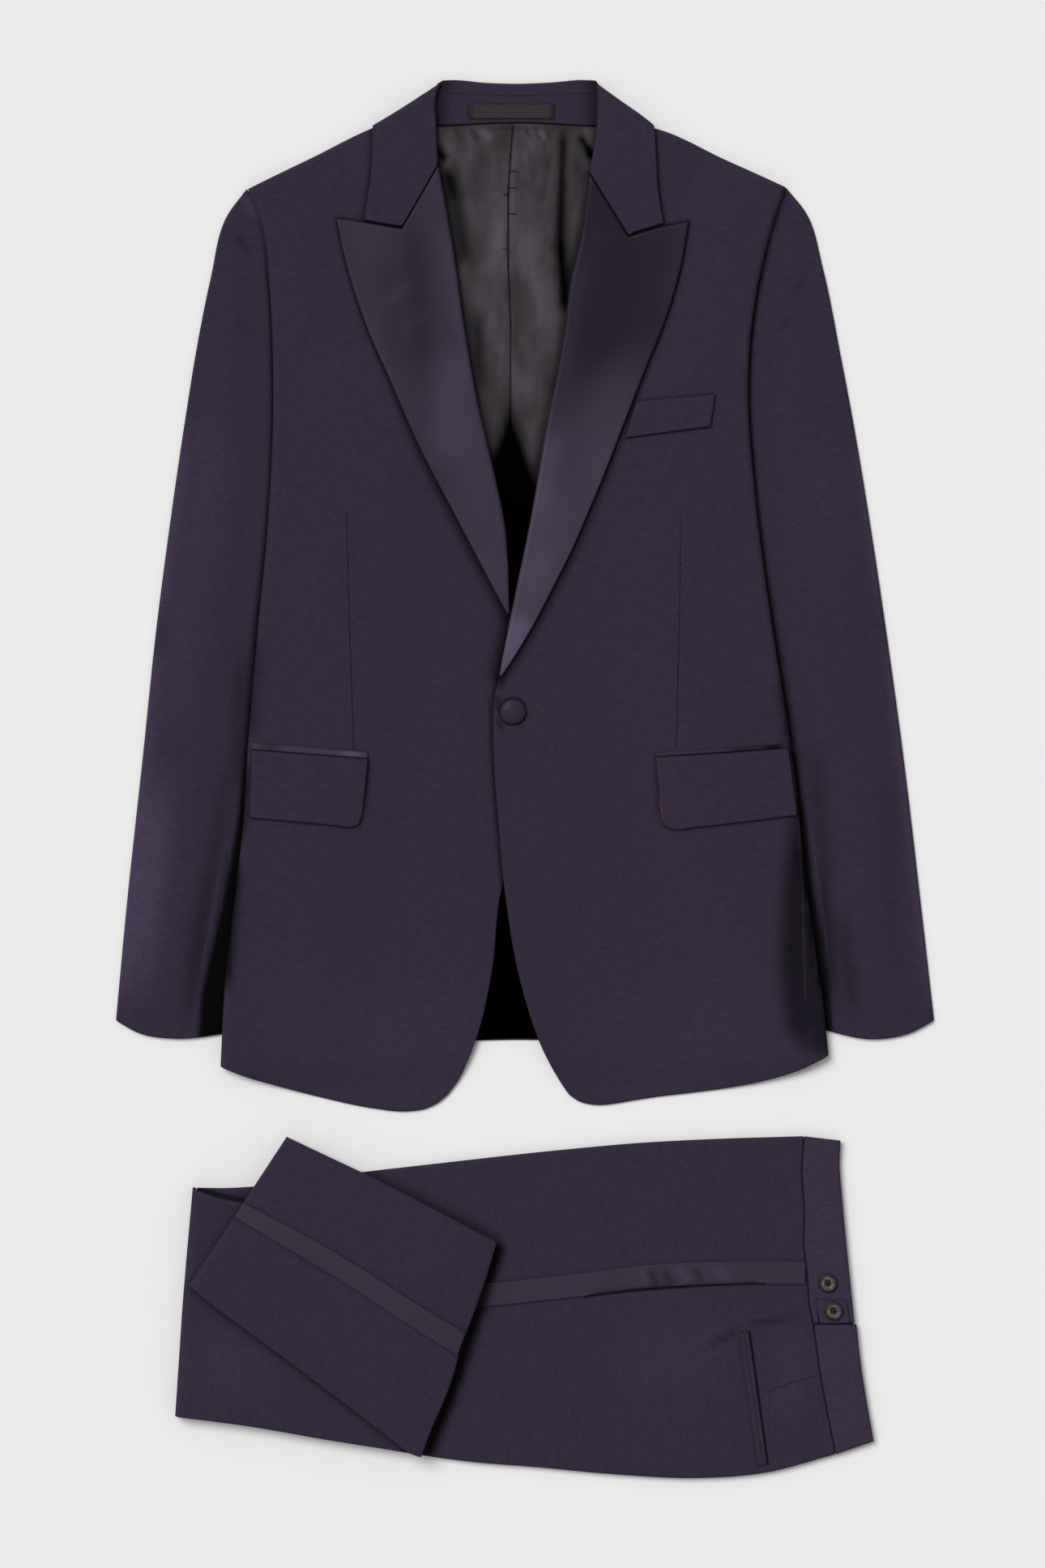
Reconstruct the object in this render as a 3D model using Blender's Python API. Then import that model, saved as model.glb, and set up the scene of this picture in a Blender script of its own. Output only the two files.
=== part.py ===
"""A tuxedo laid flat: a one-button jacket with satin peak lapels, lying on its back, and the
trousers that go with it, lying on their side below the hem with the legs turned back twice.

Lengths are in millimetres until a mesh is made. X runs across the laid set, Y towards the
collar and Z up from the surface it lies on. Right and left are the wearer's, so the right
side of the jacket lies at -X. Each piece of cloth is a wall: a patch between four edges,
laid over whatever is under it, with its folded edges rolled down.
"""

import math
from collections import namedtuple

import bmesh
import bpy
import numpy as np

MM = 0.001

# ---------------------------------------------------------------- cloth thicknesses and gaps
CLOTH = 1.6              # wool of the back, sleeves and trousers
FRONT = 2.6              # wool with its canvas and facing
SATIN = 2.2              # lapel facing, turned over
COLLAR = 2.2
STAND = 3.2              # collar stand, two layers of cloth and a stay
LINING = 1.0
FLAP = 1.5
TRIM = 0.9               # jets, stripes and tab
REST = 0.4               # clearance between layers that lie on each other
LIE = 0.7                # clearance under what is laid on a curved panel
DRAPE = 1.0              # clearance under the lining
SEAM = 0.3               # between two pieces that are sewn edge to edge
CELL = (26.0, 29.0)      # size of the faces of a large panel, across and down

# ---------------------------------------------------------------- heights of the lower layers
UNDER_SLEEVE = 1.5       # top of the under sleeve, flat on the surface
SLEEVE_LOW = 3.9         # top of the top sleeve where it is pressed flat
SLEEVE_LOFT = 3.0        # how much higher the sleeve stands in its middle
CHEST_LOFT = 1.6
TUCK = SLEEVE_LOW + LIE   # what the body lies on over a tucked sleeve
FALL = COLLAR + 0.8      # what the neck lies on over the collar fall
LEG_LAYERS = 5.6         # the three hidden layers of the two legs
LEG_TOP = 7.6            # the cloth that shows on them
TURN_LAYERS = 4.9
TURN_TOP = 15.1          # the legs turned over at the knee
END_LAYERS = 7.7         # hidden layers under the turned-back leg ends, at their fold
HEM_LAYERS = 4.6         # and at their hems

Spot = namedtuple("Spot", "place x y")
Roll = namedtuple("Roll", "radius foot")          # a folded edge and where its skirt ends
Rim = namedtuple("Rim", "inset share")            # one ring of a layered edge
Fold = namedtuple("Fold", "place x0 y0 x1 y1 height width")


def edge(*rows):
    """One edge of a pattern piece, as named spots in order."""
    return [Spot(*row) for row in rows]


# ---------------------------------------------------------------- jacket edges: place, x, y
SIDE_RIGHT = edge(
    ("shoulder point", -220.5, 465.0), ("armhole", -208.5, 437.0), ("armhole", -204.0, 398.0),
    ("chest", -201.0, 342.0), ("underarm", -200.5, 297.0), ("ribs", -205.0, 200.0),
    ("waist", -213.0, 116.0), ("pocket", -219.5, 20.0), ("pocket hem", -222.5, -32.0),
    ("seat", -233.5, -103.0), ("seat", -239.5, -172.0), ("hem", -242.0, -228.0))
SIDE_LEFT = edge(
    ("shoulder point", 206.5, 466.5), ("armhole", 195.5, 434.0), ("armhole", 187.5, 401.0),
    ("chest", 180.5, 358.0), ("underarm", 178.0, 310.0), ("ribs", 183.0, 232.0),
    ("waist", 197.0, 122.0), ("pocket", 210.0, 40.0), ("pocket hem", 220.0, -30.0),
    ("seat", 229.0, -103.0), ("seat", 238.0, -172.0), ("hem", 242.0, -220.0))
SHOULDER_RIGHT = edge(
    ("shoulder point", -220.5, 465.0), ("shoulder", -177.5, 490.5), ("collar", -124.0, 511.5),
    ("under collar", -108.0, 518.5), ("neck point", -77.8, 538.9))
SHOULDER_LEFT = edge(
    ("neck point", 63.0, 539.4), ("under collar", 93.0, 519.5), ("collar", 110.0, 512.0),
    ("shoulder", 163.0, 490.0), ("shoulder point", 206.5, 466.5))
ROLL_RIGHT = edge(
    ("gorge", -68.5, 487.5), ("break", -57.5, 426.0), ("chest", -46.5, 350.0),
    ("chest", -26.0, 251.0), ("ribs", -15.5, 199.5), ("lapel foot", -10.8, 147.0))
ROLL_LEFT = edge(
    ("gorge", 51.0, 481.0), ("break", 44.0, 431.0), ("chest", 31.5, 358.5),
    ("chest", 17.5, 282.0), ("ribs", 5.0, 209.0), ("crossing", -10.0, 136.0),
    ("lapel foot", -20.5, 82.0))
LEAF_INNER_RIGHT = edge(
    ("roll", -74.0, 549.5), ("neck", -71.5, 543.0), ("neck", -72.0, 519.0),
    ("gorge", -68.8, 488.0))
LEAF_INNER_LEFT = edge(
    ("roll", 62.0, 551.3), ("neck", 58.9, 544.0), ("neck", 58.0, 517.0), ("gorge", 51.3, 481.5))
FRONT_EDGE_RIGHT = edge(
    ("lapel foot", -14.0, 147.0), ("underlap", 1.5, 108.0), ("button", 7.5, 52.0),
    ("underlap", 4.0, 0.0), ("underlap", -6.0, -51.0), ("parting", -18.5, -90.0),
    ("skirt", -26.5, -156.5), ("skirt", -38.5, -206.5), ("round corner", -61.0, -252.0))
FRONT_EDGE_LEFT = edge(
    ("lapel foot", -20.5, 82.0), ("overlap", -26.5, 62.0), ("button", -27.0, 35.0),
    ("overlap", -25.5, -15.0), ("parting", -19.0, -78.0), ("skirt", -8.0, -140.0),
    ("skirt", 10.5, -207.0), ("round corner", 35.5, -252.0))
HEM_RIGHT = edge(
    ("side", -242.0, -228.0), ("hem", -206.0, -243.0), ("hem", -160.0, -254.0),
    ("hem", -121.5, -262.0), ("front corner", -92.0, -265.5), ("round corner", -61.0, -252.0))
HEM_LEFT = edge(
    ("round corner", 35.5, -252.0), ("front corner", 57.0, -260.0), ("hem", 85.0, -259.0),
    ("hem", 130.5, -251.5), ("hem", 195.0, -239.5), ("side", 242.0, -220.0))
LAPEL_EDGE_RIGHT = edge(
    ("peak", -151.0, 446.0), ("belly", -143.5, 415.0), ("belly", -127.0, 362.0),
    ("chest", -106.0, 315.0), ("chest", -81.5, 261.5), ("ribs", -58.5, 218.5),
    ("lapel foot", -18.0, 143.0))
LAPEL_EDGE_LEFT = edge(
    ("peak", 131.5, 443.5), ("belly", 125.0, 405.0), ("belly", 112.5, 362.0),
    ("chest", 98.0, 328.0), ("chest", 83.0, 290.5), ("ribs", 58.5, 237.0),
    ("waist", 34.0, 183.5), ("waist", 4.5, 128.0), ("lapel foot", -18.5, 81.0))
PEAK_RIGHT = edge(("peak", -151.0, 446.0), ("collar", -128.5, 443.5), ("notch", -98.0, 438.5))
PEAK_LEFT = edge(("notch", 82.5, 432.5), ("collar", 112.5, 441.0), ("peak", 131.5, 443.5))
GORGE_RIGHT = edge(("notch", -98.0, 438.5), ("gorge", -68.5, 487.5))
GORGE_LEFT = edge(("gorge", 51.0, 481.0), ("notch", 82.5, 432.5))
LEAF_EDGE_RIGHT = edge(
    ("shoulder", -120.5, 517.0), ("leaf", -122.0, 490.0), ("leaf point", -128.3, 444.0))
LEAF_EDGE_LEFT = edge(
    ("shoulder", 105.5, 519.0), ("leaf", 108.0, 490.0), ("leaf point", 112.3, 441.5))
LEAF_SHOULDER_RIGHT = edge(
    ("shoulder", -120.5, 517.0), ("neck side", -88.0, 538.8), ("roll", -74.0, 549.5))
LEAF_SHOULDER_LEFT = edge(("roll", 62.0, 551.3), ("neck side", 82.0, 537.5), ("shoulder", 105.5, 519.0))
STAND_ROLL = edge(("right", -65.3, 555.5), ("centre", -4.5, 553.0), ("left", 55.8, 555.5))
STAND_SEAM = edge(("right", -74.0, 519.0), ("centre", -5.0, 522.0), ("left", 60.5, 519.0))
STAND_END_RIGHT = edge(("roll", -65.3, 555.5), ("neck", -69.0, 544.0), ("seam", -74.0, 519.0))
STAND_END_LEFT = edge(("roll", 55.8, 555.5), ("neck", 57.5, 544.0), ("seam", 60.5, 519.0))
BACK_HEM = edge(
    ("side", -238.0, -223.0), ("seat", -160.0, -216.0), ("centre", -9.0, -206.5),
    ("seat", 130.0, -213.0), ("side", 238.0, -216.0))

SLEEVE_EDGE_RIGHT = edge(
    ("sleeve head", -221.5, 469.0), ("sleeve head", -235.5, 450.0), ("head", -250.5, 398.5),
    ("biceps", -262.0, 345.0), ("biceps", -269.5, 290.0), ("elbow", -290.0, 116.0),
    ("forearm", -316.5, -103.0), ("cuff", -325.5, -193.0))
SLEEVE_EDGE_LEFT = edge(
    ("sleeve head", 207.5, 470.5), ("sleeve head", 222.5, 450.0), ("head", 237.5, 406.0),
    ("biceps", 252.0, 340.0), ("biceps", 262.0, 284.0), ("elbow", 286.0, 116.0),
    ("forearm", 315.5, -103.0), ("cuff", 325.5, -193.0))
HEAD_RIGHT = edge(
    ("sleeve head", -221.5, 469.0), ("under front", -203.0, 445.0), ("armhole", -193.0, 390.0),
    ("armhole", -186.0, 335.0), ("underarm", -160.0, 300.0), ("underarm", -118.0, 288.0))
HEAD_LEFT = edge(
    ("underarm", 112.0, 288.0), ("underarm", 146.0, 300.0), ("armhole", 166.0, 335.0),
    ("armhole", 176.0, 390.0), ("under front", 188.0, 445.0), ("sleeve head", 207.5, 470.5))
TUCKED_RIGHT = edge(
    ("underarm", -118.0, 288.0), ("elbow", -140.0, 116.0), ("forearm", -160.0, -30.0),
    ("cuff", -191.5, -190.0))
TUCKED_LEFT = edge(
    ("underarm", 112.0, 288.0), ("elbow", 134.0, 116.0), ("forearm", 157.0, -30.0),
    ("cuff", 191.5, -186.5))
CUFF_RIGHT = edge(
    ("outer", -325.5, -193.0), ("cuff", -308.0, -203.0), ("cuff", -278.5, -207.5),
    ("cuff", -241.0, -203.5), ("inner", -191.5, -190.0))
CUFF_LEFT = edge(
    ("inner", 191.5, -186.5), ("cuff", 240.5, -201.0), ("cuff", 278.0, -208.0),
    ("cuff", 306.0, -203.5), ("outer", 325.5, -193.0))

FLAP_TOP_RIGHT = edge(("side", -217.5, 22.5), ("front end", -124.5, 15.5))
FLAP_FRONT_RIGHT = edge(
    ("top", -124.5, 15.5), ("front end", -128.0, -20.0), ("front end", -130.0, -31.0),
    ("round corner", -133.5, -36.5))
FLAP_FOOT_RIGHT = edge(
    ("side", -219.0, -33.0), ("foot", -160.0, -37.6), ("foot", -142.0, -39.3),
    ("round corner", -133.5, -36.5))
FLAP_TOP_LEFT = edge(("front end", 103.5, 17.0), ("side", 209.0, 23.5))
FLAP_FRONT_LEFT = edge(
    ("top", 103.5, 17.0), ("front end", 106.8, -15.0), ("front end", 109.0, -30.0),
    ("round corner", 112.0, -37.5))
FLAP_FOOT_LEFT = edge(
    ("round corner", 112.0, -37.5), ("foot", 119.0, -41.3), ("foot", 160.0, -36.5),
    ("side", 216.5, -29.5))
# Small pieces: four corners each, the top edge first, in order round the piece.
JET_RIGHT = edge(
    ("side", -217.5, 28.5), ("front", -125.0, 20.8), ("front", -124.8, 15.9), ("side", -217.5, 23.0))
JET_LEFT = edge(
    ("front", 105.0, 22.0), ("side", 208.0, 28.8), ("side", 208.6, 24.0), ("front", 104.0, 17.5))
WELT = edge(
    ("front", 88.5, 299.5), ("side", 151.5, 305.5), ("side", 147.5, 279.5), ("front", 79.5, 270.5))
LABEL = edge(
    ("right", -44.5, 536.5), ("left", 23.0, 536.5), ("left", 23.0, 525.5), ("right", -44.5, 525.5))
FRONT_BUTTON = Spot("front button", -9.5, 53.0)

# ---------------------------------------------------------------- trouser edges: place, x, y
LEG_FRONT_EDGE = edge(
    ("knee fold", -264.5, -326.0), ("knee", -213.5, -323.0), ("knee", -128.5, -314.0),
    ("thigh", -80.5, -307.5), ("thigh", 33.5, -296.5), ("hip", 149.5, -288.5), ("waist", 222.0, -286.5))
LEG_BACK_EDGE = edge(
    ("knee fold", -278.5, -507.5), ("knee", -222.5, -514.5), ("knee", -156.5, -525.5),
    ("thigh", -80.5, -538.5), ("thigh", -43.0, -543.5), ("thigh", 7.5, -547.0), ("hip", 149.5, -556.5),
    ("seat", 195.0, -551.0), ("waist", 247.0, -535.5))
SIDE_SEAM = edge(
    ("knee fold", -270.5, -417.0), ("knee", -130.0, -420.0), ("thigh", -28.5, -411.0),
    ("thigh", 44.5, -403.0), ("hip", 97.0, -396.5), ("hip", 160.0, -393.5), ("waist", 224.5, -393.5))
WAIST_SEAM_FRONT = edge(
    ("centre front", 222.0, -286.5), ("waist", 220.5, -314.0), ("waist", 222.5, -346.0),
    ("side seam", 224.5, -393.5))
WAIST_SEAM_BACK = edge(
    ("side seam", 224.5, -393.5), ("waist", 226.5, -418.0), ("waist", 230.5, -441.0),
    ("waist", 233.5, -470.0), ("centre back", 247.0, -535.5))
WAIST_EDGE_FRONT = edge(
    ("centre front", 251.5, -288.5), ("waist", 250.0, -305.0), ("waist", 253.0, -333.0),
    ("waist", 257.5, -376.5), ("side", 262.0, -434.0))
WAIST_EDGE_BACK = edge(
    ("side", 264.0, -434.6), ("waist", 267.5, -460.0), ("waist", 273.0, -493.5),
    ("centre back", 278.3, -528.0))
KNEE_FOLD = edge(
    ("front edge", -264.5, -326.0), ("fold", -268.5, -384.0), ("fold", -271.5, -422.0),
    ("fold", -275.0, -460.0), ("back edge", -278.5, -507.5))
TURN_FRONT_EDGE = edge(
    ("knee fold", -264.5, -326.0), ("wedge", -222.5, -337.5), ("hidden fold", -56.0, -378.0))
TURN_BACK_EDGE = edge(
    ("knee fold", -278.5, -507.5), ("knee", -222.5, -514.5), ("knee", -156.5, -525.5),
    ("hidden fold", -122.0, -530.5))
END_FRONT_EDGE = edge(("fold", -189.5, -285.0), ("hem", -22.0, -368.0))
END_SEAM = edge(("fold", -226.8, -341.8), ("hem", -56.0, -451.0))
END_BACK_EDGE = edge(
    ("fold", -266.0, -401.5), ("shin", -252.0, -418.0), ("shin", -236.0, -429.6),
    ("shin", -105.0, -524.5), ("shin", -91.0, -534.6), ("hem", -82.0, -537.5))
END_STRIPE_HALF = 7.6
STRIPE_HALF = 9.4
BACK_JET = edge(
    ("side", 171.0, -441.5), ("side", 178.5, -440.5), ("centre", 193.0, -545.0), ("centre", 185.5, -546.5))
TAB = edge(
    ("front", 231.0, -415.0), ("front", 256.0, -414.5), ("back", 259.0, -433.4), ("back", 235.0, -434.0))
WAIST_BUTTON = Spot("waistband button", 241.0, -401.5)
TAB_BUTTON = Spot("tab button", 245.5, -423.5)

# ---------------------------------------------------------------- the largest folds
SLEEVE_FOLDS = (
    Fold("right sleeve head", -233.0, 431.0, -216.0, 418.0, -0.9, 7.0),
    Fold("left sleeve head", 221.0, 408.0, 205.0, 386.0, -0.9, 7.0),
    Fold("right forearm", -271.0, -90.0, -276.0, -160.0, 0.8, 14.0),
    Fold("left forearm", 262.0, 20.0, 276.0, -150.0, 0.8, 14.0))
FRONT_FOLDS = (
    Fold("left seat", 218.0, -100.0, 226.0, -206.0, -0.8, 8.0),
    Fold("right ribs", -150.0, 250.0, -160.0, 90.0, 0.6, 26.0),
    Fold("left ribs", 140.0, 250.0, 146.0, 90.0, 0.6, 26.0))
LEG_FOLDS = (
    Fold("hip", 149.0, -452.0, 196.0, -430.0, 0.7, 10.0),
    Fold("thigh", 30.0, -470.0, 130.0, -500.0, 0.5, 30.0))


# ---------------------------------------------------------------- plan curves and patches
def rounded(spots, step=4.0):
    """Points about `step` apart on a smooth curve through the spots of one edge."""
    p = np.array([(s.x, s.y) for s in spots], float)
    knots = np.concatenate([[0.0], np.cumsum(np.hypot(*np.diff(p, axis=0).T))])
    slope = np.gradient(p, knots, axis=0)
    out = []
    for k in range(len(p) - 1):
        span = knots[k + 1] - knots[k]
        t = np.linspace(0, 1, max(2, int(span / step)), endpoint=False)[:, None]
        out.append((2 * t**3 - 3 * t**2 + 1) * p[k] + (t**3 - 2 * t**2 + t) * span * slope[k]
                   + (3 * t**2 - 2 * t**3) * p[k + 1] + (t**3 - t**2) * span * slope[k + 1])
    return np.vstack(out + [p[-1:]])


def joined(*lines):
    """One line through several, with a corner where they meet."""
    return np.vstack([lines[0]] + [line[1:] for line in lines[1:]])


def run(*edges):
    return joined(*[rounded(spots) for spots in edges])


def along(line, t):
    """Points at the fractions t of a line's length."""
    far = np.concatenate([[0.0], np.cumsum(np.hypot(*np.diff(line, axis=0).T))])
    return np.stack([np.interp(t * far[-1], far, line[:, k]) for k in (0, 1)], axis=-1)


def part_of(line, start, end):
    """The stretch of a line between two fractions of its length."""
    return along(line, np.linspace(start, end, max(2, len(line))))


def beside(line, distance):
    """The line moved sideways, to the left of the way it runs."""
    way = np.gradient(line, axis=0)
    way /= np.hypot(*way.T)[:, None]
    return line + distance * np.stack([-way[:, 1], way[:, 0]], axis=1)


STRAIGHT = np.zeros((0, 2))


class Patch:
    """A piece of cloth in plan, spread between four lines: u runs across, v runs down."""

    def __init__(self, top, bottom, left=None, right=None):
        self.top, self.bottom = top, bottom
        self.left = np.vstack([top[:1], STRAIGHT if left is None else left[1:-1], bottom[:1]])
        self.right = np.vstack([top[-1:], STRAIGHT if right is None else right[1:-1], bottom[-1:]])

    def __call__(self, u, v):
        a, b = u[..., None], v[..., None]
        across = (1 - a) * along(self.left, v) + a * along(self.right, v)
        down = (1 - b) * along(self.top, u) + b * along(self.bottom, u)
        corners = ((1 - a) * (1 - b) * self.top[0] + a * (1 - b) * self.top[-1]
                   + (1 - a) * b * self.bottom[0] + a * b * self.bottom[-1])
        return across + down - corners

    def outline(self):
        return joined(self.left, self.bottom, self.right[::-1], self.top[::-1])[:-1]


def four_sided(spots):
    """A patch between four straight sides, from its corners in order round it."""
    a, b, c, d = spots
    return Patch(rounded([a, b]), rounded([d, c]), rounded([a, d]), rounded([b, c]))


def share_at(line, place):
    """How far along a line its point number `place` comes, as a share of its length."""
    far = np.cumsum(np.hypot(*np.diff(line, axis=0).T))
    return far[place - 1] / far[-1]


def line_between(a, b):
    return rounded([Spot("start", *a), Spot("end", *b)])


# ---------------------------------------------------------------- what lies on what
def outside(outline, x, y):
    """How far plan points lie outside a closed outline; negative inside it."""
    p = np.stack([np.ravel(x), np.ravel(y)], axis=1)
    side = np.roll(outline, -1, axis=0) - outline
    rel = p[:, None, :] - outline[None]
    t = np.clip((rel * side).sum(-1) / np.maximum((side * side).sum(-1), 1e-9), 0, 1)
    near = np.hypot(*np.moveaxis(rel - t[..., None] * side, -1, 0)).min(axis=1)
    crosses = (outline[:, 1] > p[:, 1:]) != (outline[:, 1] + side[:, 1] > p[:, 1:])
    rise = np.where(np.abs(side[:, 1]) < 1e-9, 1e-9, side[:, 1])
    at = outline[:, 0] + rel[..., 1] / rise * side[:, 0]
    inside = (crosses & (p[:, :1] < at)).sum(axis=1) % 2 == 1
    return np.where(inside, -near, near).reshape(np.shape(x))


def smooth(t):
    t = np.clip(t, 0, 1)
    return t * t * (3 - 2 * t)


def over(outline, x, y, margin, slope):
    """1 over an outline and its margin, easing to 0 across a slope beside it."""
    return 1 - smooth((outside(outline, x, y) - margin) / slope)


def folds(table, x, y):
    """Height of soft ridges and troughs laid along straight lines."""
    total = np.zeros(np.shape(x))
    for f in table:
        run_x, run_y = f.x1 - f.x0, f.y1 - f.y0
        span = math.hypot(run_x, run_y)
        t = ((x - f.x0) * run_x + (y - f.y0) * run_y) / span**2
        off = ((x - f.x0) * run_y - (y - f.y0) * run_x) / span
        total += f.height * np.exp(-(off / f.width)**2) * smooth(2.5 * t) * smooth(2.5 * (1 - t))
    return total


def level(height):
    """A flat surface."""
    return lambda x, y: np.full(np.shape(x), height)


def raised(base, amount):
    """A surface that lies `amount` above another one."""
    return lambda x, y: base(x, y) + amount


# ---------------------------------------------------------------- the patches of the jacket
FACING_INSET = SATIN + 1.3        # front edge inside the rolled lapel and collar
BODY_WRAP = FRONT + 1.0           # back panels inside the rolled side of the fronts
SLEEVE_WRAP = CLOTH + 1.1         # under sleeve inside the rolled top sleeve
CENTRE_BACK = 0.49                # share of the neck seam on the right half
CENTRE_HEM = 0.481                # share of the back hem on the right half

FRONT_RIGHT = Patch(
    run(SHOULDER_RIGHT), run(HEM_RIGHT), run(SIDE_RIGHT),
    joined(line_between((-77.8, 538.9), (-76.8, 517.0)),
           beside(run(LEAF_INNER_RIGHT[2:], ROLL_RIGHT), -FACING_INSET), run(FRONT_EDGE_RIGHT)))
FRONT_LEFT = Patch(
    run(SHOULDER_LEFT), run(HEM_LEFT),
    joined(line_between((63.0, 539.4), (62.4, 517.0)),
           part_of(beside(run(LEAF_INNER_LEFT[2:], ROLL_LEFT), FACING_INSET), 0, 0.96),
           run(FRONT_EDGE_LEFT)),
    run(SIDE_LEFT))
SLEEVE_RIGHT = Patch(run(HEAD_RIGHT), run(CUFF_RIGHT), run(SLEEVE_EDGE_RIGHT), run(TUCKED_RIGHT))
SLEEVE_LEFT = Patch(run(HEAD_LEFT), run(CUFF_LEFT), run(TUCKED_LEFT), run(SLEEVE_EDGE_LEFT))
UNDER_SLEEVE_RIGHT = Patch(
    part_of(beside(run(HEAD_RIGHT), -0.5), 0.02, 0.97),
    part_of(beside(run(CUFF_RIGHT), 0.6), 0.02, 0.98),
    beside(run(SLEEVE_EDGE_RIGHT), SLEEVE_WRAP), beside(run(TUCKED_RIGHT), -SLEEVE_WRAP))
UNDER_SLEEVE_LEFT = Patch(
    part_of(beside(run(HEAD_LEFT), -0.5), 0.03, 0.98),
    part_of(beside(run(CUFF_LEFT), 0.6), 0.02, 0.98),
    beside(run(TUCKED_LEFT), SLEEVE_WRAP), beside(run(SLEEVE_EDGE_LEFT), -SLEEVE_WRAP))

NECK_SEAM = run(STAND_SEAM) - (0, SEAM)
BACK_SHOULDER_RIGHT = beside(part_of(run(SHOULDER_RIGHT), 0.04, 0.95), -BODY_WRAP - 0.9)
BACK_SHOULDER_LEFT = beside(part_of(run(SHOULDER_LEFT), 0.05, 0.96), -BODY_WRAP - 0.9)
NECK_RIGHT = part_of(NECK_SEAM, 0, CENTRE_BACK)
NECK_LEFT = part_of(NECK_SEAM, CENTRE_BACK, 1) + (SEAM, 0)
HEM_BACK_RIGHT = part_of(run(BACK_HEM), 0, CENTRE_HEM)
HEM_BACK_LEFT = part_of(run(BACK_HEM), CENTRE_HEM, 1) + (SEAM, 0)
BACK_RIGHT = Patch(
    np.vstack([BACK_SHOULDER_RIGHT, NECK_RIGHT]), HEM_BACK_RIGHT,
    part_of(beside(run(SIDE_RIGHT), BODY_WRAP), 0, 0.99),
    line_between(NECK_RIGHT[-1], HEM_BACK_RIGHT[-1]))
BACK_LEFT = Patch(
    np.vstack([NECK_LEFT, BACK_SHOULDER_LEFT]), HEM_BACK_LEFT,
    line_between(NECK_LEFT[0], HEM_BACK_LEFT[0]),
    part_of(beside(run(SIDE_LEFT), -BODY_WRAP), 0, 0.99))
COLLAR_FALL = Patch(
    np.vstack([[(-106.0, 513.5), (-84.0, 533.0)],
               beside(part_of(run(STAND_ROLL), 0.03, 0.97), -STAND - 1.0),
               [(78.0, 529.0), (92.0, 515.5)]]),
    run(edge(("side", -106.0, 507.5), ("fall", -80.0, 497.0), ("centre", -4.5, 493.0),
             ("fall", 70.0, 497.0), ("side", 92.0, 508.5))))
LINING_PATCH = Patch(
    np.vstack([[(-82.0, 515.0)], NECK_SEAM - (0, SEAM), [(72.0, 515.0)]]),
    run(edge(("hem", -62.0, -208.5), ("centre", -9.0, -205.0), ("hem", 44.0, -207.0))),
    run(edge(("neck", -82.0, 515.0), ("chest", -64.0, 400.0), ("ribs", -48.0, 250.0),
             ("waist", -42.0, 100.0), ("hem", -62.0, -208.5))),
    run(edge(("neck", 72.0, 515.0), ("chest", 57.0, 400.0), ("ribs", 37.0, 250.0),
             ("waist", 30.0, 100.0), ("hem", 44.0, -207.0))))
STAND_PATCH = Patch(run(STAND_ROLL), run(STAND_SEAM), run(STAND_END_RIGHT), run(STAND_END_LEFT))
LEAF_RIGHT = Patch(
    run(LEAF_SHOULDER_RIGHT),
    joined(line_between((-128.3, 444.0), (-98.3, 439.2)), run(GORGE_RIGHT) + (-0.5, 0.6)),
    run(LEAF_EDGE_RIGHT), run(LEAF_INNER_RIGHT))
LEAF_LEFT = Patch(
    run(LEAF_SHOULDER_LEFT),
    joined(run(GORGE_LEFT) + (0.5, 0.6), line_between((82.8, 433.2), (112.3, 441.8))),
    run(LEAF_INNER_LEFT), run(LEAF_EDGE_LEFT))
LAPEL_RIGHT = Patch(
    run(PEAK_RIGHT, GORGE_RIGHT), line_between((-18.0, 143.0), (-10.8, 147.0)),
    run(LAPEL_EDGE_RIGHT), run(ROLL_RIGHT))
LAPEL_LEFT = Patch(
    run(GORGE_LEFT, PEAK_LEFT), line_between((-20.5, 82.0), (-18.5, 81.0)),
    run(ROLL_LEFT), run(LAPEL_EDGE_LEFT))
OUTLINE_FRONT_RIGHT = FRONT_RIGHT.outline()
OUTLINE_FRONT_LEFT = FRONT_LEFT.outline()


# ---------------------------------------------------------------- heights of the jacket
def under_body(x, y):
    """What the back lies on: the surface, a tucked sleeve, or the collar fall."""
    sleeves = np.maximum(over(SLEEVE_RIGHT.outline(), x, y, 10, 62),
                         over(SLEEVE_LEFT.outline(), x, y, 10, 62))
    return np.maximum(TUCK * sleeves, FALL * over(COLLAR_FALL.outline(), x, y, 12, 50))


def back_top(x, y):
    return under_body(x, y) + CLOTH


def front_under(x, y):
    """Underside of the fronts: on the back and its lining, and down to the surface past its hem."""
    lift = CLOTH + DRAPE + LINING + LIE
    back = np.maximum(over(BACK_RIGHT.outline(), x, y, 6, 34), over(BACK_LEFT.outline(), x, y, 6, 34))
    return under_body(x, y) + REST + (lift - REST) * back


def chest(outline, x, y):
    """Loft of the canvas, which eases off towards the edges of the front."""
    return CHEST_LOFT * smooth((-outside(outline, x, y) - 6) / 60) * smooth((y + 190) / 260)


def front_right_top(x, y):
    return front_under(x, y) + FRONT + chest(OUTLINE_FRONT_RIGHT, x, y) + folds(FRONT_FOLDS, x, y)


def front_left_top(x, y):
    """The left front lies over the right one, and eases down beside it."""
    own = front_under(x, y) + FRONT + chest(OUTLINE_FRONT_LEFT, x, y) + folds(FRONT_FOLDS, x, y)
    on_right = front_right_top(x, y) + REST + FRONT
    return own + np.maximum(on_right - own, 0) * over(OUTLINE_FRONT_RIGHT, x, y, 8, 60)


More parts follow.
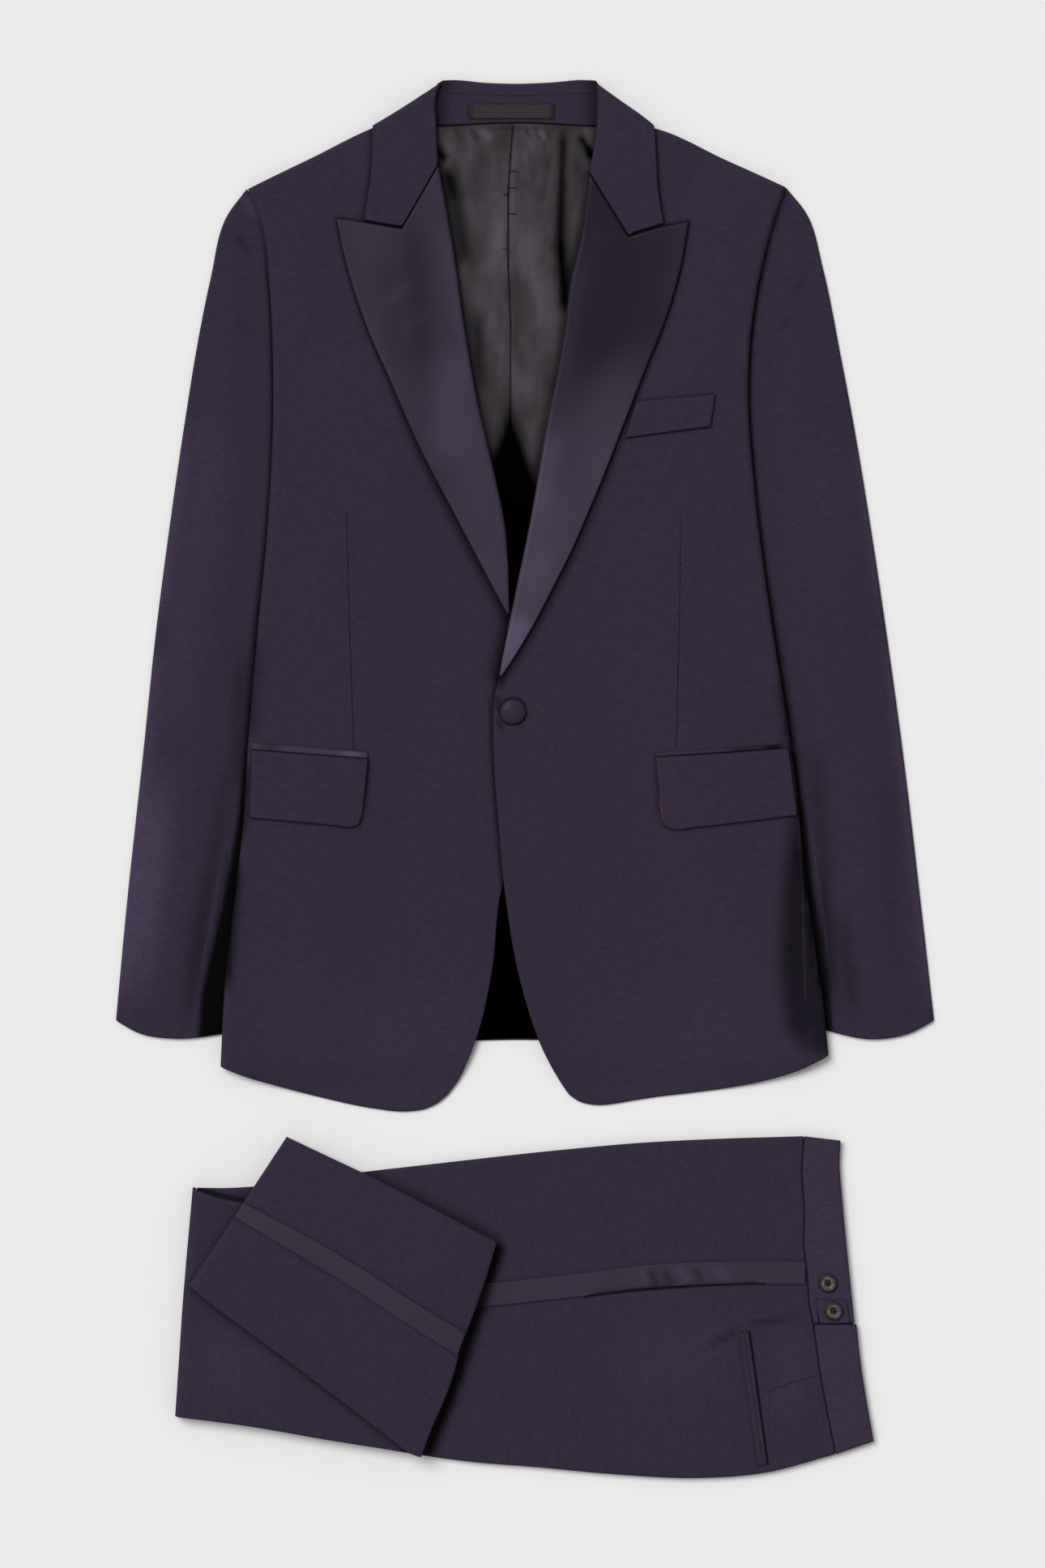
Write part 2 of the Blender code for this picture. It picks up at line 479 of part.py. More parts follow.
def sleeve_top(outline):
    """Top of a sleeve: pressed flat under the body and at its edges, lofty between them."""
    def height(x, y):
        body = np.minimum(outside(OUTLINE_FRONT_RIGHT, x, y), outside(OUTLINE_FRONT_LEFT, x, y))
        loft = smooth((body - 8) / 34) * smooth((-outside(outline, x, y) - 4) / 30)
        return SLEEVE_LOW + SLEEVE_LOFT * loft + folds(SLEEVE_FOLDS, x, y) * smooth(body / 6)
    return height


lining_top = raised(back_top, DRAPE + LINING)
stand_top = raised(under_body, STAND)
body_foot = raised(under_body, REST)
roll_foot = raised(lining_top, REST)
leaf_foot = raised(stand_top, LIE)
lap_foot = raised(front_left_top, -FRONT)


def on_front(front_top, up_to):
    """Keeps a rolled lapel above its front below `up_to`, where the two run together."""
    return lambda x, y: np.where(y < up_to, front_top(x, y) + LIE + 0.9 * SATIN, -1.0)


# ---------------------------------------------------------------- the trousers
LEG_START = 0.007        # the leg cloth starts this share in from the knee fold
SEAM_LINE = run(SIDE_SEAM)
FOLD_LINE = run(KNEE_FOLD)
LEG_FRONT = Patch(
    part_of(run(LEG_FRONT_EDGE), LEG_START, 1), part_of(SEAM_LINE, LEG_START, 1) + (0, SEAM),
    part_of(FOLD_LINE, 0, 0.5) + (3.6, 0), run(WAIST_SEAM_FRONT))
LEG_BACK = Patch(
    part_of(SEAM_LINE, LEG_START, 1), part_of(run(LEG_BACK_EDGE), LEG_START, 1),
    part_of(FOLD_LINE, 0.5, 1) + (3.6, 0), run(WAIST_SEAM_BACK))
WAIST_FRONT = Patch(
    line_between((222.4, -286.5), (251.5, -288.5)), line_between((230.6, -434.0), (262.0, -434.0)),
    joined(run(WAIST_SEAM_FRONT), part_of(run(WAIST_SEAM_BACK), 0, 0.28)) + (SEAM, 0),
    run(WAIST_EDGE_FRONT))
WAIST_BACK = Patch(
    line_between((230.6, -434.6), (264.0, -434.6)), line_between((247.4, -535.5), (278.3, -528.0)),
    part_of(run(WAIST_SEAM_BACK), 0.28, 1) + (SEAM, 0), run(WAIST_EDGE_BACK))
LEGS = Patch(
    run(LEG_FRONT_EDGE, edge(("waist", 222.0, -286.5), ("centre front", 251.5, -288.5))),
    run(LEG_BACK_EDGE, edge(("waist", 247.0, -535.5), ("centre back", 278.3, -528.0))),
    FOLD_LINE,
    joined(run(WAIST_EDGE_FRONT), line_between((262.0, -434.0), (264.0, -434.6)), run(WAIST_EDGE_BACK)))
TURN = Patch(
    run(TURN_FRONT_EDGE), run(TURN_BACK_EDGE), FOLD_LINE,
    line_between((-56.0, -378.0), (-122.0, -530.5)))
END_HEM_FRONT = line_between((-22.0, -368.0), (-56.0, -451.0))
END_HEM_BACK = line_between((-56.0, -451.0), (-82.0, -537.5))
END_FOLD = line_between((-189.5, -285.0), (-266.0, -401.5))
END_FRONT = Patch(
    run(END_FRONT_EDGE), run(END_SEAM) + (0, SEAM), part_of(END_FOLD, 0, 0.487), END_HEM_FRONT)
END_BACK = Patch(run(END_SEAM), run(END_BACK_EDGE), part_of(END_FOLD, 0.487, 1), END_HEM_BACK)
END = Patch(run(END_FRONT_EDGE), run(END_BACK_EDGE), END_FOLD, joined(END_HEM_FRONT, END_HEM_BACK))

# The hidden layers keep clear of the cloth that is folded round them.
LEGS_CORE = Patch(
    part_of(LEGS.top, 0.005, 1), part_of(LEGS.bottom, 0.005, 1), FOLD_LINE + (2.5, 0), LEGS.right - (1.5, 0))
TURN_CORE = Patch(
    part_of(TURN.top, 0.015, 1), part_of(TURN.bottom, 0.015, 1), FOLD_LINE + (3.3, 0), TURN.right)
END_CORE = Patch(
    part_of(END.top, 0.014, 1), part_of(END.bottom, 0.014, 1), beside(END_FOLD, 2.4), END.right)


def stripe(seam, half):
    """A strip of equal width on both sides of a seam."""
    return Patch(beside(seam, half), beside(seam, -half))


SIDE_STRIPE = stripe(part_of(SEAM_LINE, 0.41, 0.998), STRIPE_HALF)
END_STRIPE = stripe(part_of(run(END_SEAM), 0, 0.995), END_STRIPE_HALF)


def leg_top(x, y):
    return LEG_TOP + folds(LEG_FOLDS, x, y)


def under_end(x, y):
    """What the leg ends lie on: the legs, the legs turned over, or the bare surface."""
    legs = (LEG_TOP + TRIM + REST) * over(LEGS.outline(), x, y, 10, 70)
    return np.maximum(legs, TURN_TOP * over(TURN.outline(), x, y, 10, 75)) + REST


def end_core_top(x, y):
    """Top of the hidden layers of the leg ends, thinner where only the hems are left."""
    past_fold = outside(TURN.outline(), x, y)
    return under_end(x, y) + END_LAYERS - (END_LAYERS - HEM_LAYERS) * smooth((past_fold + 25) / 45)


def end_skirt(x, y):
    """Where the cloth of the leg ends stops, over the edges of the layers inside."""
    return under_end(x, y) + 0.74 * (end_core_top(x, y) - under_end(x, y))


end_top = raised(end_core_top, LIE + CLOTH)


# ---------------------------------------------------------------- meshes
FREE = Roll(0.0, None)
WIDE_ARC = (0.0, 30.0, 60.0)   # degrees round a rolled edge, from its rim to where it lies flat
SMALL_ARC = (0.0, 42.0)


def stations(sizes, near, far, shares):
    """Fractions across a piece, a row for each size, and how far each column drops."""
    fit = np.minimum(1.0, 0.8 * sizes / max(near.radius + far.radius, 1e-6))
    first = near.radius * fit / sizes
    last = 1 - far.radius * fit / sizes
    columns = [first + (last - first) * share for share in shares]
    drops = [0.0] * len(shares)
    for a in reversed(arc_of(near)):
        columns.insert(0, first * (1 - math.cos(a)))
        drops.insert(0, near.radius * (1 - math.sin(a)))
    for a in reversed(arc_of(far)):
        columns.append(1 - (1 - last) * (1 - math.cos(a)))
        drops.append(far.radius * (1 - math.sin(a)))
    return np.stack(columns, axis=1), np.array(drops)


def arc_of(roll):
    if not roll.radius:
        return []
    return [math.radians(a) for a in (WIDE_ARC if roll.radius > 4 else SMALL_ARC)]


def distance(a, b):
    return np.hypot(*np.moveaxis(b - a, -1, 0))


def even_shares(size, cell, mark=None):
    """Even steps of about one cell, with the nearest one moved to a mark."""
    shares = np.linspace(0, 1, max(2, round(size / cell) + 1))
    if mark is not None:
        shares[np.argmin(np.abs(shares - mark))] = mark
    return shares


def foot_height(roll, x, y):
    return roll.foot(x, y) if callable(roll.foot) else np.full(np.shape(x), float(roll.foot))


def cloth_points(patch, height, left=FREE, right=FREE, top=FREE, bottom=FREE,
                 cell=CELL, mark=None, floor=None):
    """Rows of points over a patch, with its rolled edges and the skirts below them."""
    half = np.array([0.5])
    width = distance(patch(0 * half, half), patch(0 * half + 1, half))
    length = distance(patch(half, 0 * half), patch(half, 0 * half + 1))
    across = even_shares(max(width[0], distance(patch.top[0], patch.top[-1])), cell[0], mark)
    down = even_shares(length[0], cell[1])
    rows, drop_v = stations(length, top, bottom, down)
    columns, drop_u = stations(width, left, right, across)
    widths = np.maximum(distance(along(patch.left, rows[0]), along(patch.right, rows[0])), 1.0)
    lengths = np.maximum(distance(along(patch.top, columns[0]), along(patch.bottom, columns[0])), 1.0)
    u = stations(widths, left, right, across)[0]
    v = stations(lengths, top, bottom, down)[0].T
    plan = patch(u, v)
    x, y = plan[..., 0], plan[..., 1]
    deepest = max(left.radius, right.radius, top.radius, bottom.radius)
    z = height(x, y) - np.minimum(np.hypot(drop_u[None, :], drop_v[:, None]), deepest)
    points = with_skirts(np.stack([x, y, z], axis=-1), left, right, top, bottom)
    if floor:
        points[..., 2] = np.maximum(points[..., 2], floor(points[..., 0], points[..., 1]))
    return points


def with_skirts(points, left, right, top, bottom):
    """Rolled edges that reach down further get one more row, straight below the rim."""
    turned = ((left, 1, False), (right, 1, True), (top, 0, False), (bottom, 0, True))
    for roll, axis, at_end in turned:
        if roll.foot is None:
            continue
        rim = np.take(points, [-1 if at_end else 0], axis=axis).copy()
        rim[..., 2] = np.minimum(rim[..., 2], foot_height(roll, rim[..., 0], rim[..., 1]))
        points = np.concatenate([points, rim] if at_end else [rim, points], axis=axis)
    for a, has_a in ((0, top.foot is not None), (-1, bottom.foot is not None)):
        for b, has_b in ((0, left.foot is not None), (-1, right.foot is not None)):
            if has_a and has_b:
                a1, b1 = (1 if a == 0 else -2), (1 if b == 0 else -2)
                lowest = min(points[a, b, 2], points[a, b1, 2], points[a1, b, 2])
                points[a, b, 2] = points[a, b1, 2] = points[a1, b, 2] = lowest
    return points


def material(name, colour, roughness):
    mat = bpy.data.materials.new(name)
    mat.use_nodes = True
    shader = mat.node_tree.nodes["Principled BSDF"]
    shader.inputs["Base Color"].default_value = (*colour, 1.0)
    shader.inputs["Roughness"].default_value = roughness
    shader.inputs["Metallic"].default_value = 0.0
    mat.diffuse_color = (*colour, 1.0)
    return mat


def add_object(name, mesh, mat, parent):
    obj = bpy.data.objects.new(name, mesh)
    bpy.context.collection.objects.link(obj)
    obj.parent = parent
    mesh.materials.append(mat)
    return obj


def grid_mesh(name, points):
    """A sheet of four-sided faces through rows of points, facing up."""
    rows, columns = points.shape[:2]
    bm = bmesh.new()
    verts = [[bm.verts.new(p * MM) for p in row] for row in points]
    for i in range(rows - 1):
        for j in range(columns - 1):
            bm.faces.new((verts[i][j], verts[i + 1][j], verts[i + 1][j + 1], verts[i][j + 1]))
    bmesh.ops.remove_doubles(bm, verts=bm.verts, dist=0.00002)
    bmesh.ops.dissolve_degenerate(bm, edges=bm.edges, dist=0.00001)
    mesh = bpy.data.meshes.new(name)
    bm.to_mesh(mesh)
    bm.free()
    return mesh


def cloth(name, mat, parent, thickness, points):
    """A wall of cloth: its upper face through the points, its thickness below them."""
    mesh = grid_mesh(name, points)
    mesh.shade_smooth()
    obj = add_object(name, mesh, mat, parent)
    wall = obj.modifiers.new("wall", "SOLIDIFY")
    wall.thickness = thickness * MM
    wall.offset = -1.0
    wall.use_even_offset = True
    wall.use_quality_normals = True
    return obj


def ring_of(rows, columns):
    """Grid places in order round the border, down the left side first."""
    left = [(i, 0) for i in range(rows - 1)]
    foot = [(rows - 1, j) for j in range(columns - 1)]
    right = [(i, columns - 1) for i in range(rows - 1, 0, -1)]
    head = [(0, j) for j in range(columns - 1, 0, -1)]
    return left + foot + right + head


def layers(name, mat, parent, patch, under, upper, rims, cell):
    """Hidden layers of cloth as one rounded solid, whose border follows a table of rings."""
    flat = cloth_points(patch, lambda x, y: 0 * x, cell=cell)
    rows, columns = flat.shape[:2]
    ring = ring_of(rows, columns)
    border = np.array([flat[place][:2] for place in ring])
    way = np.roll(border, -1, axis=0) - border
    after = np.stack([-way[:, 1], way[:, 0]], axis=1) / np.hypot(*way.T)[:, None]
    before = np.roll(after, 1, axis=0)
    inward = (after + before) / (1 + (after * before).sum(axis=1))[:, None]
    bm = bmesh.new()

    def sheet(rim, height):
        grid = flat.copy()
        for place, spot, normal in zip(ring, border, inward):
            grid[place][:2] = spot + rim.inset * normal
        grid[..., 2] = height(grid[..., 0], grid[..., 1])
        return [[bm.verts.new(p * MM) for p in row] for row in grid]

    head = sheet(rims[0], upper)
    foot = sheet(rims[-1], under)
    loops = [[head[i][j] for i, j in ring]]
    for rim in rims[1:-1]:
        plan = border + rim.inset * inward
        low, high = under(plan[:, 0], plan[:, 1]), upper(plan[:, 0], plan[:, 1])
        heights = low + rim.share * (high - low)
        loops.append([bm.verts.new((x * MM, y * MM, z * MM)) for (x, y), z in zip(plan, heights)])
    loops.append([foot[i][j] for i, j in ring])
    for i in range(rows - 1):
        for j in range(columns - 1):
            bm.faces.new((head[i][j], head[i + 1][j], head[i + 1][j + 1], head[i][j + 1]))
            bm.faces.new((foot[i][j], foot[i][j + 1], foot[i + 1][j + 1], foot[i + 1][j]))
    for a, b in zip(loops, loops[1:]):
        for k in range(len(ring)):
            n = (k + 1) % len(ring)
            bm.faces.new((a[k], b[k], b[n], a[n]))
    mesh = bpy.data.meshes.new(name)
    bm.to_mesh(mesh)
    bm.free()
    return add_object(name, mesh, mat, parent)


def button(name, mat, parent, spot, seat, profile, sides=18):
    """A turned button: rows of radius and height, from the middle of its face to its back."""
    bm = bmesh.new()
    face = bm.verts.new((spot.x * MM, spot.y * MM, (seat + profile[0][1]) * MM))
    loops = []
    for radius, height in profile[1:-1]:
        loops.append([bm.verts.new(((spot.x + radius * math.cos(2 * math.pi * k / sides)) * MM,
                                    (spot.y + radius * math.sin(2 * math.pi * k / sides)) * MM,
                                    (seat + height) * MM)) for k in range(sides)])
    back = bm.verts.new((spot.x * MM, spot.y * MM, (seat + profile[-1][1]) * MM))
    for k in range(sides):
        n = (k + 1) % sides
        bm.faces.new((face, loops[0][k], loops[0][n]))
        for a, b in zip(loops, loops[1:]):
            bm.faces.new((a[k], b[k], b[n], a[n]))
        bm.faces.new((back, loops[-1][n], loops[-1][k]))
    mesh = bpy.data.meshes.new(name)
    bm.to_mesh(mesh)
    bm.free()
    mesh.shade_smooth()
    return add_object(name, mesh, mat, parent)


# ---------------------------------------------------------------- the pieces
LEG_RIMS = (Rim(4.0, 1.0), Rim(3.6, 0.68), Rim(0.9, 0.6), Rim(0.5, 0.34), Rim(0.9, 0.06), Rim(1.6, 0.0))
TURN_RIMS = (Rim(3.4, 1.0), Rim(2.6, 0.66), Rim(0.9, 0.58), Rim(0.5, 0.32), Rim(0.9, 0.06), Rim(1.6, 0.0))
END_RIMS = (Rim(3.6, 1.0), Rim(3.0, 0.7), Rim(1.1, 0.62), Rim(2.0, 0.5), Rim(0.9, 0.4), Rim(1.6, 0.0))
FRONT_BUTTON_PROFILE = (
    (0.0, 4.2), (5.0, 4.0), (8.4, 3.1), (10.0, 1.7), (9.2, 0.5), (4.0, 0.0), (0.0, 0.0))
TAB_BUTTON_PROFILE = (
    (0.0, 1.7), (4.2, 1.8), (5.6, 2.8), (7.2, 2.3), (7.5, 1.2), (6.4, 0.0), (0.0, 0.0))


def jacket_body(wool, lining, parent):
    cell = (24.0, 36.0)
    neck_right = share_at(BACK_RIGHT.top, len(BACK_SHOULDER_RIGHT))
    neck_left = share_at(BACK_LEFT.top, len(NECK_LEFT) - 1)
    cloth("back_right", wool, parent, CLOTH,
          cloth_points(BACK_RIGHT, back_top, cell=cell, mark=neck_right))
    cloth("back_left", wool, parent, CLOTH,
          cloth_points(BACK_LEFT, back_top, cell=cell, mark=neck_left))
    cloth("back_lining", lining, parent, LINING, cloth_points(LINING_PATCH, lining_top, cell=cell))
    fold = Roll(5.0, body_foot)
    cloth("front_right", wool, parent, FRONT,
          cloth_points(FRONT_RIGHT, front_right_top, left=fold, top=fold))
    cloth("front_left", wool, parent, FRONT,
          cloth_points(FRONT_LEFT, front_left_top, right=fold, top=fold))


def collar_and_lapels(wool, satin, parent):
    lapel = LIE + SATIN
    leaf = LIE + COLLAR
    shoulder = Roll(4.5, REST)
    neck = Roll(3.4, leaf_foot)
    lapel_cell = (17.0, 18.0)
    leaf_cell = (14.0, 14.0)
    cloth("lapel_right", satin, parent, SATIN,
          cloth_points(LAPEL_RIGHT, raised(front_right_top, lapel), right=Roll(3.4, roll_foot),
                       cell=lapel_cell, mark=share_at(LAPEL_RIGHT.top, len(run(PEAK_RIGHT)) - 1),
                       floor=on_front(front_right_top, 176.0)))
    cloth("lapel_left", satin, parent, SATIN,
          cloth_points(LAPEL_LEFT, raised(front_left_top, lapel), left=Roll(3.4, lap_foot),
                       cell=lapel_cell, mark=share_at(LAPEL_LEFT.top, len(run(GORGE_LEFT)) - 1),
                       floor=on_front(front_left_top, 114.0)))
    cloth("collar_leaf_right", wool, parent, COLLAR,
          cloth_points(LEAF_RIGHT, raised(front_right_top, leaf), right=neck, top=shoulder,
                       cell=leaf_cell, mark=0.33))
    cloth("collar_leaf_left", wool, parent, COLLAR,
          cloth_points(LEAF_LEFT, raised(front_left_top, leaf), left=neck, top=shoulder,
                       cell=leaf_cell, mark=0.66))
    cloth("collar_stand", wool, parent, STAND,
          cloth_points(STAND_PATCH, stand_top, top=Roll(3.4, REST), cell=(17.0, 18.0)))
    cloth("collar_fall", wool, parent, COLLAR,
          cloth_points(COLLAR_FALL, level(COLLAR), cell=(14.0, 30.0)))


def sleeves(wool, parent):
    fold = Roll(3.0, None)
    pairs = (("right", SLEEVE_RIGHT, UNDER_SLEEVE_RIGHT), ("left", SLEEVE_LEFT, UNDER_SLEEVE_LEFT))
    for side, patch, under in pairs:
        cloth("top_sleeve_" + side, wool, parent, CLOTH,
              cloth_points(patch, sleeve_top(patch.outline()), left=fold, right=fold, cell=(26.0, 31.0)))
        cloth("under_sleeve_" + side, wool, parent, UNDER_SLEEVE,
              cloth_points(under, level(UNDER_SLEEVE), cell=(60.0, 31.0)))


def pockets(wool, satin, parent):
    small = (14.0, 14.0)
    right = Patch(run(FLAP_TOP_RIGHT), run(FLAP_FOOT_RIGHT), right=run(FLAP_FRONT_RIGHT))
    left = Patch(run(FLAP_TOP_LEFT), run(FLAP_FOOT_LEFT), left=run(FLAP_FRONT_LEFT))
    cloth("flap_right", wool, parent, FLAP,
          cloth_points(right, raised(front_right_top, LIE + FLAP), cell=small))
    cloth("flap_left", wool, parent, FLAP,
          cloth_points(left, raised(front_left_top, LIE + FLAP), cell=small))
    cloth("jet_right", satin, parent, TRIM,
          cloth_points(four_sided(JET_RIGHT), raised(front_right_top, LIE + TRIM), cell=small))
    cloth("jet_left", satin, parent, TRIM,
          cloth_points(four_sided(JET_LEFT), raised(front_left_top, LIE + TRIM), cell=small))
    cloth("breast_welt", wool, parent, FLAP,
          cloth_points(four_sided(WELT), raised(front_left_top, LIE + FLAP), cell=small))


def trouser_cloth(wool, satin, parent):
    crease = Roll(2.4, 3.9)
    waist = Roll(2.6, 3.9)
    cell = (32.0, 27.0)
    cloth("trouser_front", wool, parent, CLOTH, cloth_points(LEG_FRONT, leg_top, top=crease, cell=cell))
    cloth("trouser_back", wool, parent, CLOTH, cloth_points(LEG_BACK, leg_top, bottom=crease, cell=cell))
    cloth("waistband_front", wool, parent, CLOTH + 0.6,
          cloth_points(WAIST_FRONT, raised(leg_top, 0.6), top=waist, right=waist, cell=cell))
    cloth("waistband_back", wool, parent, CLOTH + 0.6,
          cloth_points(WAIST_BACK, raised(leg_top, 0.6), bottom=waist, right=waist, cell=cell))
    cloth("side_stripe", satin, parent, TRIM,
          cloth_points(SIDE_STRIPE, raised(leg_top, REST + TRIM), cell=cell))
    cloth("back_pocket_jet", wool, parent, TRIM,
          cloth_points(four_sided(BACK_JET), raised(leg_top, REST + TRIM), cell=cell))
    cloth("adjuster_tab", wool, parent, TRIM,
          cloth_points(four_sided(TAB), raised(leg_top, 0.6 + REST + TRIM), cell=cell))


def turned_legs(wool, satin, parent):
    layers("leg_layers", wool, parent, LEGS_CORE, level(0.0), level(LEG_LAYERS), LEG_RIMS, (60.0, 30.0))
    rest = LEG_TOP + REST
    layers("turned_leg_layers", wool, parent, TURN_CORE, level(rest), level(rest + TURN_LAYERS),
           TURN_RIMS, (48.0, 48.0))
    layers("leg_end_layers", wool, parent, END_CORE, under_end, end_core_top, END_RIMS, (15.0, 15.0))
    crease = Roll(2.4, TURN_TOP - 3.8)
    cloth("turned_leg", wool, parent, CLOTH,
          cloth_points(TURN, level(TURN_TOP), left=Roll(7.0, 0.5), top=crease, bottom=crease,
                       cell=(30.0, 30.0)))
    cell = (15.0, 15.0)
    end_crease = Roll(2.4, end_skirt)
    end_fold = Roll(4.5, raised(under_end, 1.0))
    cloth("leg_end_front", wool, parent, CLOTH,
          cloth_points(END_FRONT, end_top, left=end_fold, top=end_crease, cell=cell))
    cloth("leg_end_back", wool, parent, CLOTH,
          cloth_points(END_BACK, end_top, left=end_fold, bottom=end_crease, cell=cell))
    cloth("leg_end_stripe", satin, parent, TRIM,
          cloth_points(END_STRIPE, raised(end_top, REST + TRIM), cell=cell))


def lowest_corner_and_size():
    """Plan box of every piece as it evaluates, in metres."""
    graph = bpy.context.evaluated_depsgraph_get()
    spots = []
    for obj in bpy.context.scene.objects:
        if obj.type == "MESH":
            spots += [v.co for v in obj.evaluated_get(graph).data.vertices]
    spots = np.array(spots)
    return spots.min(axis=0), spots.max(axis=0)


def main():
    for obj in list(bpy.data.objects):
        bpy.data.objects.remove(obj, do_unlink=True)
    wool = material("midnight wool", (0.038, 0.028, 0.048), 0.85)
    satin = material("midnight satin", (0.045, 0.037, 0.055), 0.35)
    lining = material("smoke lining", (0.040, 0.036, 0.042), 0.30)
    black = material("black woven label", (0.036, 0.034, 0.034), 0.5)
    horn = material("dark horn", (0.02, 0.018, 0.016), 0.25)

    suit = bpy.data.objects.new("tuxedo", None)
    jacket = bpy.data.objects.new("jacket", None)
    trousers = bpy.data.objects.new("trousers", None)
    for empty in (suit, jacket, trousers):
        bpy.context.collection.objects.link(empty)
    jacket.parent = trousers.parent = suit

    jacket_body(wool, lining, jacket)
    collar_and_lapels(wool, satin, jacket)
    sleeves(wool, jacket)
    pockets(wool, satin, jacket)
    cloth("neck_label", black, jacket, 0.5,
          cloth_points(four_sided(LABEL), raised(stand_top, REST + 0.5), cell=(20.0, 20.0)))
    seat = front_left_top(np.array([FRONT_BUTTON.x]), np.array([FRONT_BUTTON.y]))[0] + REST
    button("front_button", wool, jacket, FRONT_BUTTON, seat, FRONT_BUTTON_PROFILE)
    trouser_cloth(wool, satin, trousers)
    turned_legs(wool, satin, trousers)
    waist_top = LEG_TOP + 0.6
    button("waistband_button", horn, trousers, WAIST_BUTTON, waist_top + REST, TAB_BUTTON_PROFILE)
    button("tab_button", horn, trousers, TAB_BUTTON, waist_top + 2 * REST + TRIM, TAB_BUTTON_PROFILE)

    low, high = lowest_corner_and_size()
    suit.location = (-(low[0] + high[0]) / 2, -(low[1] + high[1]) / 2, -low[2])


main()
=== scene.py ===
"""A tuxedo laid flat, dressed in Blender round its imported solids.

The pattern tables give every edge of the jacket and trousers in millimetres, X across the laid
set, Y towards the collar and Z up from the surface. Right and left are the wearer's, so the
right side of the jacket lies at -X. Each piece is a wall of cloth spread over a patch between
four edges, laid over what is under it, with its folded edges rolled down and its cut edges
turned round. Wool, satin, lining, label and horn are node materials with their own weave.
"""

import math
from collections import namedtuple

import bmesh
import bpy
import numpy as np
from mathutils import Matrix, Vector, geometry


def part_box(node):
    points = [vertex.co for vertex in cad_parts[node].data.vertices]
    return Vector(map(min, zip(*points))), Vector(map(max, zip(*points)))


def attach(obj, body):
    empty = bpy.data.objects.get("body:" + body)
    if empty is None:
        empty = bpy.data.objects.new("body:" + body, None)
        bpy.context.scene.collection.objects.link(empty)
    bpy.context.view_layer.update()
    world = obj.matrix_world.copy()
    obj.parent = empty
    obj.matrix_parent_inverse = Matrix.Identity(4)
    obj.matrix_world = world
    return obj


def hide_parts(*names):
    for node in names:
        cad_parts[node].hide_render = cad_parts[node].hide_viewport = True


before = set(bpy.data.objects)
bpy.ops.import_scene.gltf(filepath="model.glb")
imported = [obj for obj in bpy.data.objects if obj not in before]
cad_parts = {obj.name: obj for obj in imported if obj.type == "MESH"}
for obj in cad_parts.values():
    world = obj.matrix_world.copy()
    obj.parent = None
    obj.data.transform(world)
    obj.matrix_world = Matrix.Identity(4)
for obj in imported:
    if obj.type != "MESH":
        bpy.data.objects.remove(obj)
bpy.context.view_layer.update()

bl_info = {
    "name": "Tuxedo laid flat",
    "version": (1, 0, 0),
    "blender": (4, 5, 0),
    "location": "3D View > Sidebar > Tuxedo",
    "description": "Cuts, sews and lays out a one-button tuxedo and its folded trousers",
    "category": "Add Mesh",
}

CAD_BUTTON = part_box("front_button")

MM = 0.001

# ---------------- cloth thicknesses and gaps
CLOTH = 1.6              # wool of the back, sleeves and trousers
FRONT = 2.6              # wool with its canvas and facing
SATIN = 2.2              # lapel facing, turned over
COLLAR = 2.2
STAND = 3.2              # collar stand, two layers of cloth and a stay
LINING = 1.0
FLAP = 1.5
TRIM = 0.9               # jets, stripes and tab
LABEL_CLOTH = 0.5
BAND_RISE = 0.6          # how much the waistband stands above the leg
REST = 0.4               # clearance between layers that lie on each other
LIE = 0.7                # clearance under what is laid on a curved panel
DRAPE = 1.0              # clearance under the lining
SEAM = 0.3               # between two pieces that are sewn edge to edge

# ---------------- heights of the lower layers
UNDER_SLEEVE = 1.5       # top of the under sleeve, flat on the surface
SLEEVE_LOW = 3.9         # top of the top sleeve where it is pressed flat
SLEEVE_LOFT = 3.0        # how much higher the sleeve stands in its middle
CHEST_LOFT = 1.6
TUCK = SLEEVE_LOW + LIE  # what the body lies on over a tucked sleeve
FALL = COLLAR + 0.8      # what the neck lies on over the collar fall
LEG_LAYERS = 5.6         # the three hidden layers of the two legs
LEG_TOP = 7.6            # the cloth that shows on them
TURN_LAYERS = 4.9
TURN_TOP = 15.1          # the legs turned over at the knee
END_LAYERS = 7.7         # hidden layers under the turned-back leg ends, at their fold
HEM_LAYERS = 4.6         # and at their hems

Spot = namedtuple("Spot", "x y")
Roll = namedtuple("Roll", "radius foot")      # a folded edge and where its skirt ends
Rim = namedtuple("Rim", "inset share")        # one ring of a layered edge


# ---------------- jacket edges: x, y
SIDE_RIGHT = [
    (-220.5, 469.3), (-208.5, 437), (-204, 398), (-201, 342), (-200.5, 297), (-205, 200), (-213, 116),
    (-221, 20), (-224, -32), (-232, -103), (-239.5, -172), (-242.5, -230)]
SIDE_LEFT = [
    (207.5, 470.8), (195.5, 434), (187.5, 401), (180.5, 358), (178, 310), (183, 232), (197, 122), (210, 40),
    (218.5, -30), (226.8, -103), (236.8, -172), (242, -221)]
SHOULDER_RIGHT = [(-220.5, 469.3), (-177.5, 490.8), (-124, 517), (-108, 523.5), (-77.8, 538.9)]
SHOULDER_LEFT = [(63, 539.4), (93, 521), (112, 515.3), (163, 491.5), (207.5, 470.8)]
ROLL_RIGHT = [(-68.5, 487.5), (-57.5, 426), (-46.5, 350), (-26, 251), (-15.5, 199.5), (-10.8, 147)]
LAPEL_ROLL_RIGHT = [
    (-68.5, 487.5), (-57.5, 426), (-46.5, 350), (-37.5, 300), (-26, 251), (-15.5, 199.5), (-12.2, 131.5)]
ROLL_LEFT = [(51, 481), (44, 431), (36, 395), (31.5, 358.5), (17.5, 282), (5, 209), (-10, 136), (-20.5, 82)]
LEAF_INNER_RIGHT = [(-66.5, 555), (-70.3, 544), (-70.2, 519), (-68.8, 488)]
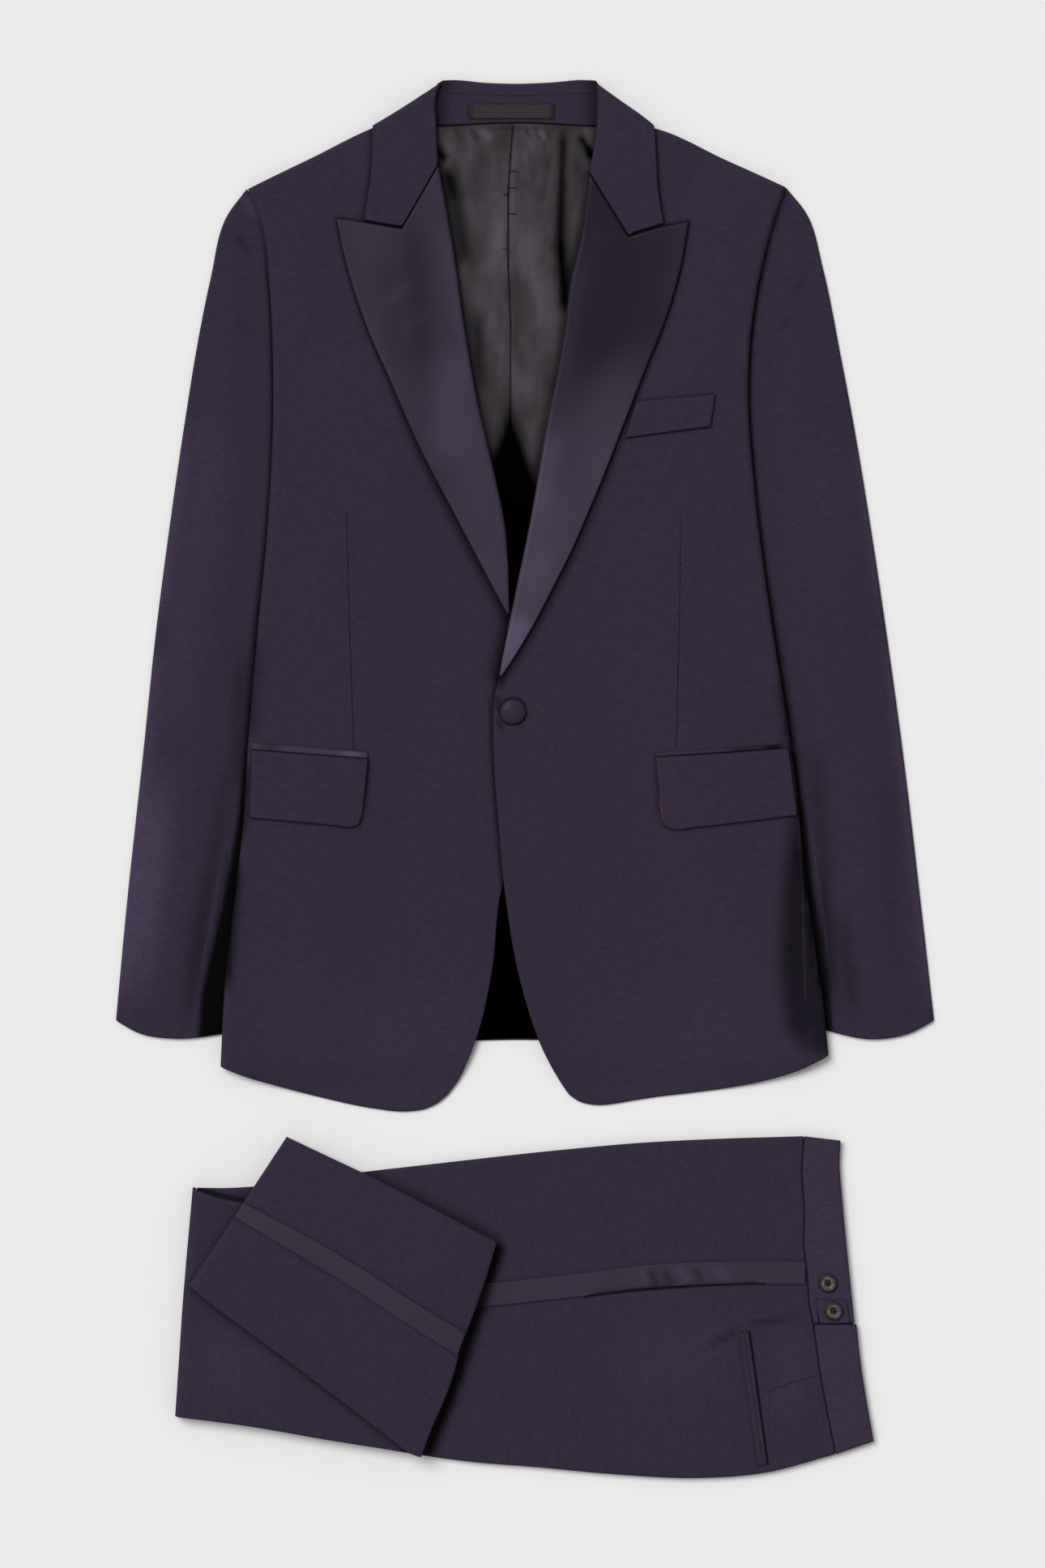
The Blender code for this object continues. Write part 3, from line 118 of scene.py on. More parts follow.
LEAF_INNER_LEFT = [(57, 555), (57.6, 544), (57, 517), (51.3, 481.5)]
FRONT_EDGE_RIGHT = [
    (-14, 147), (1.5, 108), (7.5, 52), (4, 0), (-6, -51), (-18.5, -90), (-26.5, -156.5), (-38, -205.5),
    (-44.8, -223.6), (-52.6, -240.2), (-61, -251.6)]
FRONT_EDGE_LEFT = [
    (-20.5, 82), (-24.8, 62), (-25.3, 35), (-24.6, 10), (-23, -15), (-20.4, -46), (-17.5, -78), (-13.6, -109),
    (-8.5, -140), (2.5, -184), (11.4, -209.5), (21, -229.9), (28.7, -243), (35, -252)]
HEM_RIGHT = [
    (-242.5, -230), (-224, -237.5), (-206, -243), (-160, -255), (-121.5, -263), (-95, -265.6),
    (-79.7, -263.6), (-69, -258.6), (-61, -251.6)]
HEM_LEFT = [
    (35, -252), (42.3, -257.2), (51, -259.8), (60, -260.5), (71, -259.4), (85, -257), (108, -253.5),
    (130.5, -251), (195, -240.2), (218, -233), (242, -221)]
LAPEL_EDGE_RIGHT = [
    (-150, 445.3), (-143.5, 415), (-127, 362), (-106.5, 315), (-82.6, 261.2), (-60, 217.8), (-40.2, 180),
    (-14, 130.5)]
LAPEL_EDGE_LEFT = [
    (130.5, 443), (123.8, 405.3), (111, 362.5), (97.2, 328.3), (82.3, 290.8), (60.8, 236), (49.2, 208.5),
    (37.6, 181.7), (23.4, 153.5), (9, 125.7), (-3, 105), (-18.5, 81)]
PEAK_RIGHT = [(-150, 445.3), (-128.5, 442.2), (-98, 437)]
PEAK_LEFT = [(82.5, 431), (112.5, 439.4), (130.5, 443)]
GORGE_RIGHT = [(-98, 437), (-68.5, 487.5)]
GORGE_LEFT = [(51, 481), (82.5, 431)]
LEAF_EDGE_RIGHT = [(-121.5, 519.5), (-122, 490), (-128.3, 444)]
LEAF_EDGE_LEFT = [(103.3, 519.3), (104.9, 490), (106.5, 466), (110.6, 441.5)]
LEAF_SHOULDER_RIGHT = [(-121.5, 519.5), (-108.4, 527.2), (-82.3, 543.8), (-66.5, 554.5)]
LEAF_SHOULDER_LEFT = [(57, 553.5), (72.2, 542.3), (98, 523.8), (103.3, 519.3)]
STAND_ROLL = [
    (-66.8, 556.2), (-56.8, 556.6), (-31, 554.4), (-4.5, 553.7), (20.6, 554.7), (46.4, 556.7), (57.3, 556.2)]
STAND_SEAM = [(-77, 519), (-5, 522), (63.5, 519)]
STAND_END_RIGHT = [(-66.8, 556.2), (-74, 545), (-77, 519)]
STAND_END_LEFT = [(57.3, 556.2), (61.5, 545), (63.5, 519)]
BACK_HEM = [(-238, -223), (-160, -216), (-9, -208.6), (130, -213), (238, -216)]

SLEEVE_EDGE_RIGHT = [
    (-222, 470), (-237.8, 448.4), (-250.8, 398.5), (-262, 342.5), (-270.5, 290), (-283.6, 200.3),
    (-294.5, 116), (-304.6, 20), (-317.9, -103), (-326.3, -193)]
SLEEVE_EDGE_LEFT = [
    (208, 471.5), (224.5, 450.8), (237.9, 406), (251.3, 340), (261.9, 284), (275.8, 200.3), (288.4, 116),
    (301.6, 19.7), (316.5, -106), (326.4, -193)]
HEAD_RIGHT = [(-222, 470), (-203, 445), (-193, 390), (-186, 335), (-160, 300), (-118, 288)]
HEAD_LEFT = [(112, 288), (146, 300), (166, 335), (176, 390), (188, 445), (208, 471.5)]
TUCKED_RIGHT = [(-118, 288), (-140, 116), (-160, -30), (-191.5, -190)]
TUCKED_LEFT = [(112, 288), (134, 116), (157, -30), (191.5, -186.5)]
CUFF_RIGHT = [(-326.3, -193), (-308, -203), (-278.5, -207.5), (-241, -203.5), (-191.5, -190)]
CUFF_LEFT = [(191.5, -186.5), (240.5, -201), (278, -208), (306, -203.5), (326.4, -193)]

FLAP_TOP_RIGHT = [(-217.5, 22.5), (-124.5, 15.5)]
FLAP_FRONT_RIGHT = [(-124.5, 15.5), (-127.8, -16), (-129.6, -30), (-132, -36.8)]
FLAP_FOOT_RIGHT = [(-219, -31.4), (-181.4, -34.8), (-148, -38), (-138, -39.2), (-132, -36.8)]
FLAP_TOP_LEFT = [(103.5, 17), (156, 19.8), (209.5, 24)]
FLAP_FRONT_LEFT = [(103.5, 17), (106.8, -15), (108.2, -30), (110.6, -37.6)]
FLAP_FOOT_LEFT = [(110.6, -37.6), (116, -40.3), (136, -39), (170, -35.2), (216.5, -29.2)]
# Small pieces: four corners each, the top edge first, in order round the piece.
JET_RIGHT = [(-217.5, 28.5), (-125, 20.8), (-124.8, 15.9), (-217.5, 23)]
JET_LEFT = [(104.6, 20.4), (209.4, 27.8), (209.4, 24.2), (104.2, 17.2)]
WELT = [(88.5, 299.5), (151.5, 305.5), (147.5, 279.5), (79.5, 270.5)]
LABEL = [(-44.5, 536.5), (23, 536.5), (23, 525.5), (-44.5, 525.5)]
FRONT_BUTTON = Spot(-9.5, 53)

# ---------------- trouser edges: x, y
LEG_FRONT_EDGE = [
    (-264.5, -326), (-239, -326.3), (-213.5, -325), (-128.5, -313.5), (-80.5, -308), (33.5, -295.5),
    (92, -290.3), (149.5, -287.3), (222, -285)]
LEG_BACK_EDGE = [
    (-278.5, -507.5), (-222.5, -514.7), (-156.5, -526), (-80.5, -539.4), (-43, -544.4), (7.5, -548.5),
    (72, -554.4), (140, -557.3), (190, -553.3), (247.4, -538.3)]
SIDE_SEAM = [
    (-270.5, -417), (-130, -420), (-28.5, -411), (44.5, -403), (97, -396.5), (160, -393.5), (224.5, -393.5)]
WAIST_SEAM_FRONT = [(222, -285), (220.5, -314), (222.5, -346), (222, -370), (224.5, -393.5)]
WAIST_SEAM_BACK = [(224.5, -393.5), (226.5, -418), (230.5, -441), (234.5, -470), (247.4, -538.3)]
WAIST_EDGE_FRONT = [(251.5, -288.5), (250.7, -305), (252.6, -333), (256.7, -376.5), (262.6, -434)]
WAIST_EDGE_BACK = [(264.2, -434.6), (266.8, -460), (271.8, -493.5), (277.9, -528)]
KNEE_FOLD = [(-264.5, -326), (-269.7, -384), (-272.8, -422), (-275.3, -460), (-278.5, -507.5)]
TURN_FRONT_EDGE = [(-264.5, -326), (-244, -333.6), (-222.5, -337.5), (-56, -378)]
TURN_BACK_EDGE = [(-278.5, -507.5), (-222.5, -514.7), (-156.5, -526), (-97, -535.4)]
END_FRONT_EDGE = [(-189.5, -285), (-105, -325), (-22, -368)]
END_HEM = [
    (-22, -368), (-28.5, -389.7), (-35.5, -410.9), (-43, -431.5), (-50.5, -449.5), (-56.5, -473.5),
    (-64.7, -495.3), (-74.1, -516.6), (-82.4, -538.7)]
END_STRIPE_UPPER = [(-222.7, -336), (-179, -358.7), (-136.3, -383.3), (-92.5, -411.5), (-46.8, -439.5)]
END_STRIPE_LOWER = [(-230.3, -347.6), (-188.5, -372.7), (-146, -398), (-102.4, -426.5), (-53.6, -458)]
END_SEAM = [(-226.8, -341.8), (-183.8, -365.7), (-141.2, -390.7), (-97.5, -419), (-50.5, -449.5)]
END_BACK_EDGE = [
    (-266.5, -402), (-250, -416), (-234.5, -427.6), (-170, -475.2), (-105, -524.8), (-91.5, -535.5),
    (-82.4, -538.7)]
STRIPE_HALF = 9.4
BACK_JET = [(169.4, -440.6), (178.4, -439.6), (193.2, -546.2), (184.9, -547.8)]
TAB = [(231, -415), (256, -414.5), (259, -433.4), (235, -434)]
WAIST_BUTTON = Spot(241, -401.5)
TAB_BUTTON = Spot(245.5, -423.5)

# ---------------- folds: x0, y0, x1, y1, height, width
SLEEVE_FOLDS = [
    (-233, 431, -216, 418, -0.9, 7), (221, 408, 205, 386, -0.9, 7), (-271, -90, -276, -160, 0.8, 14),
    (262, 20, 276, -150, 0.8, 14)]
FRONT_FOLDS = [(218, -100, 226, -206, -0.8, 8), (-150, 250, -160, 90, 0.6, 26), (140, 250, 146, 90, 0.6, 26)]
LEG_FOLDS = [(149, -452, 196, -430, 0.7, 10), (30, -470, 130, -500, 0.5, 30)]

# Creases: the same, and the length over which they end.
FRONT_CREASES = [
    (-141.8, 214, -136, 20, -0.3, 1.6, 22), (124, 208, 120.5, 22, -0.3, 1.6, 22),
    (208, -40, 211, -186, -1.1, 6, 40), (224, -170, 229, -224, 0.8, 3, 20),
    (217.6, -34, 222, -170, 0.6, 1.8, 24), (225, -58, 231, -150, 0.5, 1.8, 24),
    (-60, 40, -40, -160, 0.35, 22, 60), (60, 60, 52, -150, 0.35, 24, 60)]
SLEEVE_CREASES = [
    (-232, 434, -218, 418, -0.8, 2.6, 6), (-236, 362, -213, 354, -0.4, 5, 10),
    (226, 408, 206, 386, -0.7, 3.6, 9), (229, 398, 204, 364, -0.45, 4, 12),
    (-228, 50, -238.6, -50, 0.7, 2.6, 24), (-238.6, -50, -252, -138, 1.1, 2.8, 24),
    (-252, -138, -264.5, -212, 1.2, 2.8, 24), (-232, -40, -243, -130, -0.6, 3.6, 20),
    (-243, -130, -250, -212, -0.7, 6, 20), (222, 10, 231, -80, 0.6, 2.6, 24),
    (231, -80, 249, -206, 1, 2.8, 24), (229, -90, 240, -206, -0.6, 3.2, 20)]
LEG_CREASES = [
    (190, -489.4, 212, -481, -0.25, 1.5, 8), (212, -481, 232, -475.7, -0.25, 1.5, 8),
    (46.5, -412.5, 124, -404.8, -0.5, 1.8, 12), (124, -404.8, 190, -401.4, -0.5, 1.8, 12),
    (148, -452, 178, -434, -0.5, 3, 14), (172, -436, 208, -428, 0.4, 3, 14)]
STRIPE_RIPPLES = [
    (92, -392, 101, -408, 0.35, 4, 4), (104, -392, 116, -408, -0.35, 3.5, 4),
    (117, -390, 128, -406, 0.45, 4.5, 4), (131, -388, 138, -404, -0.35, 3.5, 4),
    (146, -388, 158, -404, 0.4, 4.5, 4)]
LINING_CREASES = [
    (-9.5, 521, -13.3, 466, -0.7, 1.5, 4), (-13.3, 468, -13.3, 409, -0.7, 1.5, 4),
    (-13.3, 411, -11.6, 285, -0.7, 1.5, 6), (-7, 521, -10, 409, 0.5, 2.4, 6),
    (-62, 520, -64, 470, -0.6, 3, 10), (-54, 521, -58, 486, 0.8, 3, 8), (-46, 521, -45, 494, -0.6, 2.4, 6),
    (-40, 521, -43, 440, 0.7, 4.5, 12), (-31, 521, -33, 500, -0.6, 2.2, 6), (-24, 521, -23, 480, 0.6, 3, 8),
    (0, 521, -2, 488, -0.6, 2.4, 6), (7, 521, 5, 430, 0.8, 4.5, 12), (15, 521, 17, 497, -0.6, 2.2, 6),
    (21, 521, 20, 505, 0.5, 2, 5), (27, 521, 24, 470, 0.7, 3.4, 9), (35, 520, 34, 490, -0.6, 2.6, 7),
    (42, 520, 38, 450, 0.7, 4, 12), (49, 519, 47, 480, -0.7, 3, 9), (-12.5, 482, -21, 488, 0.5, 1.8, 3),
    (-12.5, 482, -5, 489, 0.5, 1.8, 3), (-12.5, 470, -20, 475, 0.5, 1.8, 3),
    (-12.5, 470, -6, 476, 0.5, 1.8, 3), (-12.5, 450, -20, 456, 0.5, 1.8, 3),
    (-12.5, 450, -6, 455, 0.5, 1.8, 3), (-12.5, 423, -19, 428, 0.5, 1.8, 3),
    (-12.5, 423, -6, 429, 0.5, 1.8, 3)]


# ---------------- plan curves and patches
def rounded(spots, step=4.0):
    """Points about `step` apart on a smooth curve through the spots of one edge."""
    p = np.array(spots, float)
    knots = np.concatenate([[0], np.cumsum(np.hypot(*np.diff(p, axis=0).T))])
    slope = np.gradient(p, knots, axis=0)
    out = []
    for k in range(len(p) - 1):
        span = knots[k + 1] - knots[k]
        t = np.linspace(0, 1, max(2, int(span / step)), endpoint=False)[:, None]
        out.append((2 * t**3 - 3 * t**2 + 1) * p[k] + (t**3 - 2 * t**2 + t) * span * slope[k]
                   + (3 * t**2 - 2 * t**3) * p[k + 1] + (t**3 - t**2) * span * slope[k + 1])
    return np.vstack(out + [p[-1:]])


def joined(*lines):
    """One line through several, with a corner where they meet."""
    return np.vstack([lines[0]] + [line[1:] for line in lines[1:]])


def run(*edges):
    return joined(*[rounded(spots) for spots in edges])


def along(line, t):
    """Points at the fractions t of a line's length."""
    far = np.concatenate([[0.0], np.cumsum(np.hypot(*np.diff(line, axis=0).T))])
    return np.stack([np.interp(t * far[-1], far, line[:, k]) for k in (0, 1)], axis=-1)


def part_of(line, start, end):
    """The stretch of a line between two fractions of its length."""
    return along(line, np.linspace(start, end, max(2, len(line))))


def beside(line, distance):
    """The line moved sideways, to the left of the way it runs."""
    way = np.gradient(line, axis=0)
    way /= np.hypot(*way.T)[:, None]
    return line + distance * np.stack([-way[:, 1], way[:, 0]], axis=1)


STRAIGHT = np.zeros((0, 2))


class Patch:
    """A piece of cloth in plan, spread between four lines: u runs across, v runs down."""

    def __init__(self, top, bottom, left=None, right=None):
        self.top, self.bottom = top, bottom
        self.left = np.vstack([top[:1], STRAIGHT if left is None else left[1:-1], bottom[:1]])
        self.right = np.vstack([top[-1:], STRAIGHT if right is None else right[1:-1], bottom[-1:]])

    def __call__(self, u, v):
        a, b = u[..., None], v[..., None]
        across = (1 - a) * along(self.left, v) + a * along(self.right, v)
        down = (1 - b) * along(self.top, u) + b * along(self.bottom, u)
        corners = ((1 - a) * (1 - b) * self.top[0] + a * (1 - b) * self.top[-1]
                   + (1 - a) * b * self.bottom[0] + a * b * self.bottom[-1])
        return across + down - corners

    def outline(self):
        return joined(self.left, self.bottom, self.right[::-1], self.top[::-1])[:-1]


def four_sided(spots):
    """A patch between four straight sides, from its corners in order round it."""
    a, b, c, d = spots
    return Patch(rounded([a, b]), rounded([d, c]), rounded([a, d]), rounded([b, c]))


def share_at(line, place):
    """How far along a line its point number `place` comes, as a share of its length."""
    far = np.cumsum(np.hypot(*np.diff(line, axis=0).T))
    return far[place - 1] / far[-1]


def line_between(a, b):
    return rounded([a, b])


# ---------------- what lies on what
def outside(outline, x, y):
    """How far plan points lie outside a closed outline; negative inside it."""
    p = np.stack([np.ravel(x), np.ravel(y)], axis=1)
    blocks = np.array_split(p, len(p) // 3000 + 1)
    return np.concatenate([block_outside(outline, block) for block in blocks]).reshape(np.shape(x))


def block_outside(outline, p):
    side = np.roll(outline, -1, axis=0) - outline
    rel = p[:, None, :] - outline[None]
    t = np.clip((rel * side).sum(-1) / np.maximum((side * side).sum(-1), 1e-9), 0, 1)
    near = np.hypot(*np.moveaxis(rel - t[..., None] * side, -1, 0)).min(axis=1)
    crosses = (outline[:, 1] > p[:, 1:]) != (outline[:, 1] + side[:, 1] > p[:, 1:])
    rise = np.where(np.abs(side[:, 1]) < 1e-9, 1e-9, side[:, 1])
    at = outline[:, 0] + rel[..., 1] / rise * side[:, 0]
    inside = (crosses & (p[:, :1] < at)).sum(axis=1) % 2 == 1
    return np.where(inside, -near, near)


def smooth(t):
    t = np.clip(t, 0, 1)
    return t * t * (3 - 2 * t)


def over(patch, x, y, margin, slope):
    """1 over a patch and its margin, easing to 0 across a slope beside it."""
    return 1 - smooth((outside(patch.outline(), x, y) - margin) / slope)


FOLD_EASE = 2.5          # how soon a soft fold rises from its two ends


def along_and_across(row, x, y):
    """How far plan points lie along a row's line and beside it, and the line's length."""
    x0, y0, x1, y1 = row[:4]
    run_x, run_y = x1 - x0, y1 - y0
    span = math.hypot(run_x, run_y)
    return (((x - x0) * run_x + (y - y0) * run_y) / span, ((x - x0) * run_y - (y - y0) * run_x) / span, span)


def folds(table, x, y):
    """Height of soft ridges and troughs, from rows of x0, y0, x1, y1, height and width."""
    total = np.zeros(np.shape(x))
    for row in table:
        far, off, span = along_and_across(row, x, y)
        height, width = row[4:]
        t = far / span
        total += height * np.exp(-(off / width)**2) * smooth(FOLD_EASE * t) * smooth(FOLD_EASE * (1 - t))
    return total


def creases(table, x, y):
    """Height of narrow ridges and troughs, from such rows with the length over which they end."""
    total = np.zeros(np.shape(x))
    for row in table:
        far, off, span = along_and_across(row, x, y)
        height, width, fade = row[4:]
        total += height * np.exp(-(off / width)**2) * smooth(far / fade) * smooth((span - far) / fade)
    return total


def level(height):
    """A flat surface."""
    return lambda x, y: np.full(np.shape(x), height)


def raised(base, amount):
    """A surface that lies `amount` above another one."""
    return lambda x, y: base(x, y) + amount


# ---------------- the patches of the jacket
FACING_INSET = SATIN + 1.3        # front edge inside the rolled lapel and collar
BODY_WRAP = FRONT + 1.0           # back panels inside the rolled side of the fronts
SLEEVE_WRAP = CLOTH + 1.1         # under sleeve inside the rolled top sleeve
CENTRE_BACK = 0.49                # share of the neck seam on the right half
CENTRE_HEM = 0.481                # share of the back hem on the right half

FRONT_RIGHT = Patch(
    run(SHOULDER_RIGHT), run(HEM_RIGHT), run(SIDE_RIGHT),
    joined(line_between((-77.8, 538.9), (-76.8, 517.0)),
           beside(run(LEAF_INNER_RIGHT[2:], ROLL_RIGHT), -FACING_INSET), run(FRONT_EDGE_RIGHT)))
FRONT_LEFT = Patch(
    run(SHOULDER_LEFT), run(HEM_LEFT),
    joined(line_between((63.0, 539.4), (62.4, 517.0)),
           part_of(beside(run(LEAF_INNER_LEFT[2:], ROLL_LEFT), FACING_INSET), 0, 0.96),
           run(FRONT_EDGE_LEFT)),
    run(SIDE_LEFT))
SLEEVE_RIGHT = Patch(run(HEAD_RIGHT), run(CUFF_RIGHT), run(SLEEVE_EDGE_RIGHT), run(TUCKED_RIGHT))
SLEEVE_LEFT = Patch(run(HEAD_LEFT), run(CUFF_LEFT), run(TUCKED_LEFT), run(SLEEVE_EDGE_LEFT))
UNDER_SLEEVE_RIGHT = Patch(
    part_of(beside(run(HEAD_RIGHT), -0.5), 0.02, 0.97),
    part_of(beside(run(CUFF_RIGHT), 0.6), 0.02, 0.98),
    beside(run(SLEEVE_EDGE_RIGHT), SLEEVE_WRAP), beside(run(TUCKED_RIGHT), -SLEEVE_WRAP))
UNDER_SLEEVE_LEFT = Patch(
    part_of(beside(run(HEAD_LEFT), -0.5), 0.03, 0.98),
    part_of(beside(run(CUFF_LEFT), 0.6), 0.02, 0.98),
    beside(run(TUCKED_LEFT), SLEEVE_WRAP), beside(run(SLEEVE_EDGE_LEFT), -SLEEVE_WRAP))

NECK_SEAM = run(STAND_SEAM) - (0, SEAM)
BACK_SHOULDER_RIGHT = beside(part_of(run(SHOULDER_RIGHT), 0.04, 0.95), -BODY_WRAP - 0.9)
BACK_SHOULDER_LEFT = beside(part_of(run(SHOULDER_LEFT), 0.05, 0.96), -BODY_WRAP - 0.9)
NECK_RIGHT = part_of(NECK_SEAM, 0, CENTRE_BACK)
NECK_LEFT = part_of(NECK_SEAM, CENTRE_BACK, 1) + (SEAM, 0)
HEM_BACK_RIGHT = part_of(run(BACK_HEM), 0, CENTRE_HEM)
HEM_BACK_LEFT = part_of(run(BACK_HEM), CENTRE_HEM, 1) + (SEAM, 0)
BACK_RIGHT = Patch(
    np.vstack([BACK_SHOULDER_RIGHT, NECK_RIGHT]), HEM_BACK_RIGHT,
    part_of(beside(run(SIDE_RIGHT), BODY_WRAP), 0, 0.99),
    line_between(NECK_RIGHT[-1], HEM_BACK_RIGHT[-1]))
BACK_LEFT = Patch(
    np.vstack([NECK_LEFT, BACK_SHOULDER_LEFT]), HEM_BACK_LEFT,
    line_between(NECK_LEFT[0], HEM_BACK_LEFT[0]),
    part_of(beside(run(SIDE_LEFT), -BODY_WRAP), 0, 0.99))
COLLAR_FALL = Patch(
    np.vstack([[(-106, 513.5), (-84, 533)], beside(part_of(run(STAND_ROLL), 0.03, 0.97), -STAND - 1),
               [(78, 529), (92, 515.5)]]),
    run([(-106, 507.5), (-80, 497), (-4.5, 493), (70, 497), (92, 508.5)]))
LINING_PATCH = Patch(
    np.vstack([[(-82, 515)], NECK_SEAM - (0, SEAM), [(72, 515)]]),
    run([(-62, -210.5), (-9, -207), (44, -209)]),
    run([(-82, 515), (-64, 400), (-48, 250), (-42, 100), (-62, -210.5)]),
    run([(72, 515), (57, 400), (37, 250), (30, 100), (44, -209)]))
STAND_PATCH = Patch(run(STAND_ROLL), run(STAND_SEAM), run(STAND_END_RIGHT), run(STAND_END_LEFT))
LEAF_RIGHT = Patch(
    run(LEAF_SHOULDER_RIGHT),
    joined(line_between((-128.3, 444.0), (-98.3, 439.0)), run(GORGE_RIGHT) + (-0.5, 0.6)),
    run(LEAF_EDGE_RIGHT), run(LEAF_INNER_RIGHT))
LEAF_LEFT = Patch(
    run(LEAF_SHOULDER_LEFT),
    joined(run(GORGE_LEFT) + (0.5, 0.6), line_between((82.8, 433.2), (110.6, 441.5))),
    run(LEAF_INNER_LEFT), run(LEAF_EDGE_LEFT))
LAPEL_RIGHT = Patch(
    run(PEAK_RIGHT, GORGE_RIGHT), line_between((-14.0, 130.5), (-12.2, 131.5)),
    run(LAPEL_EDGE_RIGHT), run(LAPEL_ROLL_RIGHT))
LAPEL_LEFT = Patch(
    run(GORGE_LEFT, PEAK_LEFT), line_between((-20.5, 82.0), (-18.5, 81.0)),
    run(ROLL_LEFT), run(LAPEL_EDGE_LEFT))
OUTLINE_FRONT_RIGHT = FRONT_RIGHT.outline()
OUTLINE_FRONT_LEFT = FRONT_LEFT.outline()


# ---------------- heights of the jacket
def under_body(x, y):
    """What the back lies on: the surface, a tucked sleeve, or the collar fall."""
    sleeves = np.maximum(over(SLEEVE_RIGHT, x, y, 10, 62), over(SLEEVE_LEFT, x, y, 10, 62))
    return np.maximum(TUCK * sleeves, FALL * over(COLLAR_FALL, x, y, 12, 50))


def back_top(x, y):
    return under_body(x, y) + CLOTH


def front_under(x, y):
    """Underside of the fronts: on the back and its lining, and down to the surface past its hem."""
    lift = CLOTH + DRAPE + LINING + LIE
    back = np.maximum(over(BACK_RIGHT, x, y, 6, 34), over(BACK_LEFT, x, y, 6, 34))
    return under_body(x, y) + REST + (lift - REST) * back


def chest(outline, x, y):
    """Loft of the canvas, which eases off towards the edges of the front."""
    return CHEST_LOFT * smooth((-outside(outline, x, y) - 6) / 60) * smooth((y + 190) / 260)


def front_folds(x, y):
    return folds(FRONT_FOLDS, x, y) + creases(FRONT_CREASES, x, y)


def front_right_top(x, y):
    return front_under(x, y) + FRONT + chest(OUTLINE_FRONT_RIGHT, x, y) + front_folds(x, y)


def front_left_top(x, y):
    """The left front lies over the right one, and eases down beside it."""
    own = front_under(x, y) + FRONT + chest(OUTLINE_FRONT_LEFT, x, y) + front_folds(x, y)
    on_right = front_right_top(x, y) + REST + FRONT
    return own + np.maximum(on_right - own, 0) * over(FRONT_RIGHT, x, y, 8, 60)


def beyond_fronts(x, y):
    """How far plan points lie outside both fronts."""
    return np.minimum(outside(OUTLINE_FRONT_RIGHT, x, y), outside(OUTLINE_FRONT_LEFT, x, y))


def sleeve_top(outline):
    """Top of a sleeve: pressed flat under the body and at its edges, lofty between them."""
    def height(x, y):
        body = beyond_fronts(x, y)
        loft = smooth((body - 8) / 34) * smooth((-outside(outline, x, y) - 4) / 30)
        creased = folds(SLEEVE_FOLDS, x, y) + creases(SLEEVE_CREASES, x, y)
        return SLEEVE_LOW + SLEEVE_LOFT * loft + creased * smooth(body / 6)
    return height


lining_top = raised(back_top, DRAPE + LINING)


def gathered_lining(x, y):
    """The lining, gathered into the neck and pleated down its middle where it shows."""
    return lining_top(x, y) + creases(LINING_CREASES, x, y) * smooth((beyond_fronts(x, y) - 2) / 8)


stand_top = raised(under_body, STAND)
body_foot = raised(under_body, REST)
roll_foot = raised(lining_top, REST)
leaf_foot = raised(stand_top, LIE)
lap_foot = raised(front_left_top, -FRONT)


def on_front(front_top, up_to):
    """Keeps a rolled lapel above its front below `up_to`, where the two run together."""
    return lambda x, y: np.where(y < up_to, front_top(x, y) + LIE + 0.9 * SATIN, -1.0)


# ---------------- the trousers
LEG_START = 0.007        # the leg cloth starts this share in from the knee fold
SEAM_LINE = run(SIDE_SEAM)
FOLD_LINE = run(KNEE_FOLD)
LEG_FRONT = Patch(
    part_of(run(LEG_FRONT_EDGE), LEG_START, 1), part_of(SEAM_LINE, LEG_START, 1) + (0, SEAM),
    part_of(FOLD_LINE, 0, 0.5) + (3.6, 0), run(WAIST_SEAM_FRONT))
LEG_BACK = Patch(
    part_of(SEAM_LINE, LEG_START, 1), part_of(run(LEG_BACK_EDGE), LEG_START, 1),
    part_of(FOLD_LINE, 0.5, 1) + (3.6, 0), run(WAIST_SEAM_BACK))
WAIST_FRONT = Patch(
    line_between((222.4, -285.0), (251.5, -288.5)), line_between((230.6, -434.0), (262.6, -434.0)),
    joined(run(WAIST_SEAM_FRONT), part_of(run(WAIST_SEAM_BACK), 0, 0.28)) + (SEAM, 0),
    run(WAIST_EDGE_FRONT))
WAIST_BACK = Patch(
    line_between((230.6, -434.6), (264.2, -434.6)), line_between((247.8, -538.3), (277.9, -528.0)),
    part_of(run(WAIST_SEAM_BACK), 0.28, 1) + (SEAM, 0), run(WAIST_EDGE_BACK))
LEGS = Patch(
    run(LEG_FRONT_EDGE, [(222, -285), (251.5, -288.5)]),
    run(LEG_BACK_EDGE, [(247.4, -538.3), (277.9, -528)]), FOLD_LINE,
    joined(run(WAIST_EDGE_FRONT), line_between((262.6, -434), (264.2, -434.6)), run(WAIST_EDGE_BACK)))
TURN = Patch(
    run(TURN_FRONT_EDGE), run(TURN_BACK_EDGE), FOLD_LINE,
    line_between((-56.0, -378.0), (-97.0, -535.4)))
END_HEM_FRONT = run(END_HEM[:5])
END_HEM_BACK = run(END_HEM[4:])
END_FOLD = line_between((-189.5, -285.0), (-266.5, -402.0))
END_FRONT = Patch(
    run(END_FRONT_EDGE), run(END_SEAM) + (0, SEAM), part_of(END_FOLD, 0, 0.487), END_HEM_FRONT)
END_BACK = Patch(run(END_SEAM), run(END_BACK_EDGE), part_of(END_FOLD, 0.487, 1), END_HEM_BACK)
END = Patch(run(END_FRONT_EDGE), run(END_BACK_EDGE), END_FOLD, joined(END_HEM_FRONT, END_HEM_BACK))

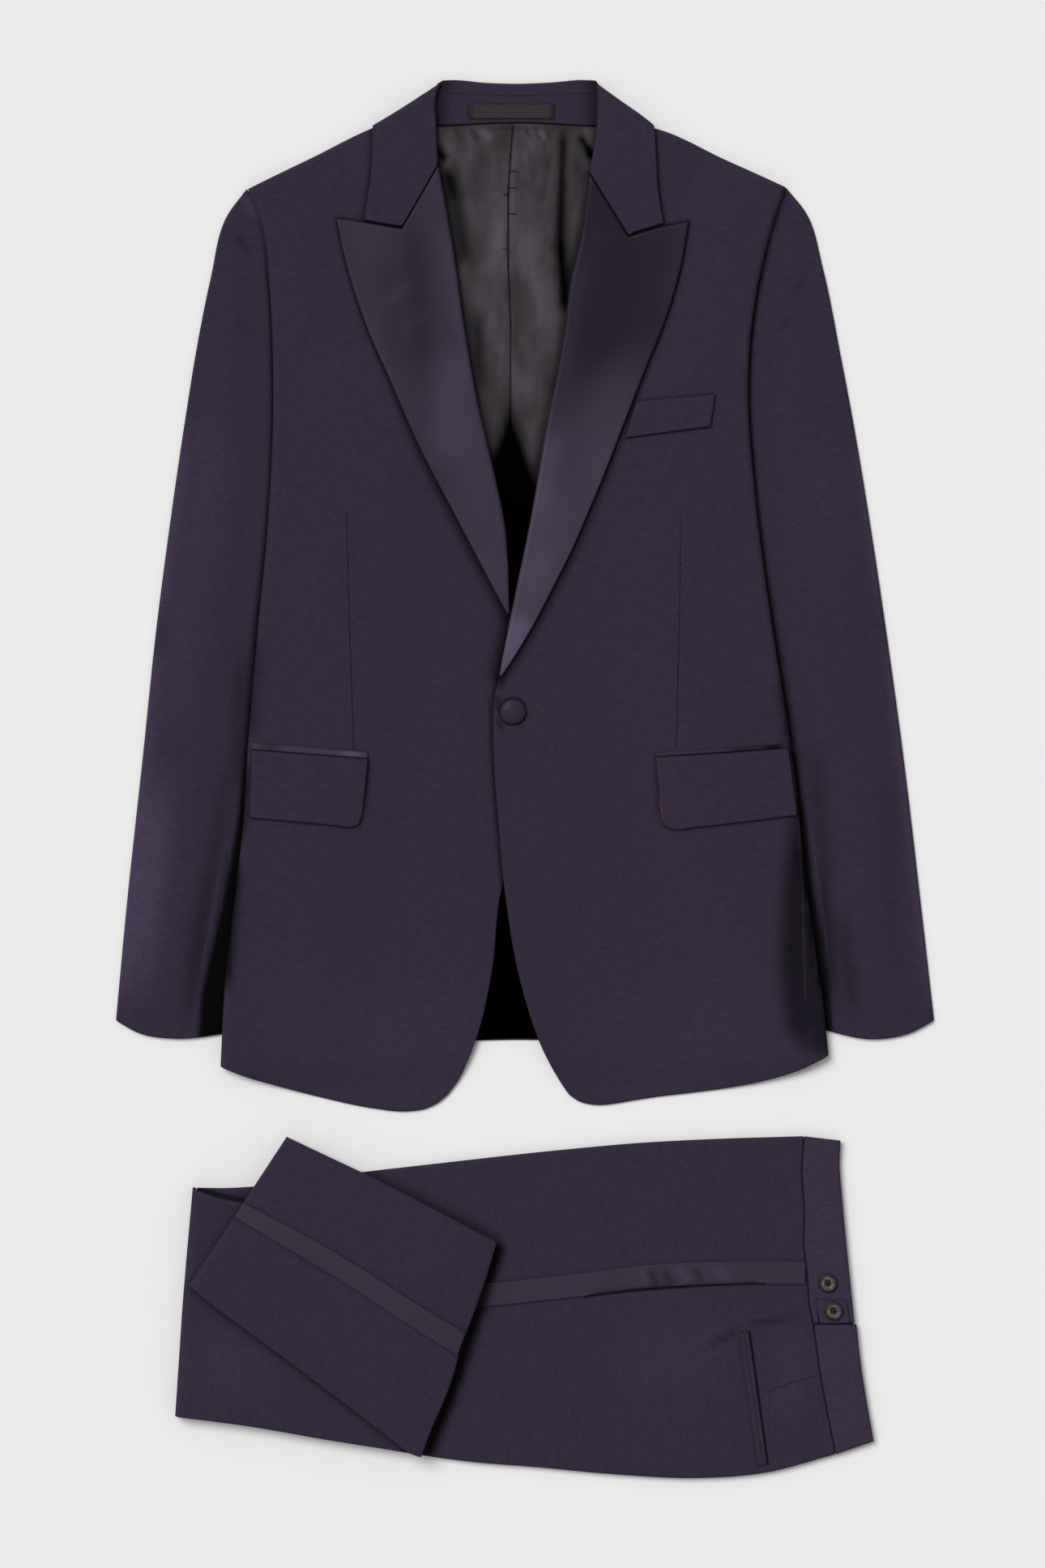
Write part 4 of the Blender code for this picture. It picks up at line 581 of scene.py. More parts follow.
# The hidden layers keep clear of the cloth that is folded round them.
LEGS_CORE = Patch(
    part_of(LEGS.top, 0.005, 1), part_of(LEGS.bottom, 0.005, 1), FOLD_LINE + (2.5, 0), LEGS.right - (1.5, 0))
TURN_CORE = Patch(
    part_of(TURN.top, 0.015, 1), part_of(TURN.bottom, 0.015, 1), FOLD_LINE + (3.3, 0), TURN.right)
END_CORE = Patch(
    part_of(END.top, 0.014, 1), part_of(END.bottom, 0.014, 1), beside(END_FOLD, 2.4), END.right)


def stripe(seam, half):
    """A strip of equal width on both sides of a seam."""
    return Patch(beside(seam, half), beside(seam, -half))


SIDE_STRIPE = stripe(part_of(SEAM_LINE, 0.41, 0.998), STRIPE_HALF)
END_STRIPE = Patch(run(END_STRIPE_UPPER), run(END_STRIPE_LOWER))


def leg_top(x, y):
    return LEG_TOP + folds(LEG_FOLDS, x, y) + creases(LEG_CREASES, x, y)


def rippled_stripe(x, y):
    return leg_top(x, y) + REST + TRIM + creases(STRIPE_RIPPLES, x, y)


def under_end(x, y):
    """What the leg ends lie on: the legs, the legs turned over, or the bare surface."""
    legs = (LEG_TOP + TRIM + REST) * over(LEGS, x, y, 10, 70)
    return np.maximum(legs, TURN_TOP * over(TURN, x, y, 10, 75)) + REST


def end_core_top(x, y):
    """Top of the hidden layers of the leg ends, thinner where only the hems are left."""
    past_fold = outside(TURN.outline(), x, y)
    return under_end(x, y) + END_LAYERS - (END_LAYERS - HEM_LAYERS) * smooth((past_fold + 25) / 45)


def end_skirt(x, y):
    """Where the cloth of the leg ends stops, over the edges of the layers inside."""
    return under_end(x, y) + 0.74 * (end_core_top(x, y) - under_end(x, y))


end_top = raised(end_core_top, LIE + CLOTH)

# ---------------- settings a user would change
class TuxedoCloth(bpy.types.PropertyGroup):
    """How finely the cloth is cut into faces."""
    panel_cell: bpy.props.FloatProperty(
        name="Panel cell", description="Size of the faces of a large panel",
        default=0.0034, min=0.002, max=0.03, unit="LENGTH")
    trim_cell: bpy.props.FloatProperty(
        name="Trim cell", description="Size of the faces of lapels, flaps and trims",
        default=0.0022, min=0.001, max=0.02, unit="LENGTH")
    hidden_cell: bpy.props.FloatProperty(
        name="Hidden cell", description="Size of the faces of layers that hardly show",
        default=0.009, min=0.003, max=0.04, unit="LENGTH")


class TuxedoFinish(bpy.types.PropertyGroup):
    """Colours and weave of the materials."""
    wool: bpy.props.FloatVectorProperty(
        name="Wool", description="Colour of the wool", subtype="COLOR", size=3,
        default=(0.0325, 0.0235, 0.0445), min=0.0, max=1.0)
    satin: bpy.props.FloatVectorProperty(
        name="Satin", description="Colour of the lapel facing and trims", subtype="COLOR", size=3,
        default=(0.0350, 0.0262, 0.0450), min=0.0, max=1.0)
    lining: bpy.props.FloatVectorProperty(
        name="Lining", description="Colour of the body lining", subtype="COLOR", size=3,
        default=(0.0540, 0.0470, 0.0545), min=0.0, max=1.0)
    label: bpy.props.FloatVectorProperty(
        name="Label", description="Ground colour of the neck label", subtype="COLOR", size=3,
        default=(0.0300, 0.0270, 0.0280), min=0.0, max=1.0)
    horn: bpy.props.FloatVectorProperty(
        name="Horn", description="Darkest colour of the trouser buttons", subtype="COLOR", size=3,
        default=(0.0120, 0.0100, 0.0090), min=0.0, max=1.0)
    thread: bpy.props.FloatVectorProperty(
        name="Buttonhole thread", description="Colour of the buttonhole silk", subtype="COLOR", size=3,
        default=(0.0360, 0.0230, 0.0310), min=0.0, max=1.0)
    weave: bpy.props.FloatProperty(
        name="Weave", description="Distance between two ribs of the twill",
        default=0.00085, min=0.0002, max=0.005, unit="LENGTH")


class TuxedoStitches(bpy.types.PropertyGroup):
    """Hand and machine stitches."""
    pitch: bpy.props.FloatProperty(
        name="Pitch", description="Distance from one stitch to the next",
        default=0.0026, min=0.0005, max=0.02, unit="LENGTH")
    length: bpy.props.FloatProperty(
        name="Length", description="Length of one running stitch",
        default=0.0019, min=0.0003, max=0.02, unit="LENGTH")
    thickness: bpy.props.FloatProperty(
        name="Thickness", description="Thickness of the thread",
        default=0.00042, min=0.0001, max=0.003, unit="LENGTH")


class TuxedoStage(bpy.types.PropertyGroup):
    """Floor, light and camera."""
    floor: bpy.props.FloatVectorProperty(
        name="Floor", description="Colour of the floor", subtype="COLOR", size=3,
        default=(0.83, 0.83, 0.83), min=0.0, max=1.0)
    sky: bpy.props.FloatProperty(
        name="Sky", description="Strength of the even light from all round",
        default=0.40, min=0.0, max=5.0)
    key: bpy.props.FloatProperty(
        name="Key light", description="Strength of the soft light from the upper left",
        default=2.31, min=0.0, max=20.0)
    softness: bpy.props.FloatProperty(
        name="Softness", description="How wide the light from the upper left is",
        default=math.radians(34.0), min=0.0, max=math.radians(90.0), subtype="ANGLE")
    lens: bpy.props.FloatProperty(
        name="Lens", description="Focal length of the camera",
        default=100.0, min=10.0, max=500.0, unit="CAMERA")
    framed: bpy.props.FloatProperty(
        name="Framed height", description="Length of the floor from the foot of the view to its head",
        default=1.248, min=0.1, max=10.0, unit="LENGTH")


SETTINGS = {"tuxedo_cloth": TuxedoCloth, "tuxedo_finish": TuxedoFinish,
            "tuxedo_stitches": TuxedoStitches, "tuxedo_stage": TuxedoStage}

SENSOR = 36.0            # width of the camera sensor, in millimetres

SHIFT = (np.array(CAD_BUTTON[0]) + np.array(CAD_BUTTON[1])) / 2 / MM - (FRONT_BUTTON.x, FRONT_BUTTON.y, 0)
SHIFT[2] = 0.0                 # where the pattern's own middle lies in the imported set


# ---------------- sheets of cloth
FREE = Roll(0.0, None)
RIM_SHARES = (0.0, 0.134, 0.5, 1.0)      # rows round a cut edge, as shares of half the thickness
TURN_DEGREES = (0, 15, 30, 45, 60, 75, 90)
SKIRT_SHARES = (0.75, 0.5)


def border_rows(roll, half):
    """Inset and drop of the rows near one border, from the border inwards."""
    if not roll.radius:
        return [(half * share, 0.0) for share in RIM_SHARES]
    turns = [math.radians(a) for a in TURN_DEGREES]
    if roll.foot is None:
        rim = [half * share / roll.radius for share in RIM_SHARES]
        turns = rim + [a for a in turns if a > rim[-1] + 0.1]
    return [(roll.radius * (1 - math.cos(a)), roll.radius * (1 - math.sin(a))) for a in turns]


def stations(sizes, near, far, shares):
    """Fractions across a piece, a row for each size, and how far each column drops."""
    fit = np.minimum(1.0, 0.8 * sizes / (near[-1][0] + far[-1][0]))
    first = near[-1][0] * fit / sizes
    last = 1 - far[-1][0] * fit / sizes
    columns = [inset * fit / sizes for inset, _ in near[:-1]]
    columns += [first + (last - first) * share for share in shares]
    columns += [1 - inset * fit / sizes for inset, _ in reversed(far[:-1])]
    drops = [drop for _, drop in near[:-1]] + [0.0] * len(shares)
    drops += [drop for _, drop in reversed(far[:-1])]
    return np.stack(columns, axis=1), np.array(drops)


def distance(a, b):
    return np.sqrt(((b - a) ** 2).sum(axis=-1))


def even_shares(size, cell, marks=()):
    """Even steps of about one cell, with the nearest ones moved to the marks."""
    shares = np.linspace(0, 1, max(2, round(size / cell) + 1))
    for mark in marks:
        shares[np.argmin(np.abs(shares - mark))] = mark
    return shares


def foot_height(roll, x, y):
    return roll.foot(x, y) if callable(roll.foot) else np.full(np.shape(x), float(roll.foot))


def skirt(rim, foot, half):
    """The rows of points below one rim, down to its foot."""
    depth = np.maximum(rim[:, 2] - foot, 0)
    end = np.minimum(half, 0.3 * depth)
    heights = [depth * s for s in SKIRT_SHARES] + [end * s for s in reversed(RIM_SHARES)]
    return [np.column_stack([rim[:, :2], rim[:, 2] - depth + height]) for height in heights]


def with_skirts(points, rolls, half):
    """The grid of points with the skirts of its rolled borders added round it."""
    rims = (points[:, 0], points[:, -1], points[0], points[-1])
    feet = [None if roll.foot is None else foot_height(roll, rim[:, 0], rim[:, 1])
            for roll, rim in zip(rolls, rims)]
    for a, row in ((2, 0), (3, -1)):
        for b, column in ((0, 0), (1, -1)):
            if feet[a] is not None and feet[b] is not None:
                feet[a][column] = feet[b][row] = min(feet[a][column], feet[b][row])
    falls = [[] if foot is None else skirt(rim, foot, half) for foot, rim in zip(feet, rims)]
    near, far = falls[0][::-1], falls[1]
    body = np.stack([*near, *np.moveaxis(points, 1, 0), *far], axis=1)
    for a, row in ((2, 0), (3, -1)):
        rows = []
        for fall in falls[a]:
            corners = [np.array([line[row] for line in lines]).reshape(-1, 3) for lines in (near, far)]
            for corner, end in zip(corners, (0, -1)):
                corner[:, 2] = np.minimum(corner[:, 2], fall[end, 2])
            rows.append(np.concatenate([corners[0], fall, corners[1]]))
        body = np.stack([*rows[::-1], *body] if a == 2 else [*body, *rows])
    return body


def spread(patch, height, rolls, cell, half, marks=(), floor=None):
    """Rows of points over a patch, with its rolled borders and their skirts."""
    left, right, top, bottom = [border_rows(roll, half) for roll in rolls]
    width, length = middle_size(patch)
    head = distance(patch.top[0], patch.top[-1])
    foot = distance(patch.bottom[0], patch.bottom[-1])
    head_width = max(head, 1.0)
    inset = [(mark * head_width - left[-1][0]) / max(head_width - left[-1][0] - right[-1][0], 1.0)
             for mark in marks]
    across = even_shares(max(width[0], head, foot), cell[0], inset)
    down = even_shares(length[0], cell[1])
    rows, drop_v = stations(length, top, bottom, down)
    columns, drop_u = stations(width, left, right, across)
    widths = np.maximum(distance(along(patch.left, rows[0]), along(patch.right, rows[0])), 1.0)
    lengths = np.maximum(distance(along(patch.top, columns[0]), along(patch.bottom, columns[0])), 1.0)
    u = stations(widths, left, right, across)[0]
    v = stations(lengths, top, bottom, down)[0].T
    x, y = np.moveaxis(patch(u, v), -1, 0)
    deepest = max(roll.radius for roll in rolls)
    z = height(x, y) - np.minimum(np.hypot(drop_u[None, :], drop_v[:, None]), deepest)
    points = with_skirts(np.stack([x, y, z], axis=-1), rolls, half)
    if floor:
        points[..., 2] = np.maximum(points[..., 2], floor(points[..., 0], points[..., 1]))
    return points


def middle_size(patch):
    """Width and length of a patch, through its middle."""
    half, none = np.array([0.5]), np.zeros(1)
    return (distance(patch(none, half), patch(none + 1, half)),
            distance(patch(half, none), patch(half, none + 1)))


def turned_to(grain, x, y):
    """Plan places in metres, turned so that the grain runs along them."""
    turn = math.radians(grain)
    return np.stack([x * math.cos(turn) + y * math.sin(turn), y * math.cos(turn) - x * math.sin(turn)], axis=-1)


def unrolled(points, grain):
    """Places of the points on the flat cloth, in metres, along its grain."""
    flat = points[..., :2].copy()
    for axis in (0, 1):
        for way in (1, -1):
            rows = np.moveaxis(flat, axis, 0)[::way]
            solid = np.moveaxis(points, axis, 0)[::way]
            steps = distance(solid[1:], solid[:-1])
            inner = min(12, len(rows) // 3)
            out = rows[inner] - rows[inner + 1]
            out /= np.maximum(distance(0, out), 1e-9)[..., None]
            for k in range(inner - 1, -1, -1):
                rows[k] = rows[k + 1] + out * steps[k][..., None]
    return turned_to(grain, flat[..., 0], flat[..., 1]) * MM


def from_border(points):
    """Distance of each point from the nearest border, over the cloth."""
    sides = []
    for axis in (0, 1):
        for way in (1, -1):
            rows = np.moveaxis(points, axis, 0)[::way]
            far = np.cumsum(distance(rows[1:], rows[:-1]), axis=0)
            sides.append(np.moveaxis(np.vstack([0 * far[:1], far])[::way], 0, axis))
    return np.minimum.reduce(sides)


def merged_grid(points):
    """Numbers of the grid's distinct points and its faces, without collapsed ones."""
    keys = np.round(points.reshape(-1, 3) / 0.01).astype(np.int64)
    _, first, number = np.unique(keys, axis=0, return_index=True, return_inverse=True)
    grid = number.reshape(points.shape[:2])
    quads = np.stack([grid[:-1, :-1], grid[1:, :-1], grid[1:, 1:], grid[:-1, 1:]], axis=-1).reshape(-1, 4)
    whole = np.ones(len(quads), bool)
    for a in range(4):
        for b in range(a):
            whole &= quads[:, a] != quads[:, b]
    faces = [tuple(q) for q in quads[whole].tolist()]
    for q in quads[~whole].tolist():
        kept = [q[k] for k in range(4) if q[k] != q[k - 1]]
        if len(kept) == 3 and len(set(kept)) == 3:
            faces.append(tuple(kept))
    return first, number, faces


def normals_of(points, faces):
    """Unit normals at the points, from the faces round them."""
    total = np.zeros_like(points)
    quads = np.array([f for f in faces if len(f) == 4])
    cross = np.cross(points[quads[:, 2]] - points[quads[:, 0]], points[quads[:, 3]] - points[quads[:, 1]])
    for k in range(4):
        np.add.at(total, quads[:, k], cross)
    for f in faces:
        if len(f) == 3:
            a, b, c = points[list(f)]
            total[list(f)] += np.cross(b - a, c - a)
    size = np.sqrt((total ** 2).sum(axis=1))
    total[size < 1e-9] = (0, 0, 1)
    return total / np.maximum(size, 1e-9)[:, None]


def put_value(mesh, name, values):
    """Keeps one number for each point of a mesh, for its material to read."""
    kept = mesh.attributes.new(name, "FLOAT", "POINT")
    kept.data.foreach_set("value", np.asarray(values, np.float32))


INNER_EDGE = 0.02        # border distance, in metres, that stands for no cut edge near by


def placed(name, mesh, mat):
    """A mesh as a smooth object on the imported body."""
    mesh.shade_smooth()
    mesh.materials.append(mat)
    obj = bpy.data.objects.new(name, mesh)
    bpy.context.collection.objects.link(obj)
    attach(obj, "root")
    return obj


def cloth_object(name, verts, faces, flat, edge, shade, mat):
    """An object from points in millimetres, with its place on the cloth, border distance and painted shade and
    highlight.
    """
    mesh = bpy.data.meshes.new(name)
    mesh.from_pydata(((verts + SHIFT) * MM).tolist(), [], faces)
    layer = mesh.uv_layers.new(name="grain")
    loops = np.zeros(len(mesh.loops), np.int32)
    mesh.loops.foreach_get("vertex_index", loops)
    layer.data.foreach_set("uv", flat[loops].astype(np.float32).ravel())
    put_value(mesh, "edge", edge)
    # The shade values are painted shade and highlights, which the materials multiply into their colour.
    put_value(mesh, "shade", shade)
    return placed(name, mesh, mat)


def shell(name, points, thickness, grain, mat, shade):
    """A closed wall of cloth under the grid of points, rounded at its borders."""
    half = thickness / 2
    first, number, faces = merged_grid(points)
    flat = unrolled(points, grain).reshape(-1, 2)[first]
    border = np.full(len(first), 1e9)
    np.minimum.at(border, number, from_border(points).reshape(-1))
    upper = points.reshape(-1, 3)[first]
    normal = normals_of(upper, faces)
    share = np.sqrt(1 - (1 - np.clip(border / half, 0, 1)) ** 2)[:, None]
    middle = upper - half * normal
    inner = border > 1e-6
    low_number = np.arange(len(upper))
    low_number[inner] = len(upper) + np.arange(inner.sum())
    verts = np.vstack([middle + half * share * normal, (middle - half * share * normal)[inner]])
    low_faces = [tuple(low_number[k] for k in reversed(f)) for f in faces if any(inner[k] for k in f)]
    # tone is the painted shade and highlight at each point, kept the same on the upper and lower faces.
    flat_both, border_both, tone = [
        np.concatenate([values, values[inner]]) for values in (flat, border, shade(upper[:, 0], upper[:, 1]))]
    obj = cloth_object(name, verts, faces + low_faces, flat_both, border_both * MM, tone, mat)
    return obj, smallest_cut(flat)


LEAST_SIDE = 0.0102      # of a cut, in metres


def smallest_cut(flat):
    """Sides of the smallest rectangle of cloth, at any turn, that a flat piece is cut from."""
    best = None
    for turn in range(0, 90, 2):
        sides = tuple(max(float(side), LEAST_SIDE) for side in np.ptp(turned_to(turn, *flat.T), axis=0))
        if best is None or sides[0] * sides[1] < best[0] * best[1]:
            best = sides
    return best


def surface_area(mesh):
    return float(sum(p.area for p in mesh.polygons))


def declare(obj, node, slot, cut, held, rests_on):
    """Hides the imported solid that a piece of cloth stands for. Its material slot and hold are not used."""
    area = min(surface_area(obj.data) / 2, cut[0] * cut[1])
    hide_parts(node)
    list(rests_on)


def cut_and_lay(node, patch, height, thickness, mat, cell, slot="wool", left=FREE, right=FREE, top=FREE,
                bottom=FREE, marks=(), floor=None, grain=0.0, held="laid", shade=level(1.0), rests_on=()):
    points = spread(patch, height, (left, right, top, bottom), cell, thickness / 2, marks, floor)
    obj, cut = shell("sewn_" + node, points, thickness, grain, mat, shade)
    declare(obj, node, slot, cut, held, rests_on)


def cells(size_name, across=1.0, down=1.0):
    """Face size of a kind of piece, across and down, in millimetres."""
    size = getattr(bpy.context.scene.tuxedo_cloth, size_name) / MM
    return (size * across, size * down)


# ---------------- layered edges of hidden cloth
def ring_of(rows, columns):
    """Grid places in order round the border, down the left side first."""
    left = [(i, 0) for i in range(rows - 1)]
    foot = [(rows - 1, j) for j in range(columns - 1)]
    right = [(i, columns - 1) for i in range(rows - 1, 0, -1)]
    head = [(0, j) for j in range(columns - 1, 0, -1)]
    return left + foot + right + head


# Rows round the edge of one layer: share of its height, and inset beyond its own.
LAYER_ROUND = ((1.0, 1.3), (0.9, 0.5), (0.7, 0.1), (0.5, 0.0), (0.3, 0.1), (0.1, 0.5), (0.0, 1.3))


def layer_rims(*spans):
    """Rims of stacked layers, from the top down: each span is (foot, head, inset)."""
    return [Rim(inset + extra, foot + (head - foot) * share)
            for foot, head, inset in spans for share, extra in LAYER_ROUND]


def layers(node, patch, under, upper, rims, cell, mat, grain=0.0):
    """The hidden folds of the legs as one body, with every layer's edge round its border."""
    width, length = middle_size(patch)
    flat = patch(*np.meshgrid(even_shares(width[0], cell), even_shares(length[0], cell)))
    rows, columns = flat.shape[:2]
    ring = ring_of(rows, columns)
    border = np.array([flat[place] for place in ring])
    way = np.roll(border, -1, axis=0) - border
    after = np.stack([-way[:, 1], way[:, 0]], axis=1) / np.hypot(*way.T)[:, None]
    before = np.roll(after, 1, axis=0)
    inward = (after + before) / (1 + (after * before).sum(axis=1))[:, None]
    verts, faces = [], []

    def sheet(rim, height):
        grid = flat.copy()
        for place, spot, normal in zip(ring, border, inward):
            grid[place] = spot + rim.inset * normal
        z = height(grid[..., 0], grid[..., 1])
        start = len(verts)
        verts.extend(np.concatenate([grid, z[..., None]], axis=-1).reshape(-1, 3).tolist())
        return (start + np.arange(rows * columns)).reshape(rows, columns)

    head, foot = sheet(rims[0], upper), sheet(rims[-1], under)
    loops = [[int(head[place]) for place in ring]]
    for rim in rims[1:-1]:
        plan = border + rim.inset * inward
        low, high = under(plan[:, 0], plan[:, 1]), upper(plan[:, 0], plan[:, 1])
        start = len(verts)
        verts.extend(np.column_stack([plan, low + rim.share * (high - low)]).tolist())
        loops.append(list(range(start, start + len(ring))))
    loops.append([int(foot[place]) for place in ring])
    for i in range(rows - 1):
        for j in range(columns - 1):
            faces.append((head[i, j], head[i + 1, j], head[i + 1, j + 1], head[i, j + 1]))
            faces.append((foot[i, j], foot[i, j + 1], foot[i + 1, j + 1], foot[i + 1, j]))
    for a, b in zip(loops, loops[1:]):
        faces += [(a[k - 1], b[k - 1], b[k], a[k]) for k in (*range(1, len(ring)), 0)]
    verts = np.array(verts)
    flat_uv = turned_to(grain, verts[:, 0] * MM, verts[:, 1] * MM)
    # The hidden layers carry a painted shade of 0.8 on their colour, where they show in the gaps under the
    # cloth over them.
    obj = cloth_object("folded_" + node, verts, [tuple(int(k) for k in f) for f in faces], flat_uv,
                       np.full(len(verts), INNER_EDGE), np.full(len(verts), 0.8), mat)
    declare(obj, node, "wool", smallest_cut(flat_uv), "folded", ["floor"])


# ---------------- node trees
class Wiring:
    """A node tree with short ways to add nodes and join them."""

    def __init__(self, tree):
        self.tree = tree

    def node(self, kind, values=(), **settings):
        made = self.tree.nodes.new(kind)
        for key, value in settings.items():
            setattr(made, key, value)
        for key, value in dict(values).items():
            self.put(made.inputs[key], value)
        return made

    def put(self, socket, value):
        if isinstance(value, bpy.types.NodeSocket):
            self.tree.links.new(value, socket)
        else:
            socket.default_value = value

    def math(self, operation, *values, clamp=False):
        return self.node("ShaderNodeMath", enumerate(values), operation=operation, use_clamp=clamp).outputs[0]

    def product(self, first, *others):
        for other in others:
            first = self.math("MULTIPLY", first, other)
        return first

    def varied(self, value, amount, base=1.0):
        """A base number, a little more or less by how far a value is from a half."""
        return self.math("MULTIPLY_ADD", self.math("SUBTRACT", value, 0.5), amount, base)

    def vector(self, operation, *values):
        made = self.node("ShaderNodeVectorMath", dict(enumerate(values)), operation=operation)
        return made.outputs["Value" if operation in ("DOT_PRODUCT", "DISTANCE") else "Vector"]

    def mix(self, share, a, b, blend="MIX"):
        return self.node("ShaderNodeMix", {0: share, 6: a, 7: b}, data_type="RGBA", blend_type=blend).outputs[2]

    def toned(self, colour, tone):
        """A colour made deeper or paler by a tone."""
        grey = self.node("ShaderNodeCombineColor", {0: tone, 1: tone, 2: tone}).outputs[0]
        return self.mix(1.0, (*colour, 1.0), grey, "MULTIPLY")

    def noise(self, place, scale, detail=2.0, roughness=0.5):
        return self.node("ShaderNodeTexNoise", {"Vector": place, "Scale": scale, "Detail": detail,
                                                "Roughness": roughness}).outputs["Fac"]

    def streaks(self, place, stretch, detail=2.0, roughness=0.5):
        """Noise that is drawn out along the cloth."""
        return self.noise(self.vector("MULTIPLY", place, stretch), 1.0, detail, roughness)

    def eased(self, value, low, high, at_low=0.0, at_high=1.0):
        values = enumerate((value, low, high, at_low, at_high))
        return self.node("ShaderNodeMapRange", values, interpolation_type="SMOOTHSTEP").outputs[0]

    def ribs(self, place, count):
        """Even ribs of height 0 to 1, at so many turns a metre."""
        return self.math("MULTIPLY_ADD", self.math("SINE", self.math("MULTIPLY", place, count)), 0.5, 0.5)

    def relief(self, height, strength, distance, **below):
        values = {"Height": height, "Strength": strength, "Distance": distance, **below}
        return self.node("ShaderNodeBump", values).outputs[0]


def shader_group(name, inputs, outputs):
    """An empty group of shader nodes with named sockets, and its wiring."""
    tree = bpy.data.node_groups.new(name, "ShaderNodeTree")
    for label, kind, default in inputs:
        made = tree.interface.new_socket(name=label, in_out="INPUT", socket_type=kind)
        if default is not None:
            made.default_value = default
    for label, kind in outputs:
        tree.interface.new_socket(name=label, in_out="OUTPUT", socket_type=kind)
    wiring = Wiring(tree)
    return wiring, wiring.node("NodeGroupInput"), wiring.node("NodeGroupOutput")


FLOAT, VECTOR = "NodeSocketFloat", "NodeSocketVector"


def twill_group():
    """Twill ribs with slubs along the weft: a height and a tone that varies about one."""
    if "twill and slubs" in bpy.data.node_groups:
        return bpy.data.node_groups["twill and slubs"]
    w, get, give = shader_group(
        "twill and slubs",
        [("Place", VECTOR, None), ("Rib", FLOAT, 0.0009), ("Slubs", FLOAT, 0.5), ("Cloudiness", FLOAT, 0.3)],
        [("Tone", FLOAT), ("Height", FLOAT)])
    place, rib, slubs, cloudiness = [get.outputs[k] for k in range(4)]
    part = w.node("ShaderNodeSeparateXYZ", {0: place}).outputs
    slant = w.math("ADD", part[0], w.product(part[1], 1.6))
    ribs = w.ribs(w.math("DIVIDE", slant, rib), 2 * math.pi)
    weft = w.ribs(w.math("DIVIDE", part[1], rib), 9.0)
    fine = w.streaks(place, (150, 1050, 1), 3.0, 0.65)
    long = w.streaks(place, (60, 420, 1))
    warp = w.streaks(place, (640, 110, 1))
    cloud = w.noise(place, 11.0)
    streak = w.math("ADD", w.product(w.math("SUBTRACT", fine, 0.5), 1.1),
                    w.math("ADD", w.product(w.math("SUBTRACT", long, 0.5), 0.45),
                           w.product(w.math("SUBTRACT", warp, 0.5), 0.5)))
    tone = w.varied(cloud, cloudiness, w.math("MULTIPLY_ADD", streak, slubs, 1.0))
    height = w.math("ADD", w.product(ribs, 0.6),
                    w.math("ADD", w.product(weft, 0.25), w.product(fine, 0.5)))
    w.put(give.inputs["Tone"], w.varied(ribs, 0.10, tone))
    w.put(give.inputs["Height"], height)
    return w.tree


def drawn_line_group():
    """A mask along one straight line: 1 up to its core, easing to 0 at its width."""
    if "drawn line" in bpy.data.node_groups:
        return bpy.data.node_groups["drawn line"]
    w, get, give = shader_group(
        "drawn line",
        [("Place", VECTOR, None), ("Start", VECTOR, None), ("End", VECTOR, None), ("Core", FLOAT, 0.0),
         ("Width", FLOAT, 0.001)],
        [("Mask", FLOAT)])
    place, start, end, core, width = [get.outputs[k] for k in range(5)]
    way = w.vector("SUBTRACT", end, start)
    rel = w.vector("SUBTRACT", w.vector("MULTIPLY", place, (1, 1, 0)), start)
    share = w.math("DIVIDE", w.vector("DOT_PRODUCT", rel, way), w.vector("DOT_PRODUCT", way, way), clamp=True)
    scaled = w.node("ShaderNodeVectorMath", {0: way, "Scale": share}, operation="SCALE").outputs[0]
    w.put(give.inputs["Mask"], w.eased(w.vector("DISTANCE", rel, scaled), core, width, 1.0, 0.0))
    return w.tree


def satin_group():
    """The fine floats of a satin weave and the soft clouds of its sheen, painted into its tone."""
    if "satin floats" in bpy.data.node_groups:
        return bpy.data.node_groups["satin floats"]
    w, get, give = shader_group(
        "satin floats", [("Place", VECTOR, None), ("Clouds", FLOAT, 0.3)], [("Tone", FLOAT), ("Height", FLOAT)])
    place, clouds = get.outputs[0], get.outputs[1]
    floats = w.streaks(place, (2400, 240, 1))
    tone = w.varied(w.streaks(place, (19, 11, 1), 2.0, 0.45), clouds)
    w.put(give.inputs["Tone"], w.varied(floats, 0.16, tone))
    w.put(give.inputs["Height"], floats)
    return w.tree


Mark = namedtuple("Mark", "x0 y0 x1 y1 width strength colour core", defaults=(0,))
DARK = (0.004, 0.003, 0.006)
BLACK = (0.0, 0.0, 0.0)
PALE_HORN_AND_HIGHLIGHT = (0.20, 0.185, 0.165, 1.0)


def start_material(name, roughness=0.5, specular=0.5):
    """A new material, its wiring and its shader."""
    mat = bpy.data.materials.new(name)
    mat.use_nodes = True
    shader = mat.node_tree.nodes["Principled BSDF"]
    shader.inputs["Roughness"].default_value = roughness
    shader.inputs["Specular IOR Level"].default_value = specular
    return mat, Wiring(mat.node_tree), shader.inputs


def local(x, y):
    """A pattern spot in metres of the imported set."""
    return ((x + SHIFT[0]) * MM, (y + SHIFT[1]) * MM, 0.0)


def on_grain(w):
    """Places on the flat cloth, along its grain."""
    return w.node("ShaderNodeUVMap", uv_map="grain").outputs[0]


def kept_at_points(w, name):
    """A number that a piece keeps at its points, by name: the painted shade and highlight on its colour, and
    the distance from its border.
    """
    return w.node("ShaderNodeAttribute", attribute_name=name).outputs["Fac"]


def marked(w, colour, marks):
    """A colour with lines drawn on it: seams and edges, and painted shade, shadows and highlights."""
    place = w.node("ShaderNodeTexCoord").outputs["Object"] if marks else None
    for mark in marks:
        line = w.node("ShaderNodeGroup", {
            "Place": place, "Start": local(mark.x0, mark.y0), "End": local(mark.x1, mark.y1),
            "Width": mark.width * MM, "Core": mark.core * MM}, node_tree=drawn_line_group())
        colour = w.mix(w.product(line.outputs[0], mark.strength), colour, (*mark.colour, 1.0))
    return colour


